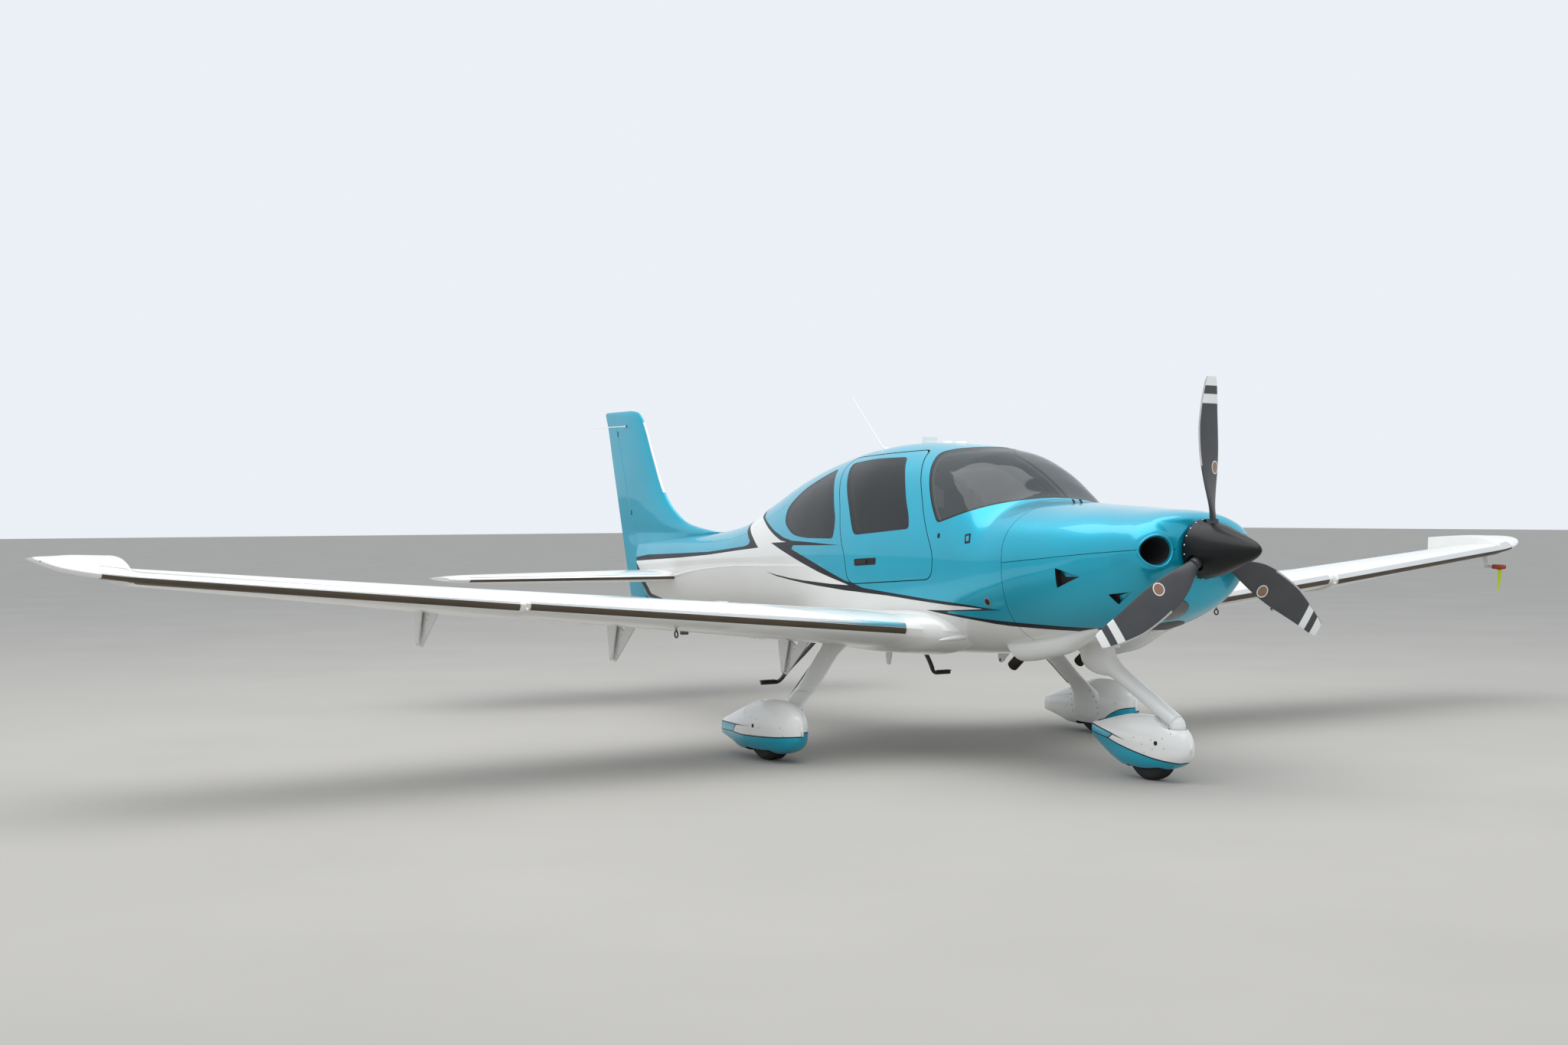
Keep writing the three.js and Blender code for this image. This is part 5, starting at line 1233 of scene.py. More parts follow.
flap_geo = loft([moving_loop(foil, x, flap_h) for x in stations(692, 3749, 60, 3281, 3287)])
for x in (920, 2240, 3560):
    _, ps, pz = pivot_at(x)
    nose = flap_h(x)
    low = lambda s: foil.at(x, s)[0] - foil.at(x, s)[1]
    aft = nose - foil.at(x, nose)[1] - 26
    drop = low(aft) - pz
    zn, hn_ = foil.at(x, nose)
    reach = min([math.hypot(nose - ps, zn - pz) - hn_] + [math.hypot(s - ps, low(s) - pz) for s in np.arange(nose, nose + 220, 5)]) - 8
    c0, c1 = math.atan2(low(aft) - pz, aft - ps), math.atan2(low(nose + 150) - pz, nose + 150 - ps)
    arc = [(ps + reach * math.cos(c), pz + reach * math.sin(c), 4) for c in np.linspace(c0, c1, 8)]
    out = rounded([(aft - 130, low(aft - 130) + 10, 6), (aft, low(aft) + 10, 6)] + arc + [(ps + 22, pz - 8, 12), (ps + 8, pz - 26, 12), (ps - 14, pz - 22, 12)], steps=4)
    holes = [circle((ps + 2, pz - 4), 7)]
    top = np.array([(aft + 10), low(aft + 10)])
    for t in (0.30, 0.62):
        c = top + (np.array([ps, pz]) - top) * t
        holes.append(circle(c, 6))
    plate(out, x - 5, x + 5, wing, 0, "x", holes)
    # a flange where it meets the wing
    slab((16, 62, 4), (x, aft - 66, low(aft - 66) - 3), 3, geo=wing)
    arm = rounded([(nose + 5, low(nose + 5) + 10, 6), (nose + 150, low(nose + 150) + 6, 6), (ps + 20, pz - 6, 10), (ps + 4, pz - 20, 10), (ps - 12, pz - 8, 10)], steps=4)
    plate(arm, x + 20, x + 28, flap_geo, 0, "x", [circle((ps + 3, pz - 6), 6)])
    turned([(0, -1), (9, -1), (9, 2), (5, 3), (0, 3)], 12, (x - 8, ps + 3, pz - 5), "x", wing, 2)
z_j, h_j = foil.at(2060, 2800)
turned([(0, -14), (24, -14), (26, -12), (26, 2), (30, 6), (30, 12)], 24, (2060, 2800, z_j - h_j), "z", wing, 2)
ail_geo = loft([moving_loop(foil, x, ail_h) for x in stations(3776, 5400, 60)])
# static wicks on the aileron's trailing edge
for x in (4500, 4850, 5200):
    te = trail(x)
    zt = foil.at(x, te - 1)[0]
    rod([(x, te - 24, zt + 6, 3), (x, te - 2, zt + 4, 2.6), (x, te + 60, zt - 4, 1.2)], 6, (1, 0, 0), ail_geo, 1)
# wing tip light, fuel cap and access plates on the wing
wing_bits = Geo()
for x, s, r in ((1900, 2640, 52), ):
    z, h = foil.at(x, s)
    slope = (foil.at(x, s + 20)[0] + foil.at(x, s + 20)[1] - foil.at(x, s - 20)[0] - foil.at(x, s - 20)[1]) / 40
    turned([(0, 1.5), (r * 0.25, 3.5), (r * 0.8, 2.6), (r, 1.2), (r + 1, -4)], 28, (x, s, z + h), "z", wing_bits, 0)
    turned([(r * 0.1, 3), (r * 0.1, 7), (r * 0.5, 7), (r * 0.52, 3)], 20, (x, s, z + h - 1), "z", wing_bits, 1)
for k, (x, s) in enumerate(((1500, 2860), (2700, 2900), (4200, 2860), (4700, 2850))):
    z, h = foil.at(x, s)
    dz = (foil.at(x + 40, s)[0] - foil.at(x + 40, s)[1] - z + h) / 40
    kk = np.arange(28) / 28 * 2 * PI
    rr = []
    for r, o in ((0.1, 1.6), (62, 1.6), (64, 0.8), (65, -3)):
        px, py = x + r * np.cos(kk), s + r * 0.8 * np.sin(kk)
        zz_ = np.array([foil.at(a, b)[0] - foil.at(a, b)[1] for a, b in zip(px, py)]) - o
        rr.append(np.column_stack([px, py, zz_]))
    loft(rr, (False, False), 0, wing_bits)
    pts = [(x + 50 * math.cos(t), s + 40 * math.sin(t)) for t in np.arange(8) / 8 * 2 * PI]
    dots(wing_bits, [(a, b, foil.at(a, b)[0] - foil.at(a, b)[1] - 1.6) for a, b in pts], [(0, 0, -1)] * 8, 3.4, 1.2, 2, 6)
# tip light: a coloured teardrop
tip = Geo()
for k, (x, s, rx, rs, rz, m) in enumerate(((5812, 2850, 16, 52, 11, 0), )):
    z = foil.at(x, s)[0]
    pr = []
    for t in np.linspace(0, PI, 13):
        kk = np.arange(18) / 18 * 2 * PI
        c, q = math.cos(t), math.sin(t)
        pr.append(np.column_stack([x + rx * q * np.cos(kk), np.full(18, s - rs * c), z + 2 + rz * q * np.sin(kk)]))
    loft(pr, (False, False), 0, tip)

for side, q in (("right", -1), ("left", 1)):
    G = wing if q > 0 else wing.mirror()
    G.make("wing_skin_" + side, [WHITE, WHITE, STEEL], "airframe", "wing_" + side, "white_paint", angle=28)
    G = strips if q > 0 else strips.mirror()
    G.make("wing_edge_" + side, [PANEL, WHITE, EDGE_SHADE], "airframe", (), "bare_metal", angle=40)
    G = flap_geo if q > 0 else flap_geo.mirror()
    G.make("flap_skin_" + side, [WHITE, STEEL], "flap_" + side, "flap_" + side, "white_paint", angle=28)
    G = ail_geo if q > 0 else ail_geo.mirror()
    G.make("aileron_skin_" + side, [WHITE, BLACK], "aileron_" + side, "aileron_" + side, "white_paint", angle=28)
    G = wing_bits if q > 0 else wing_bits.mirror()
    G.make("wing_plates_" + side, [WHITE, METAL, GREY], "airframe", (), "white_paint", angle=40)
    G = tip if q > 0 else tip.mirror()
    G.make("tip_light_" + side, [NAVRED if q > 0 else NAVGREEN], "airframe", (), "windows", angle=60)

# ------------------------------------------------------------------------------------------------ tailplane
stab = Foil(STAB, smooth=((1650, 1970),))
stab_h = lambda x: 6985.0
seg = [(stations(30, 1948, 55, 300), False, stab_h), (stations(1948, 1970, 5), True, stab_h)]
tailplane = lengthwise(stab, seg, [(300, 1850)])
elev = loft([moving_loop(stab, x, stab_h) for x in stations(112, 1940, 50)])
for x in (1500, 1700, 1880):
    te = stab.row(x)[1]
    rod([(x, te - 20, 1050, 2.8), (x, te - 2, 1049, 2.4), (x, te + 48, 1046, 1.2)], 6, (1, 0, 0), elev, 1)
both = Geo().join(elev).join(elev.mirror())
turned([(0, -140), (20, -140), (20, 140), (0, 140)], 20, (0, 6985, 1048), "x", both, 1)
both.make("elevator_skin", [WHITE, BLACK], "elevator", "elevator", "white_paint", angle=28)
# lower half of the strip takes material 1, the painted reflection of the shaded ground
stab_strip = edge_strip(lambda x: wrap(stab, x, 19), stations(120, 1850, 60), 2.4, None, 0, 1)
for side, q in (("right", -1), ("left", 1)):
    G = tailplane if q > 0 else tailplane.mirror()
    G.make("stabilizer_skin_" + side, [WHITE, WHITE], "airframe", "stabilizer_" + side, "white_paint", angle=28)
    G = stab_strip if q > 0 else stab_strip.mirror()
    G.make("stabilizer_edge_" + side, [PANEL, EDGE_SHADE], "airframe", (), "bare_metal", angle=40)

# ------------------------------------------------------------------------------------------------ fin and rudder
FIN = [
    [830, 6700, 7441, 40], [1300, 6250, 7578, 42], [1412, 5900, 7611, 40], [1440, 6150, 7619, 40], [1490, 6440, 7633, 40],
    [1560, 6590, 7654, 40], [1640, 6715, 7677, 39], [1733, 6812, 7704, 38], [2050, 7010, 7796, 34], [2366, 7198, 7888, 29],
    [2420, 7255, 7912, 25], [2450, 7330, 7920, 18], [2462, 7420, 7892, 8],
]
FINC = Curve(FIN)
FIN_TOP = 2330.0


def fin_row(z):
    return FINC(z)


def fin_pts(z, u, up):
    le, te, h = fin_row(z)
    y = (half_thick(u) + 0.0022) / 0.5 * h * 0.98
    return np.column_stack([y if up else -y, le + u * (te - le), np.full(len(u), z)])


def fin_loop(z, kind, clear=2.0):
    le, te, hh = fin_row(z)
    s_h = rudder_line(z)
    u_h = (s_h - le) / (te - le)
    h = (half_thick(u_h) + 0.0022) / 0.5 * hh * 0.98
    if kind == "moving":
        u = np.linspace(1, u_h, N1 + 3)
        r = h - 0.4
        th = np.linspace(PI / 2, -PI / 2, 17)
        arc = np.column_stack([r * np.sin(th), s_h - r * np.cos(th), np.full(17, z)])
        return np.concatenate([fin_pts(z, u, True), arc[1:-1], fin_pts(z, u[::-1], False)])
    R = h + clear
    cut = (s_h - math.sqrt(R * R - h * h) - le) / (te - le)
    su = 0.055
    us = spread(cut, su, N2)
    ul = su * (np.cos(np.linspace(0, PI / 2, N3)[1:]))
    ul[-1] = 0
    fore = np.concatenate([us, ul])
    loop = np.concatenate([fin_pts(z, fore, True), fin_pts(z, fore[:-1][::-1], False)])
    if kind == "full":
        ua = np.linspace(1, cut, N1 + 1)[:-1]
        return np.concatenate([fin_pts(z, ua, True), loop, fin_pts(z, ua[::-1], False)])
    a0_ = math.acos(min(1, h / R))
    th = np.linspace(-PI / 2 + a0_, PI / 2 - a0_, NC + 2)[1:-1]
    arc = np.column_stack([R * np.sin(th), s_h - R * np.cos(th), np.full(NC, z)])
    return np.concatenate([loop, arc])


fin = Geo()
zs = stations(1240, 1700, 16) + stations(1700, 2366, 40)[1:]
zs = [z for z in zs if z < 2338] + [2338.0]
strip = strip_cols(False)
on = np.array([1 if 1745 < (a + b) / 2 < 2338 else 0 for a, b in zip(zs, zs[1:])])
loft([fin_loop(z, "fixed") for z in zs], (True, False), on[:, None] * strip[None, :], fin, flip=True)
zt = [2338, 2350, 2366, 2385, 2400, 2412, 2422, 2432, 2441, 2449, 2455, 2459, 2462]
loft([fin_loop(z, "full") for z in zt], (True, True), 0, fin, flip=True)
full, part = fin_loop(2338, "full"), fin_loop(2338, "fixed")
fin.make("fin_skin", [TEAL, TEAL], "airframe", "fin", "upper_paint", angle=28)


def fin_wrap(z):
    k = 0.016 * (1 - np.cos(np.linspace(0, PI / 2, 9)))
    return np.concatenate([fin_pts(z, k[::-1], True), fin_pts(z, k[1:], False)])


edge_strip(fin_wrap, stations(1745, 2352, 40), 2.4).make("fin_edge", [PANEL], "airframe", (), "bare_metal", angle=40)
rud = loft([fin_loop(z, "moving") for z in stations(845, FIN_TOP, 40)], flip=True)
rud.make("rudder_skin", [TEAL], "rudder", "rudder", "upper_paint", angle=28)

# ------------------------------------------------------------------------------------------------ wheel pants
MAIN = dict(x=1381.0, s=2891.0, r=190.0, w=150.0)
NOSE = dict(x=0.0, s=861.0, r=175.0, w=120.0, pivot=652.0)
MAIN_PANT = [[2518, 258, 170, 10], [2545, 302, 124, 54], [2610, 350, 78, 98], [2720, 384, 52, 128], [2850, 391, 45, 137], [3000, 368, 44, 131], [3150, 324, 48, 106], [3300, 274, 80, 70], [3420, 232, 102, 38], [3490, 208, 113, 14]]
NOSE_PANT = [[540, 232, 190, 10], [565, 284, 144, 48], [630, 337, 100, 86], [740, 372, 68, 111], [880, 381, 56, 118], [1030, 372, 64, 108], [1160, 346, 104, 80], [1290, 314, 166, 42], [1384, 292, 214, 12]]


def pant_rows(table):
    return [[s, t, b, b + 0.46 * (t - b), w, 2.1, 3.0] for s, t, b, w in table]


MP, NP = Hull(pant_rows(MAIN_PANT), 130.0), Hull(pant_rows(NOSE_PANT), 120.0)
PIN_M = [(3505, 201), (3466, 199), (3268, 207), (3158, 209), (3084, 211), (2951, 216), (3084, 206), (3158, 201), (3268, 199), (3466, 191), (3505, 191)]
DIAG_M = [(3148, 205), (3204, 154), (3216, 154), (3164, 205)]
LOW_M = [(3505, 147), (3429, 149), (3213, 158), (3044, 155), (2883, 161), (2666, 170), (2518, 180), (2500, 182)]
BAND_M = [(3505, 196), (3466, 195), (3268, 203), (3158, 205), (3210, 156), (3429, 147), (3505, 145)]
IN_M = [(2795, 30), (2779, 104), (2709, 121), (2659, 157), (2601, 188), (2556, 201), (2527, 205), (2500, 206)]
PIN_N = [(1395, 287), (1369, 285), (1141, 257), (1060, 243), (972, 226), (1060, 237), (1119, 245), (1141, 249), (1369, 276), (1395, 279)]
DIAG_N = [(1108, 247), (1166, 214), (1180, 218), (1124, 248)]
LOW_N = [(1395, 239), (1346, 236), (1165, 223), (946, 182), (754, 147), (591, 124), (535, 117)]
BAND_N = [(1395, 283), (1369, 280), (1141, 252), (1117, 247), (1172, 219), (1346, 234), (1395, 237)]


def thick_line(pts, w0, w1):
    """A band below a line, w0 wide at its first point and w1 at its last."""
    n = len(pts)
    return list(pts) + [(a, b - (w0 + (w1 - w0) * min(1, 2.2 * k / (n - 1)))) for k, (a, b) in list(enumerate(pts))[::-1]]


def dish(r):
    """Height of the dished pocket in the nose pant at a distance from the pivot."""
    return np.where(r < 53, 270.0, np.interp(r, [53, 80, 104, 150, 196], [312, 322, 338, 366, 392]))


def dish_edge(hull, pivot):
    """Where the pocket meets the surface of the pant, as flat points."""
    out = []
    for s in np.arange(546, 850, 6.0):
        a = np.linspace(0.02, PI / 2, 500)
        P = hull.P(np.full(500, s), a)
        above = P[:, 2] > dish(np.hypot(P[:, 0], P[:, 1] - pivot))
        if above[-1] and not above.all():
            out.append((s, a[np.nonzero(~above)[0][-1]]))
    out = [(out[0][0] - 3, PI / 2)] + out + [(out[-1][0] + 3, PI / 2)]
    return np.array([(float(hull.U(np.array(s))), a * hull.k) for s, a in out])


def pant(hull, darks, lowline, band, inner_line, name, body, node, xs, room, holes, slot="white_paint", pocket=None):
    s0_, s1_, wx = room
    k = 7
    corners = rounded([(s0_, 0, 40), (s1_, 0, 40), (s1_, wx, 40), (s0_, wx, 40)])
    plan = dense(rounded([(s0_, -wx, 45), (s1_, -wx, 45), (s1_, wx, 45), (s0_, wx, 45)]), 8)
    half = plan[plan[:, 1] >= -1e-6]
    order = np.argsort(np.arctan2(half[:, 1], (half[:, 0] - (s0_ + s1_) / 2)))[::-1]
    half = half[order]
    half = np.concatenate([[[s0_, 0.0]], half, [[s1_, 0.0]]])
    sS = half[:, 0]
    cc = hull.C(sS)
    w = cc[:, 3]
    a = -np.arccos(np.clip(half[:, 1] / w, 0, 1) ** (cc[:, 5] / 2))
    fl = np.column_stack([hull.U(sS), a * hull.k])
    low_dark = thick_line(lowline, 4, 8)
    under = lowline + [(lowline[-1][0], -50), (lowline[0][0], -50)]
    chains_ = [(dense(d, 6), True) for d in darks + [band, low_dark]]
    if inner_line:
        chains_.append((dense(thick_line(inner_line, 7, 7), 6), True))
    flats = [(fl, False)] + ([(dish_edge(hull, pocket), False)] if pocket else [])
    sa_, T_ = hull.cells(chains_, 9, lambda s: 44, flat_chains=flats)
    x_, s_, z_ = hull.centres(sa_, T_)
    opening = within(plan, s_, x_) & (z_ < 130)
    if pocket:
        opening |= (z_ > 270) & (s_ < 850) & (z_ > dish(np.hypot(x_, s_ - pocket)))
    outboard = np.zeros(len(T_), int)
    outboard[within(band, s_, z_) | within(under, s_, z_)] = 1
    for d in darks + [low_dark]:
        outboard[within(d, s_, z_)] = 2
    inboard = outboard
    if inner_line:
        inboard = np.zeros(len(T_), int)
        inboard[within(inner_line + [(2500, -50), (2795, -50)], s_, z_)] = 1
        inboard[within(thick_line(inner_line, 7, 7), s_, z_)] = 2
    g = Geo()
    # the inside of the pant and the rims of its openings take material 3, dark: painted shade
    for q in (1, -1):
        keep = ~opening
        p_ = outboard if (q > 0) == (xs >= 0) else inboard
        shell(g, hull, sa_, T_[keep], 0, 7, (q,), p_[keep], 3, 3, dx=xs)
    if pocket:
        # the dish under the leg, and the round wall in its middle; the wall is dark, painted shade of the gap round the
        # leg
        R_, N_ = [], []
        for th in np.arange(72) / 72 * 2 * PI:
            d_ = np.array([math.sin(th), math.cos(th)])
            rr_ = np.linspace(53, 190, 275)
            f_in = hull.F(np.abs(rr_ * d_[0]), pocket + rr_ * d_[1], dish(rr_)) < 0
            last = 53.0 if not f_in[0] else rr_[np.nonzero(~f_in)[0][0]] if (~f_in).any() else 190.0
            col = [(53.0, 288.0), (53.0, 312.0)] + [(53.0 + (last - 53.0) * k_ / 8, float(dish(53.0 + (last - 53.0) * k_ / 8))) for k_ in range(1, 9)]
            if not f_in[0]:
                zs_ = [z for z in np.arange(288, 313, 1.0) if hull.F(np.array(abs(53 * d_[0])), np.array(pocket + 53 * d_[1]), np.array(z)) < 0]
                top_ = zs_[-1] if zs_ else 288.0
                col = [(53.0, min(z, top_)) for _, z in col]
            R_.append([(xs + r * d_[0], pocket + r * d_[1], z) for r, z in col])
            N_.append([(-d_[0], -d_[1], 0)] * 2 + [tuple(unit(np.array([-d_[0] * 0.5, -d_[1] * 0.5, 1.0])))] * 8)
        R_, N_ = np.array(R_).transpose(1, 0, 2), np.array(N_).transpose(1, 0, 2)
        qd = grid_faces(10, 72)
        md = np.where(np.arange(len(qd)) < 72, 3, 0)
        g.add(R_.reshape(-1, 3), [qd], [md], N_.reshape(-1, 3))
    # rounded ends
    for s_end, sgn in ((hull.s0, -1), (hull.s1, 1)):
        kk = np.linspace(-PI / 2, PI / 2, 41)
        P = hull.P(np.full(41, s_end), kk)
        both_ = np.concatenate([P, (P * (-1, 1, 1))[::-1][1:-1]])
        c = both_.mean(0)
        rings = [both_ + (xs, 0, 0)]
        for f, o in ((0.8, 3), (0.45, 5), (0.01, 6)):
            r = c + (both_ - c) * f
            r[:, 1] = s_end + sgn * o
            rings.append(r + (xs, 0, 0))
        Nn = []
        for i, r in enumerate(rings):
            d = unit((r - (c + (xs, 0, 0))) * (1, 0, 1))
            t = (0.2, 0.6, 0.9, 1.0)[i]
            Nn.append(unit(d * (1 - t) + np.array([0, sgn * t, 0])))
        n = len(both_)
        qf = grid_faces(4, n)
        zq = np.concatenate(rings)[qf].mean(1)
        mm = np.zeros(len(qf), int)
        mm[zq[:, 2] < (np.interp(s_end, [p[0] for p in sorted(lowline)], [p[1] for p in sorted(lowline)]))] = 1
        if sgn > 0:
            aft = (zq[:, 2] > min(p[1] for p in band)) & (zq[:, 2] < max(p[1] for p in band))
            mm[aft] = 1
        g.add(np.concatenate(rings), [qf if sgn < 0 else qf[:, ::-1]], [mm], np.concatenate(Nn))
    # fasteners, and dark discs for the round openings on the sides: painted shade, no hole is cut
    for (hs, hz, hr) in holes:
        for q in (1, -1):
            P = hull.P(np.array(hs, float), hull.angle(np.array(hs, float), np.array(hz, float)))
            N = hull.N(P)
            f = np.array([q, 1, 1.0])
            if hr > 6:
                w_ = unit(N * f)
                u_ = unit(np.cross(w_, (0, 0, 1)))
                v_ = np.cross(w_, u_)
                kk = (np.arange(20) / 20 * 2 * PI)[:, None]
                rg = lambda r, h: P * f + (xs, 0, 0) + (np.cos(kk) * u_ + np.sin(kk) * v_) * r + w_ * h
                RR = np.array([rg(hr + 2.5, -0.5), rg(hr + 1.5, 1.2), rg(hr, 1.0), rg(hr * 0.92, 0.6), rg(hr * 0.2, 0.6)])
                gg = Geo()
                loft(RR, (False, True), 3, gg)
                V_ = np.concatenate(gg.V)
                g.add(V_, gg.P, [np.concatenate(gg.M)], np.tile(w_, (len(V_), 1)))
            else:
                gg = Geo()
                dots(gg, P * f + (xs, 0, 0), N * f, hr, 1.4, 4)
                V_ = np.concatenate(gg.V)
                g.add(V_, gg.P, [np.concatenate(gg.M)], np.tile(unit(N * f), (len(V_), 1)))
    return g.make(name, [WHITE, TEAL, STRIPE, SHADE_DARK, GREY], body, node, slot, normals=True)


main_marks = [(2890, 222, 11)] + [(2890 + 70 * math.cos(t), 215 + 62 * math.sin(t), 3.6) for t in np.arange(6) / 6 * 2 * PI] + [(2620, 230, 3.6), (2600, 180, 3.6), (3120, 240, 3.6), (3120, 180, 3.6)]
nose_marks = [(723, 232, 11), (830, 217, 3.6), (812, 170, 3.6), (759, 247, 3.6), (746, 196, 3.6), (680, 262, 3.6), (666, 206, 3.6), (638, 292, 3.6), (900, 250, 3.6)]
for side, q in (("right", -1), ("left", 1)):
    pant(MP, [PIN_M, DIAG_M], LOW_M, BAND_M, IN_M, "pant_" + side, "airframe", "wheel_pant_" + side, q * 1381.0, (2891 - 170, 2891 + 170, 103), main_marks)
pant(NP, [PIN_N, DIAG_N], LOW_N, BAND_N, None, "pant_nose", "nose_gear", "nose_pant", 0.0, (861 - 160, 861 + 160, 80), nose_marks, pocket=652.0)

# ------------------------------------------------------------------------------------------------ wheels
def wheel(name, x, s, r, w, rim, body, tyre_node, rim_node):
    h = w / 2
    prof = [(rim, -h * 0.60), (rim + 5, -h * 0.70), (r * 0.62, -h * 0.93), (r * 0.78, -h * 0.99), (r * 0.88, -h * 0.93), (r * 0.955, -h * 0.74), (r * 0.985, -h * 0.55)]
    tread = []
    for c in (-0.36, -0.12, 0.12, 0.36):
        tread += [(r - 0.4, (c - 0.075) * w), (r - 5, (c - 0.05) * w), (r - 5, (c + 0.05) * w), (r - 0.4, (c + 0.075) * w)]
    prof += [(a, b) for a, b in tread if abs(b) < h * 0.6]
    prof += [(a, -b) for a, b in prof[:7][::-1]]
    prof.append((rim, h * 0.60))
    prof.append((rim - 2, 0))
    turned(prof, 64, (x, s, r), "x", closed=True).make("tyre_" + name, [RUBBER], body, tyre_node, "tyre_rubber", angle=30)
    g = Geo()
    p = [(20, -h * 0.52), (34, -h * 0.52), (38, -h * 0.30), (rim * 0.62, -h * 0.24), (rim * 0.86, -h * 0.36), (rim * 0.90, -h * 0.60), (rim - 1, -h * 0.62), (rim - 0.5, -h * 0.52), (rim - 8, -h * 0.40)]
    p += [(a, -b) for a, b in p[::-1]]
    p += [(20, h * 0.52)]
    turned(p, 48, (x, s, r), "x", g, 0, closed=True)
    for k in range(6):
        t = k / 6 * 2 * PI
        for sg in (-1, 1):
            dots(g, (x + sg * h * 0.27, s + rim * 0.52 * math.cos(t), r + rim * 0.52 * math.sin(t)), (sg, 0, 0), 5.5, 7, 1, 6)
    turned([(26, -8), (rim * 0.8, -8), (rim * 0.8, -4), (26, -4)], 40, (x - h * 0.1, s, r), "x", g, 1, closed=True)
    g.make("rim_" + name, [WHEEL, STEEL], body, rim_node, "wheel_metal", angle=30)


wheel("right", -1381, 2891, 190, 150, 78, "wheel_right", "tyre_right", "rim_right")
wheel("left", 1381, 2891, 190, 150, 78, "wheel_left", "tyre_left", "rim_left")
wheel("nose", 0, 861, 175, 120, 66, "nose_wheel", "nose_tyre", "nose_rim")

# ------------------------------------------------------------------------------------------------ landing gear legs
LEG = [(770, 2965, 790, 40, 185), (815, 2958, 742, 32, 150), (862, 2950, 694, 24, 124), (910, 2944, 648, 19, 111), (1061, 2912, 480, 17, 109), (1126, 2906, 412, 17, 106)]
CUFF_ROWS = [  # z, inner x, outer x, centre station, half width
    (436, 1089, 1120, 2908, 108), (400, 1125, 1162, 2906, 106), (360, 1166, 1206, 2903, 108), (320, 1196, 1262, 2903, 118),
    (280, 1216, 1310, 2903, 134), (240, 1226, 1330, 2900, 150), (200, 1232, 1335, 2897, 158), (160, 1236, 1335, 2894, 156), (120, 1244, 1335, 2890, 140), (96, 1256, 1330, 2888, 110),
]


def leg_geo():
    path = smooth_path(LEG, 26)
    g = rod(path, 28, (0, 1, 0), exponent=2.2, caps=(True, False))
    rows_ = Curve(CUFF_ROWS)
    zz_ = np.linspace(436, 96, 30)
    c = np.array([-1.0]) * 0
    rings = []
    for z in zz_[::-1]:
        xi, xo, sc, hw = Curve([(-r[0], *r[1:]) for r in CUFF_ROWS])(-z)
        a = (np.arange(36) + 0.5) / 36 * 2 * PI
        e = 2 / 2.6
        ca, sn = np.sign(np.cos(a)) * np.abs(np.cos(a)) ** e, np.sign(np.sin(a)) * np.abs(np.sin(a)) ** e
        rings.append(np.column_stack([(xi + xo) / 2 + (xo - xi) / 2 * ca, sc + hw * sn, np.full(36, z)]))
    loft(rings, (True, True), 0, g, flip=False)
    # axle inside the pant
    turned([(0, -60), (20, -60), (20, 70), (16, 74), (0, 74)], 20, (1381, 2891, 190), "x", g, 1)
    return g


lg = leg_geo()
# screws round the cuff
pts, nr = [], []
for k, z in enumerate((150, 190, 230, 270, 310)):
    xi, xo, sc, hw = Curve([(-r[0], *r[1:]) for r in CUFF_ROWS])(-float(z))
    for sg in (-1, 1):
        pts.append((xi + (xo - xi) * 0.045, sc + sg * hw * 0.86, z))
        nr.append((-1, 0.25 * sg, 0.1))
dots(lg, pts, nr, 4.2, 2.0, 2)
# brake line down the leg's rear edge
bl = smooth_path([(800, 3095, 740, 3.5), (850, 3078, 690, 3.5), (900, 3068, 640, 3.5), (1061, 3035, 480, 3.5), (1130, 3024, 408, 3.5), (1190, 3016, 350, 3.5)], 24)
rod(bl, 8, (0, 1, 0), lg, 2)
for side, q in (("right", -1), ("left", 1)):
    G = lg if q > 0 else lg.mirror()
    G.make("leg_" + side, [WHITE, METAL, STEEL], "airframe", "gear_leg_" + side, "white_paint", angle=38)

strut = smooth_path([(0, 1328, 806, 46, 178), (0, 1328, 742, 46, 176), (0, 1300, 698, 45, 140), (0, 1258, 664, 45, 96), (0, 1200, 632, 44, 60), (0, 1130, 594, 43, 48), (0, 990, 522, 43, 47), (0, 848, 450, 43, 46), (0, 720, 383, 42.5, 45), (0, 662, 353, 42, 44)], 54)
g = rod(strut, 32, (0, 1, 0), exponent=2.1)
turned([(0, -44), (42, -44), (45, -39), (46, -32), (46, -10), (40, 14), (28, 34), (12, 41), (0, 42)], 36, (0, 652, 344), "z", g, 0)
turned([(0, -50), (14, -50), (16, -48), (16, 48), (0, 50)], 20, (0, 652, 312), "z", g, 1)
g.make("nose_leg", [WHITE, METAL], "airframe", "nose_strut", "white_paint", angle=38)

g = Geo()
top = rounded([(-75, 681, 8), (75, 681, 8), (75, 654, 8), (44, 614, 14), (-44, 614, 14), (-75, 654, 8)], steps=4)
plate(top, 262, 285, g, 0, "z", [circle((0, 652), 17, 20)])
for x in (-72, 72):
    arm = rounded([(646, 284, 10), (684, 284, 10), (887, 200, 14), (883, 152, 20), (835, 154, 20), (648, 250, 12)], steps=5)
    plate(arm, x - 3, x + 3, g, 0, "x")
turned([(0, -112), (12, -112), (16, -108), (16, 108), (12, 112), (0, 112)], 20, (0, 861, 175), "x", g, 1)
g.make("nose_fork_plates", [METAL, STEEL], "nose_gear", "nose_fork", "bare_metal", angle=35)

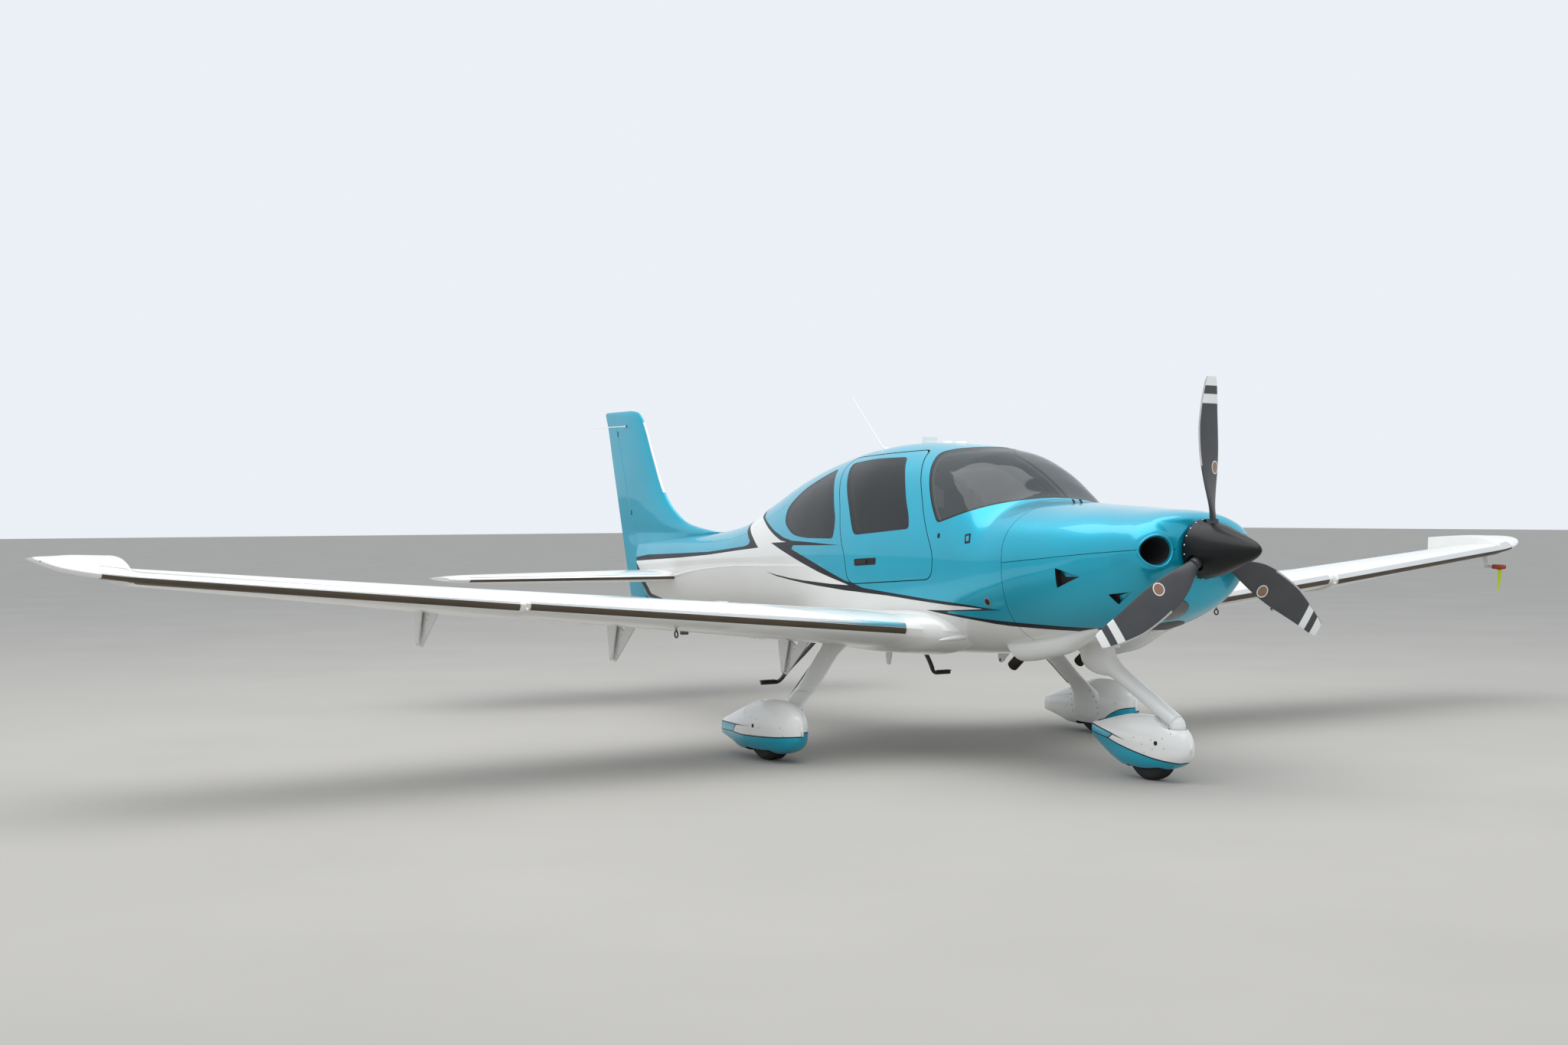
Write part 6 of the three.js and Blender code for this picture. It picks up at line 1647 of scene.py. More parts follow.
# ------------------------------------------------------------------------------------------------ propeller
HUB = np.array([0, 370, 1357.0])
SPIN_PROF = [(0, 0), (12, 3), (25, 14), (46, 44), (66, 88), (88, 145), (110, 205), (131, 262), (149, 320), (161, 376), (170, 420), (172, 432), (171, 434), (150, 434), (150, 430), (60, 430), (60, 436), (0.1, 436)]
BLADE_ROWS = [
    [70, 60, 56, 44, 0], [140, 62, 52, 40, -1], [190, 78, 40, 36, -6], [240, 108, 30, 31.5, -14], [300, 142, 24, 27, -24],
    [380, 174, 19, 22, -32], [470, 192, 16, 17, -35], [560, 198, 14, 13.5, -37], [680, 189, 11.5, 11, -39], [780, 165, 9.5, 9.5, -33],
    [850, 145, 8.3, 8.5, -25], [930, 117, 7, 8, -14], [965, 100, 6.3, 8, -9], [978, 84, 5.8, 8, -6],
]
BC = Curve(BLADE_ROWS)


def about_hub(V, k):
    t = k * 2 * PI / 3
    d = V - HUB
    x = d[:, 0] * math.cos(t) + d[:, 2] * math.sin(t)
    z = -d[:, 0] * math.sin(t) + d[:, 2] * math.cos(t)
    return np.column_stack([x, d[:, 1], z]) + HUB


def blade_face(r, u, front):
    c, t, deg, sweep = BC(r)
    a = math.radians(deg)
    w = np.sqrt(np.clip(1 - (2 * u) ** 2, 0, 1))
    v = (t / 2) * w * (1.0 if front else -0.75)
    U_ = u * c + sweep
    return np.column_stack([U_ * math.cos(a) + v * math.sin(a), HUB[1] + U_ * math.sin(a) - v * math.cos(a), np.full(len(u), HUB[2] + r)])


rs = sorted(set(list(np.linspace(100, 960, 44).round(1)) + [824, 877, 925, 965, 971, 975, 977.5]))
rings, nn = [], 15
uu = -0.5 * np.cos(np.linspace(0, PI, nn))
for r in rs:
    rings.append(np.concatenate([blade_face(r, uu, True), blade_face(r, uu[::-1][1:-1], False)]))
mats = np.zeros((len(rs) - 1, 2 * nn - 2), int)
for i, (a, b) in enumerate(zip(rs, rs[1:])):
    m = (a + b) / 2
    if m > 925 or 824 < m < 877:
        mats[i] = 1
bl = loft(rings, (True, True), mats, flip=True)
turned([(0, 62), (40, 62), (44, 66), (44, 108), (40, 128), (36, 150), (34, 172), (0.1, 176)], 32, tuple(HUB), "z", bl, 0)
# a metal guard along the outer leading edge
rings = []
for r in np.linspace(470, 976, 46):
    c = BC(r)[0]
    k = 11.0 / c * (1 - np.cos(np.linspace(0, PI / 2, 6)))
    us_ = -0.5 + k
    f1, f2 = blade_face(r, us_[::-1], True), blade_face(r, us_[1:], False)
    P = np.concatenate([f1, f2])
    d = np.gradient(P, axis=0)
    N = unit(np.cross(d, (0, 0, 1.0)))
    mid_c = blade_face(r, np.array([0.0]), True)[0]
    if (N[5] @ (P[5] - mid_c)) < 0:
        N = -N
    rings.append(np.concatenate([P + N * 0.7, (P - N * 0.4)[::-1]]))
loft(rings, (True, True), 3, bl)
# plain round decal on both faces
for front in (True, False):
    k = np.arange(28) / 28 * 2 * PI
    for rad, mat_, hgt in ((38, 1, 0.5), (32, 2, 0.9)):
        rr = []
        for f in (1.0, 0.5, 0.02):
            pr, pu = 463 + rad * f * np.cos(k), rad * f * np.sin(k)
            P = []
            for a, b in zip(pr, pu):
                c, _, _, sweep = BC(a)
                P.append(blade_face(a, np.array([(b + 17 - sweep) / c]), front)[0])
            rr.append(np.array(P))
        R = np.array(rr)
        n_ = unit(np.cross(R[0, 7] - R[0, 0], R[0, 14] - R[0, 0]))
        if (n_[1] < 0) != front:
            n_ = -n_
        R = R + n_ * hgt
        R = np.concatenate([R[:1] - n_ * (hgt + 0.8), R])
        loft(R, (False, False), mat_, bl, flip=not front)
for k in range(3):
    G = Geo()
    V = np.concatenate(bl.V)
    G.add(about_hub(V, k), [p for p in bl.P], [np.concatenate(bl.M)])
    G.make("blade_%d" % (k + 1), [BLADE, BLADEW, DECAL, METAL], "propeller", "propeller_blade_%d" % (k + 1), "black_paint", angle=50)

prof = smooth_path([(r, s, 0, 1) for r, s in SPIN_PROF[:11]], 40)[:, :2]
prof = [tuple(p) for p in prof] + SPIN_PROF[11:]
sp = turned(prof, 96, (0, 0, 1357), "y")
spinner = sp.make("spinner_skin", [SPIN, SHADE_DARK], "propeller", "spinner", "black_paint", angle=40)
# round openings for the blades
for k in range(3):
    t = k * 2 * PI / 3
    d = np.array([math.sin(t), 0, math.cos(t)])
    me = bpy.data.meshes.new("cut")
    cut = Geo()
    turned([(0, 60), (52, 60), (52, 220), (0, 220)], 40, (0, 370, 0), "z", cut)
    V = np.concatenate(cut.V)
    V = about_hub(V + (0, 0, 1357), k)
    cg = Geo()
    cg.add(V, [p for p in cut.P], 0)
    co = cg.make("cut_%d" % k, [SHADE_DARK], "propeller")
    mod = spinner.modifiers.new("cut", "BOOLEAN")
    mod.operation = "DIFFERENCE"
    mod.solver = "EXACT"
    mod.object = co
    dg = bpy.context.evaluated_depsgraph_get()
    new = bpy.data.meshes.new_from_object(spinner.evaluated_get(dg))
    spinner.modifiers.clear()
    spinner.data = new
    bpy.data.objects.remove(co)
spinner.data.set_sharp_from_angle(angle=math.radians(40))
g = Geo()
for k in range(3):
    gg = Geo()
    # a collar in the opening, dark: painted shade of the gap round the blade
    turned([(50.5, 100), (50.5, 128), (46, 132), (45, 108), (45, 100)], 40, tuple(HUB), "z", gg, 0)
    g.add(about_hub(np.concatenate(gg.V), k), [p for p in gg.P], [np.concatenate(gg.M)])
pts, nr = [], []
for k in range(20):
    t = (k + 0.5) / 20 * 2 * PI
    d = np.array([math.cos(t), 0, math.sin(t)])
    pts.append(np.array([0, 420, 1357]) + d * 169.6)
    nr.append(d + (0, -0.1, 0))
# the screw heads take white paint: a painted highlight for the glint of their bare metal
dots(g, pts, nr, 4.6, 2.2, 1, 8)
g.make("spinner_screws", [SHADE_DARK, BLADEW], "propeller", (), "bare_metal", angle=40)

# ------------------------------------------------------------------------------------------------ engine bay
NODES["engine_block"].data.materials.clear()
NODES["engine_block"].data.materials.append(ENGINE)

# exhaust fairings under the cowl, open behind, and the pipes
BLISTER = Curve([[1000, 40, 862, 24], [1070, 56, 838, 34], [1170, 74, 786, 50], [1300, 84, 726, 66], [1440, 88, 692, 74], [1640, 90, 656, 78], [1694, 90, 651, 78]])
g = Geo()
rings, inner = [], []
for s in np.linspace(1000, 1694, 38):
    w, z, h = BLISTER(s)
    a = (np.arange(48) + 0.5) / 48 * 2 * PI
    c = np.sign(np.cos(a)) * np.abs(np.cos(a)) ** 0.82
    q_ = np.sin(a)
    aft = 64 * (1 + q_) * np.clip((s - 1600) / 94, 0, 1)
    rings.append(np.column_stack([265 + w * c, s + aft, z + h + h * q_]))
    inner.append(np.column_stack([265 + (w - 8) * c, s + aft, z + h + (h - 8) * q_]))
# the inner skin near the open end takes material 1, dark: painted shade inside the fairing
R = np.array(rings + inner[::-1][:12])
m = np.zeros((len(R) - 1, 48), int)
m[len(rings):] = 1
loft(R, (True, True), m, g, flip=True)
pipe = smooth_path([(268, 1450, 748, 26), (268, 1600, 732, 30), (268, 1690, 716, 32), (268, 1728, 690, 34), (268, 1828, 615.5, 34)], 30)
pg = rod(pipe, 36, (0, 0, 1), caps=(True, False))
# the inside of the pipe takes the dark material: soot and painted shade
inn = pipe[::-1][:10].copy()
inn[:, 3:] -= 3.5
rod(inn, 36, (0, 0, 1), pg, 1, caps=(False, True))
for side, q in (("right", -1), ("left", 1)):
    G = g if q > 0 else g.mirror()
    G.make("exhaust_fairing_" + side, [WHITE, SHADE_DARK], "airframe", (), "white_paint", angle=50)
    G = pg if q > 0 else pg.mirror()
    G.make("exhaust_pipe_" + side, [BURNT, SHADE_DARK], "airframe", "exhaust_" + side, "bare_metal", angle=50)

# ------------------------------------------------------------------------------------------------ small fittings outside
bits = Geo()  # 0 black, 1 grey, 2 white, 3 metal, 4 painted shade (dark), 5 lens
for q in (1, -1):
    # door handle in a shallow cup: a black plate, a dark patch of painted shade for the hollow, and the handle
    out = rounded([(2790, 1276, 14), (2794, 1230, 14), (3046, 1216, 15), (3050, 1262, 15)], steps=6)
    patch(FUS, out, 1.4, 2, q, bits, 0)
    out = rounded([(2806, 1266, 10), (2808, 1242, 10), (2900, 1236, 9), (2902, 1261, 9)], steps=6)
    patch(FUS, out, 2.4, 1, q, bits, 4)
    out = rounded([(2896, 1264, 10), (2897, 1234, 10), (3034, 1226, 9), (3036, 1254, 9)], steps=6)
    patch(FUS, out, 7.5, 1, q, bits, 0)
    # small window-like light ahead of the door, in a dark frame
    out = rounded([(1825, 1442, 6), (1812, 1384, 6), (1858, 1376, 6), (1870, 1434, 6)], steps=5)
    patch(FUS, out, 1.4, 2, q, bits, 0)
    out = rounded([(1834, 1429, 4), (1825, 1396, 4), (1848, 1391, 4), (1857, 1423, 4)], steps=5)
    patch(FUS, out, 2.0, 1, q, bits, 7)
    out = circle((1841, 1410), 7, 14)
    patch(FUS, out, 3.2, 1, q, bits, 1)
    # round cabin-air outlet: a grey ring, and a dark disc of painted shade for its opening
    out = circle((1671, 1028), 27, 28)
    patch(FUS, out, 2.2, 1, q, bits, 1, bulge=1.5)
    out = circle((1671, 1028), 19, 24)
    patch(FUS, out, 4.2, 1, q, bits, 4)
    # hinge covers of the door
    for s, z in ((2117, 1426), ):
        out = rounded([(s - 9, z + 14, 4), (s - 9, z - 14, 4), (s + 9, z - 16, 4), (s + 9, z + 12, 4)], steps=4)
        patch(FUS, out, 3.0, 2, q, bits, 0)
# two nozzles ahead of the windshield
for x, s, z in ((105, 1492, 1625), (70, 1466, 1625)):
    for q in (-1, ):
        P = np.array([q * x, s - 60, float(FUS.C(s - 60)[0]) - 6])
        a = float(FUS.angle(np.array(float(s - 60)), np.array(float(FUS.C(s - 60)[0]))))
        ang = np.arccos(np.clip(x / float(FUS.C(float(s - 60))[3]), 0, 1) ** (float(FUS.C(float(s - 60))[4]) / 2))
        P0 = FUS.P(np.array(float(s - 60)), np.array(float(ang)))
        P = P0 * (q, 1, 1)
        rod([(P[0], P[1], P[2] - 8, 7), (P[0], P[1] + 3, P[2] + 9, 6.5), (P[0], P[1] + 12, P[2] + 17, 6), (P[0], P[1] + 20, P[2] + 19, 5)], 12, (1, 0, 0), bits, 0)
# cowl fasteners along the seams
pts, nr = [], []
for s in (639, 878, 1116, 1374):
    z = np.interp(s, [p[0] for p in SPLIT], [p[1] for p in SPLIT])
    for q in (1, -1):
        for dz in (22, ):
            P, N = fus_point(s, z + dz, q, 0.2)
            pts.append(P)
            nr.append(N)
for z in (1028, 1245, 1305):
    for q in (1, -1):
        P, N = fus_point(1536, z, q, 0.2)
        pts.append(P)
        nr.append(N)
dots(bits, pts, nr, 4.6, 1.0, 7, 10)
# chin lens under the spinner
out = []
chin = [(-182, 560), (-170, 610), (-120, 650), (-52, 628), (-30, 560), (-40, 512), (-92, 492), (-158, 508)]
ch = rounded([(x, s, 34) for x, s in chin])
cc_ = FUS.C(ch[:, 1])
a_ = -np.arccos(np.clip(np.abs(ch[:, 0]) / cc_[:, 3], 0, 1) ** (cc_[:, 5] / 2))
Pc = FUS.P(ch[:, 1], a_)
Nc = FUS.N(Pc)
f_ = np.column_stack([np.sign(ch[:, 0] + 1e-9), np.ones(len(ch)), np.ones(len(ch))])
Pc, Nc = Pc * f_, Nc * f_
n = len(ch)
rr = [Pc - Nc * 2, Pc + Nc * 2.5, Pc + Nc * 3.2 + (Pc.mean(0) - Pc) * 0.04]
for f in (0.35, 0.7, 0.97):
    c2 = np.column_stack([-106 + (ch[:, 0] + 106) * (1 - f), 566 + (ch[:, 1] - 566) * (1 - f)])
    cc2 = FUS.C(c2[:, 1])
    a2 = -np.arccos(np.clip(np.abs(c2[:, 0]) / cc2[:, 3], 0, 1) ** (cc2[:, 5] / 2))
    P2 = FUS.P(c2[:, 1], a2)
    N2_ = FUS.N(P2)
    s2 = np.column_stack([np.sign(c2[:, 0] + 1e-9), np.ones(n), np.ones(n)])
    rr.append((P2 + N2_ * 2.6) * s2)
mm = np.zeros((len(rr) - 1, n), int)
mm[:2] = 0
mm[2:] = 6
loft(np.array(rr), (False, True), mm, bits, flip=True)
# a small scoop low on each side ahead of the wing, and an aerial under the belly
for q in (1, -1):
    rr = []
    for t in np.linspace(0, 1, 16):
        c = np.array([q * (462 + 198 * t), 2070 - 6 * t, 791 - 15 * t])
        rs, rz = 36 - 24 * t, (21 - 13 * t) * min(1.0, math.sqrt(max(0.02, (1 - t) * 6)))
        k = np.arange(18) / 18 * 2 * PI
        rr.append(c + np.column_stack([0 * k, rs * np.cos(k), rz * np.sin(k)]))
    loft(np.array(rr), (True, True), 2, bits, flip=q < 0)
rr = []
for z, le, te, h in ((700, 3466, 3600, 9), (684, 3478, 3594, 7), (672, 3484, 3590, 5.5), (560, 3506, 3582, 4.5), (508, 3522, 3568, 3.6), (500, 3530, 3562, 2)):
    u = (1 - np.cos(np.linspace(0, PI, 12))) / 2
    y = half_thick(u) / 0.5 * h
    rr.append(np.concatenate([np.column_stack([y, le + u * (te - le), np.full(12, z)]), np.column_stack([-y, le + u * (te - le), np.full(12, z)])[::-1][1:-1]]))
loft(np.array(rr), (True, True), 2, bits)
# steps, tie-down rings
step_geo = rod(smooth_path([(360, 3769, 772, 9, 27), (500, 3837, 602, 9, 26), (640, 3906, 434, 9, 25), (655, 3915, 410, 11, 20), (676, 3923, 390, 13.5, 15), (696, 3926, 383, 14, 14), (760, 3926, 383, 14, 14), (819, 3926, 383, 14, 14)], 44), 22, (0, 1, 0))
slab((64, 17, 4), (762, 3926, 396), 3, geo=step_geo, mat=1)
for k in range(6):
    slab((3, 14, 1.6), (716 + k * 18, 3926, 401), 1.2, geo=step_geo, mat=1, seg=2)
tz, th_ = foil.at(2228, 2597)
ring_z = tz - th_ - 30
tie = Geo()
k = np.arange(28) / 28 * 2 * PI
rr = []
for t in k:
    c = np.array([2228, 2597 + 19 * math.cos(t), ring_z + 19 * math.sin(t)])
    o = np.array([0, math.cos(t), math.sin(t)])
    kk = (np.arange(10) / 10 * 2 * PI)[:, None]
    rr.append(c + (np.cos(kk) * o + np.sin(kk) * np.array([1, 0, 0])) * 5)
rr.append(rr[0])
loft(np.array(rr), (False, False), 0, tie)
rod([(2228, 2597, ring_z + 20, 5), (2228, 2597, ring_z + 30, 6), (2228, 2597, ring_z + 34, 13), (2228, 2597, ring_z + 44, 13)], 16, (0, 1, 0), tie)
for side, q in (("right", -1), ("left", 1)):
    G = step_geo if q > 0 else step_geo.mirror()
    G.make("step_" + side, [BLACK, RUBBER], "airframe", "entry_step_" + side, "black_paint", angle=40)
    G = tie if q > 0 else tie.mirror()
    G.make("tie_ring_" + side, [STEEL], "airframe", "tie_down_ring_" + side, "bare_metal", angle=50)

# aerials and pucks on the roof, whisker aerials on the fin
roof = lambda s: float(FUS.C(float(s))[0])
whip = Geo()
rod(smooth_path([(0, 3556, roof(3560) - 8, 24, 40), (0, 3566, roof(3566) + 8, 20, 34), (0, 3580, roof(3580) + 20, 11, 17), (0, 3606, roof(3600) + 38, 5, 6), (0, 3640, roof(3600) + 70, 4, 4), (0, 3780, roof(3600) + 205, 3.4, 3.4), (0, 3985, 2400, 2.4, 2.4)], 34), 14, (0, 1, 0), whip)
whip.make("whip_aerial", [WHITE], "airframe", "whip_antenna", "white_paint", angle=50)
fin_a = Geo()
rings = []
for z, le, te, h in ((roof(3050) - 14, 2954, 3146, 12), (roof(3050) + 1, 2958, 3142, 9), (roof(3050) + 6, 2961, 3139, 6.5), (roof(3050) + 30, 2964, 3136, 5.5), (roof(3050) + 45, 2967, 3134, 4.6), (roof(3050) + 50, 2973, 3129, 2.4)):
    u = (1 - np.cos(np.linspace(0, PI, 14))) / 2
    y = half_thick(u) / 0.5 * h
    up = np.column_stack([y, le + u * (te - le), np.full(14, z)])
    dn = np.column_stack([-y, le + u * (te - le), np.full(14, z)])[::-1][1:-1]
    rings.append(np.concatenate([up, dn]))
loft(rings, (True, True), 0, fin_a, flip=True)
fin_a.make("blade_aerial", [WHITE], "airframe", "blade_antenna", "white_paint", angle=50)
pucks = Geo()
for s, rl, rw, h in ((2700, 62, 36, 16), (2850, 50, 34, 13)):
    t = np.linspace(0, PI / 2, 8)
    k = np.arange(32) / 32 * 2 * PI
    R = []
    for a in t:
        R.append(np.column_stack([rw * math.cos(a) ** 0.6 * np.cos(k) if a < 1.56 else 0.1 * np.cos(k), s + (rl * math.cos(a) ** 0.6 if a < 1.56 else 0.1) * np.sin(k), np.array([roof(s + rl * math.cos(a) * math.sin(x)) for x in k]) * 0 + roof(s) - 3 + (h + 3) * math.sin(a)]))
    loft([R[0] - (0, 0, 6)] + R, (False, True), 0, pucks)
pucks.make("roof_pucks", [WHITE], "airframe", (), "white_paint", angle=50)
whisk = Geo()
for q in (1, -1):
    rod(smooth_path([(q * 14, 7469, 2328, 6), (q * 34, 7474, 2327, 5), (q * 60, 7500, 2325, 4), (q * 250, 7690, 2318, 2.6)], 16), 10, (0, 0, 1), whisk, 0)
    turned([(0, 0), (10, 0), (11, 3), (11, 14), (8, 18), (0.1, 18)], 16, (q * 14 if q > 0 else q * 32, 7469, 2328), "x", whisk, 1)
whisk.make("fin_aerials", [WHITE, BLACK], "airframe", (), "white_paint", angle=50)
# dark notches at the rudder hinges: painted shade of the hinge gaps
hn = Geo()
for z in (2266, 1578):
    for q in (1, -1):
        s = rudder_line(z)
        le, te, hh = fin_row(z)
        h = (half_thick((s - 6 - le) / (te - le)) + 0.0022) / 0.5 * hh * 0.98
        slab((2.5, 7, 24), (q * (h - 0.5), s - 8, z), 2, geo=hn)
hn.make("rudder_hinge_notches", [SHADE_DARK], "airframe", (), "black_paint", angle=50)

# pitot mast, tube, its cover and the streamer
PX, PS = 5380, 2728
zc_, hc_ = foil.at(PX, PS)
PZ = zc_ - hc_
pt = Geo()
rod(smooth_path([(PX, PS + 30, PZ + 8, 9, 30), (PX, PS + 14, PZ - 20, 8, 26), (PX, PS + 2, PZ - 64, 9, 22), (PX, PS - 14, PZ - 88, 12, 20)], 18), 20, (0, 1, 0), pt, 0)
turned([(0, 22), (8, 20), (12, 12), (12.5, -60), (12, -150), (10, -168), (8, -171), (0.1, -171)], 24, (PX, PS, PZ - 90), "y", pt, 1)
pt.make("pitot_mast", [WHITE, METAL], "airframe", "pitot_tube", "bare_metal", angle=40)
cv = Geo()
prof = [(13.5, 74), (16, 75), (19.5, 72), (18.5, 60), (19.5, 44), (18.2, 28), (19.2, 8), (18.0, -14), (18.8, -30), (15, -42), (6, -46), (0.1, -47)]
turned(prof, 26, (PX, PS - 138, PZ - 90), "y", cv, 0)
cv.make("pitot_sleeve", [RED], "airframe", "pitot_cover", "cover_cloth", angle=60)

# the streamer: a flat band of cloth that hangs from the cover with a slight wave
SW, SL = 56.0, 185.0
nu, nv = 9, 36
v = np.linspace(0, 1, nv)
top_z = PZ - 109.6
ang = 0.10 * np.sin(v * 3.2) + 0.04 * np.sin(v * 7 + 0.6)
dz = SL / (nv - 1) * np.cos(ang)
ds = SL / (nv - 1) * np.sin(ang)
zz_ = top_z - np.concatenate([[0], np.cumsum(dz[:-1])])
ss_ = PS - 126 + np.concatenate([[0], np.cumsum(ds[:-1])])
u = np.linspace(-0.5, 0.5, nu)
P = np.zeros((nv, nu, 3))
tw = 0.5 * v**1.5
P[:, :, 0] = PX + np.cos(tw)[:, None] * u[None, :] * SW
P[:, :, 1] = ss_[:, None] + np.sin(tw)[:, None] * u[None, :] * SW + 2.5 * np.cos(u * 6)[None, :] * np.sin(v * 4)[:, None]
P[:, :, 2] = zz_[:, None]
sg = Geo()
sg.add(P.reshape(-1, 3), [grid_faces(nv, nu, False)], 0)
streamer = sg.make("streamer_band", [LIME], "airframe", "streamer", "streamer_cloth", angle=None)
streamer_hem = Geo()
slab((30, 3, 6), (PX, PS - 126, top_z + 3), 2.5, geo=streamer_hem)
hem = streamer_hem.make("streamer_clip", [RED], "airframe", (), "cover_cloth", angle=50)

bits.make("outside_fittings", [BLACK, GREY, WHITE, METAL, SHADE_DARK, LENS, SMOKE, TEAL], "airframe", (), "black_paint", angle=40)

# ------------------------------------------------------------------------------------------------ cabin
g = Geo()
inner = lambda s, z, d=40: float(FUS.P(np.array(float(s)), FUS.angle(np.array(float(s)), np.array(float(z))))[0]) - d
prof = rounded([(1960, 1180, 12), (2122, 1152, 12), (2150, 1420, 24), (2120, 1505, 30), (1900, 1530, 12), (1900, 1504, 8), (2040, 1400, 30)], steps=5)
dp = dense(prof, 18)
rings = []
for x in np.linspace(-1, 1, 25):
    rr = []
    for s, z in dp:
        w = min(inner(s, z, 44), 570)
        rr.append((x * w, s, z))
    rings.append(rr)
loft(np.array(rings), (True, True), 0, g, flip=False)
for x in (-290, 290):  # two displays
    slab((150, 6, 92), (x, 2146 + 2, 1330), 5, geo=g, mat=0)
    slab((132, 3, 78), (x, 2153, 1332), 2, geo=g, mat=1)
    for k in range(6):
        slab((9, 4, 4), (x - 110 + k * 44, 2154, 1244), 2, geo=g, mat=2, seg=2)
    for zk in (1290, 1330, 1370):
        turned([(0, 0), (7, 0), (8, 6), (6, 12), (0.1, 12)], 14, (x + 142, 2150, zk), "y", g, 2)
for x in (-60, 0, 60):
    slab((22, 4, 50), (x, 2148, 1330), 3, geo=g, mat=1)
slab((108, 66, 200), (0, 2080, 1000), 18, geo=g, mat=0)
slab((70, 60, 40), (0, 2170, 1150), 14, geo=g, mat=0)
for x in (-24, 24):  # engine levers
    rod([(x, 2200, 1180, 4), (x, 2196, 1225, 4), (x, 2196, 1240, 11, 9), (x, 2196, 1262, 9, 8)], 12, (0, 1, 0), g, 2)
for x in (-420, 420):  # side sticks
    rod(smooth_path([(x, 2150, 1150, 13), (x, 2210, 1158, 12), (x, 2236, 1185, 12), (x, 2240, 1240, 15), (x, 2232, 1275, 13)], 20), 16, (1, 0, 0), g, 3)
g.make("panel", [TRIM, SCREEN, GREY, BLACK], "airframe", "instrument_panel", "interior_plastic", angle=40)

for node, m in (("cabin_floor", CARPET), ("rear_bulkhead", LINING)):
    NODES[node].data.materials.clear()
    NODES[node].data.materials.append(m)


def cushion(name, size, at, tilt, replaces, mat=LEATHER, pinch=()):
    """A stuffed cushion: a rounded block that is blown up a little by a cloth simulation."""
    hx, hy, hz = (v * 0.001 for v in size)
    me = bpy.data.meshes.new(name)
    n = (max(8, int(hx * 2 / 0.017)), max(8, int(hy * 2 / 0.017)), max(5, int(hz * 2 / 0.017)))
    # points of a block with a rounded rim, as a grid on each face welded together
    verts, faces, index = [], [], {}

    def vid(i, j, k):
        key = (i, j, k)
        if key not in index:
            p = np.array([(2 * i / n[0] - 1) * hx, (2 * j / n[1] - 1) * hy, (2 * k / n[2] - 1) * hz])
            r = min(hx, hy, hz) * 0.75
            q = np.clip(p, [-hx + r, -hy + r, -hz + r], [hx - r, hy - r, hz - r])
            d = p - q
            l = np.linalg.norm(d)
            index[key] = len(verts)
            verts.append(q + d / l * r if l > 1e-9 else p)
        return index[key]

    for i in range(n[0]):
        for j in range(n[1]):
            faces.append([vid(i, j, n[2]), vid(i + 1, j, n[2]), vid(i + 1, j + 1, n[2]), vid(i, j + 1, n[2])])
            faces.append([vid(i, j, 0), vid(i, j + 1, 0), vid(i + 1, j + 1, 0), vid(i + 1, j, 0)])
    for i in range(n[0]):
        for k in range(n[2]):
            faces.append([vid(i, 0, k), vid(i + 1, 0, k), vid(i + 1, 0, k + 1), vid(i, 0, k + 1)])
            faces.append([vid(i, n[1], k), vid(i, n[1], k + 1), vid(i + 1, n[1], k + 1), vid(i + 1, n[1], k)])
    for j in range(n[1]):
        for k in range(n[2]):
            faces.append([vid(0, j, k), vid(0, j, k + 1), vid(0, j + 1, k + 1), vid(0, j + 1, k)])
            faces.append([vid(n[0], j, k), vid(n[0], j + 1, k), vid(n[0], j + 1, k + 1), vid(n[0], j, k + 1)])
    me.from_pydata([tuple(v) for v in verts], [], faces)
    me.validate()
    me.update()
    ob = bpy.data.objects.new(name, me)
    bpy.context.scene.collection.objects.link(ob)
    rest = np.array([v.co for v in me.vertices])
    # seams hold: the bottom, and lines across the top
    pins = [i for i, v in enumerate(rest) if v[2] < -hz * 0.2 or any(abs(v[ax] - c * 0.001) < 0.009 and v[2] > 0 for ax, c in pinch)]
    vg = ob.vertex_groups.new(name="held")
    vg.add(pins, 1.0, "REPLACE")
    c = ob.modifiers.new("cloth", "CLOTH")
    c.settings.use_pressure = True
    c.settings.uniform_pressure_force = 4
    c.settings.quality = 5
    c.settings.mass = 0.3
    c.settings.tension_stiffness = 15
    c.settings.compression_stiffness = 15
    c.settings.shear_stiffness = 5
    c.settings.bending_stiffness = 0.5
    c.settings.vertex_group_mass = "held"
    c.settings.effector_weights.gravity = 0
    c.point_cache.frame_start, c.point_cache.frame_end = 1, 16
    sc = bpy.context.scene
    for f in range(1, 17):
        sc.frame_set(f)
    dg = bpy.context.evaluated_depsgraph_get()
    ev = ob.evaluated_get(dg)
    sim = np.array([v.co for v in ev.data.vertices])
    ob.modifiers.clear()
    sc.frame_set(1)
    d = sim - rest
    l = np.linalg.norm(d, axis=1, keepdims=True)
    cap = 0.016
    d = d * np.minimum(1, cap / np.maximum(l, 1e-9))
    rest = rest + d
    # stitched lines sink a little
    for ax, c in pinch:
        dist = np.abs(rest[:, ax] - c * 0.001)
        rest[:, 2] -= np.where(rest[:, 2] > 0, 0.007 * np.exp(-(dist / 0.010) ** 2), 0)
    R = Matrix.Rotation(math.radians(tilt), 3, "X")
    pos = np.array([R @ Vector(v) for v in rest]) + np.array([at[0] * 0.001, (at[1] - MID) * 0.001, at[2] * 0.001])
    ob.data.vertices.foreach_set("co", pos.astype(np.float32).ravel())
    ob.data.polygons.foreach_set("use_smooth", np.ones(len(ob.data.polygons), bool))
    ob.data.update()
    sub = ob.modifiers.new("sub", "SUBSURF")
    sub.levels = sub.render_levels = 1
    ob.data.materials.append(mat)
    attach(ob, "airframe")
    if replaces:
        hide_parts(replaces)
    return ob


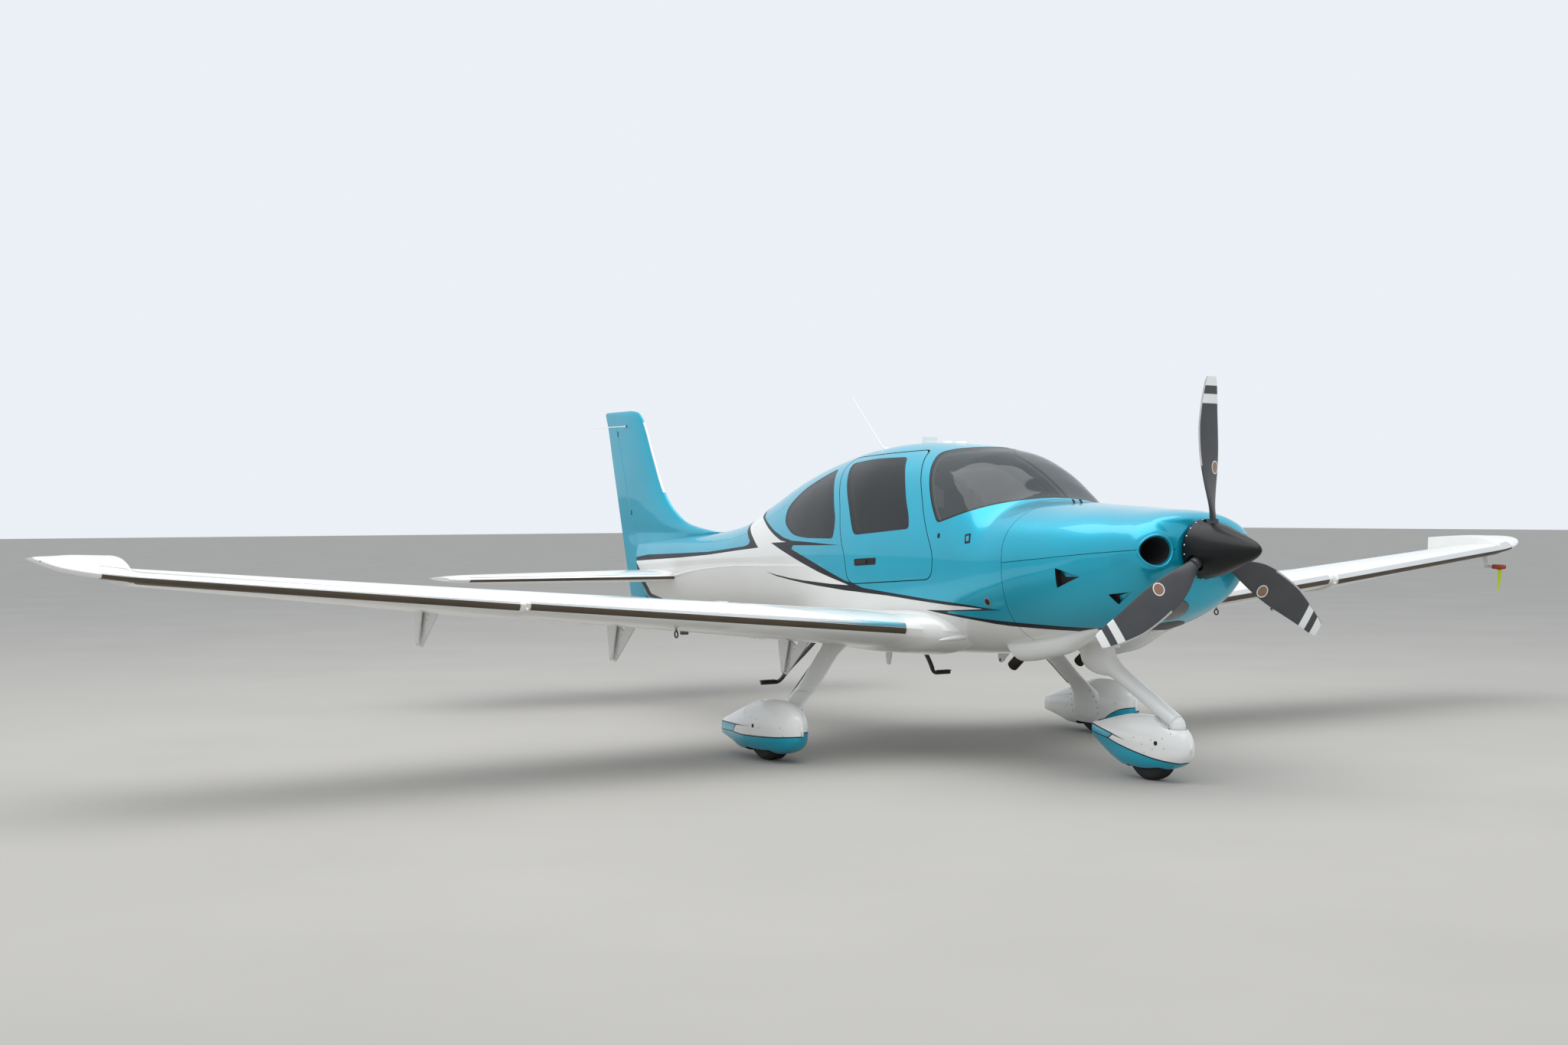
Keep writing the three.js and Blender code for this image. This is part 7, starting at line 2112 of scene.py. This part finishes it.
frames = Geo()
for side, x in (("right", -282), ("left", 282)):
    node = "front_seat_" + side
    cushion("seat_base_" + side, (215, 240, 52), (x, 2735, 1062), 4, node, LEATHER, ((0, -120), (0, 120), (1, 70)))
    cushion("seat_back_" + side, (205, 262, 46), (x, 3036, 1340), 80, None, LEATHER, ((0, -110), (0, 110), (1, 90)))
    cushion("headrest_" + side, (118, 72, 40), (x, 3098, 1665), 84, None, LEATHER)
    # hard shell and plinth
    prof = rounded([(2470, 985, 20), (2940, 962, 40), (3010, 1010, 60), (3150, 1590, 40), (3128, 1610, 12), (3085, 1590, 12), (2955, 1045, 40), (2480, 1030, 14)], steps=5)
    plate(prof, x - 208, x + 208, frames, 0, "x")
    slab((120, 160, 90), (x, 2730, 892), 18, geo=frames, mat=0)
    for dx in (-150, 150):
        slab((12, 250, 9), (x + dx, 2740, 812), 4, geo=frames, mat=1)
    for dx in (-50, 50):
        rod([(x + dx, 3100, 1560, 6), (x + dx, 3112, 1640, 6)], 10, (1, 0, 0), frames, 1)
cushion("rear_bench_base", (400, 225, 50), (0, 3545, 1062), 4, "rear_seat", LEATHER, ((0, -130), (0, 130)))
cushion("rear_bench_back_right", (192, 260, 44), (-202, 3838, 1335), 80, None, LEATHER, ((0, -100), (0, 100)))
cushion("rear_bench_back_left", (192, 260, 44), (202, 3838, 1335), 80, None, LEATHER, ((0, -100), (0, 100)))
prof = rounded([(3290, 985, 20), (3740, 962, 40), (3815, 1010, 60), (3950, 1590, 40), (3930, 1610, 12), (3890, 1590, 12), (3765, 1045, 40), (3300, 1030, 14)], steps=5)
plate(prof, -396, 396, frames, 0, "x")
slab((330, 160, 90), (0, 3540, 892), 18, geo=frames, mat=0)
frames.make("seat_frames", [TRIM, METAL], "airframe", (), "interior_plastic", angle=40)

# door furniture inside: an arm rest and a pull
for side, q in (("right", -1), ("left", 1)):
    g = Geo()
    out = rounded([(2420, 1180, 30), (2980, 1160, 30), (2990, 1235, 30), (2430, 1262, 30)], steps=6)
    shell_geo = Geo()
    d0 = 36
    poly = FUS.flat(dense(out, 10))
    V, Tt = triangulate([], [(poly, True)])
    c = V[Tt].mean(1)
    Tt = Tt[within(poly, c[:, 0], c[:, 1])]
    sa2 = np.column_stack([FUS.S(V[:, 0]), V[:, 1] / FUS.k])
    P = FUS.P(sa2[:, 0], sa2[:, 1])
    N = FUS.N(P)
    A, B = P - N * 35, P - N * 78
    E = np.concatenate([Tt[:, [0, 1]], Tt[:, [1, 2]], Tt[:, [2, 0]]])
    n = len(P)
    b = E[~np.isin(E[:, 0] * n + E[:, 1], E[:, 1] * n + E[:, 0])]
    f = np.array([q, 1, 1.0])
    o = slice(None, None, 1 if q > 0 else -1)
    g.add(np.concatenate([A, B]) * f, [(Tt[:, ::-1] + n)[:, o], np.stack([b[:, 1], b[:, 0], b[:, 0] + n, b[:, 1] + n], -1)[:, o]], 0)
    p0, _ = fus_point(2560, 1330, q, -36)
    p1, _ = fus_point(2560, 1330, q, -66)
    p2, _ = fus_point(2760, 1318, q, -66)
    p3, _ = fus_point(2760, 1318, q, -36)
    rod(smooth_path([(*p0, 9), (*p1, 9), (*((p1 + p2) / 2), 10), (*p2, 9), (*p3, 9)], 26), 14, (0, 0, 1), g, 1)
    g.make("door_furniture_" + side, [TRIM, METAL], "door_" + side, (), "interior_plastic", angle=50)

# ------------------------------------------------------------------------------------------------ floor, light, camera
floor_mat = material("floor", (0.40, 0.385, 0.36), rough=0.85, var=0.03, scale=0.6, rvar=0.05, bump=0.05, bscale=30)
fm = bpy.data.meshes.new("floor")
n, half = 8, 120.0
fm.from_pydata([(-half, -half, 0), (half, -half, 0), (half, half, 0), (-half, half, 0)], [], [(0, 1, 2, 3)])
fm.materials.append(floor_mat)
floor = bpy.data.objects.new("floor", fm)
bpy.context.scene.collection.objects.link(floor)

w = bpy.data.worlds.new("studio")
w.use_nodes = True
w.node_tree.nodes["Background"].inputs[0].default_value = (0.90, 0.95, 1.0, 1)
w.node_tree.nodes["Background"].inputs[1].default_value = 0.92
bpy.context.scene.world = w


def area(name, at, aim, size, power, colour=(1, 1, 1)):
    l = bpy.data.lights.new(name, "AREA")
    l.shape = "RECTANGLE"
    l.size, l.size_y = size
    l.energy = power
    l.color = colour
    o = bpy.data.objects.new(name, l)
    o.location = at
    o.rotation_mode = "QUATERNION"
    o.rotation_quaternion = (Vector(aim) - Vector(at)).to_track_quat("-Z", "Y")
    bpy.context.scene.collection.objects.link(o)


area("sky", (-2, -2, 12), (0, 0, 0), (16, 16), 1500, (1.0, 0.985, 0.96))

cam = bpy.data.cameras.new("camera")
cam.sensor_width = 36
cam.lens = 44.524
cam.clip_start, cam.clip_end = 0.05, 500
co = bpy.data.objects.new("camera", cam)
yaw, pitch, roll = math.radians(32.083), math.radians(-0.320), math.radians(-0.196)
F = Vector((math.sin(yaw) * math.cos(pitch), math.cos(yaw) * math.cos(pitch), math.sin(pitch)))
Rv = Vector((math.cos(yaw), -math.sin(yaw), 0))
Uv = Rv.cross(F)
R2 = Rv * math.cos(roll) + Uv * math.sin(roll)
U2 = Uv * math.cos(roll) - Rv * math.sin(roll)
m3 = Matrix((R2, U2, -F)).transposed()
co.matrix_world = Matrix.Translation((-7.870, -11.587, 1.578)) @ m3.to_4x4()
bpy.context.scene.collection.objects.link(co)
bpy.context.scene.camera = co

vs = bpy.context.scene.view_settings
vs.view_transform = "Standard"
vs.look = "None"
vs.exposure = 0.0
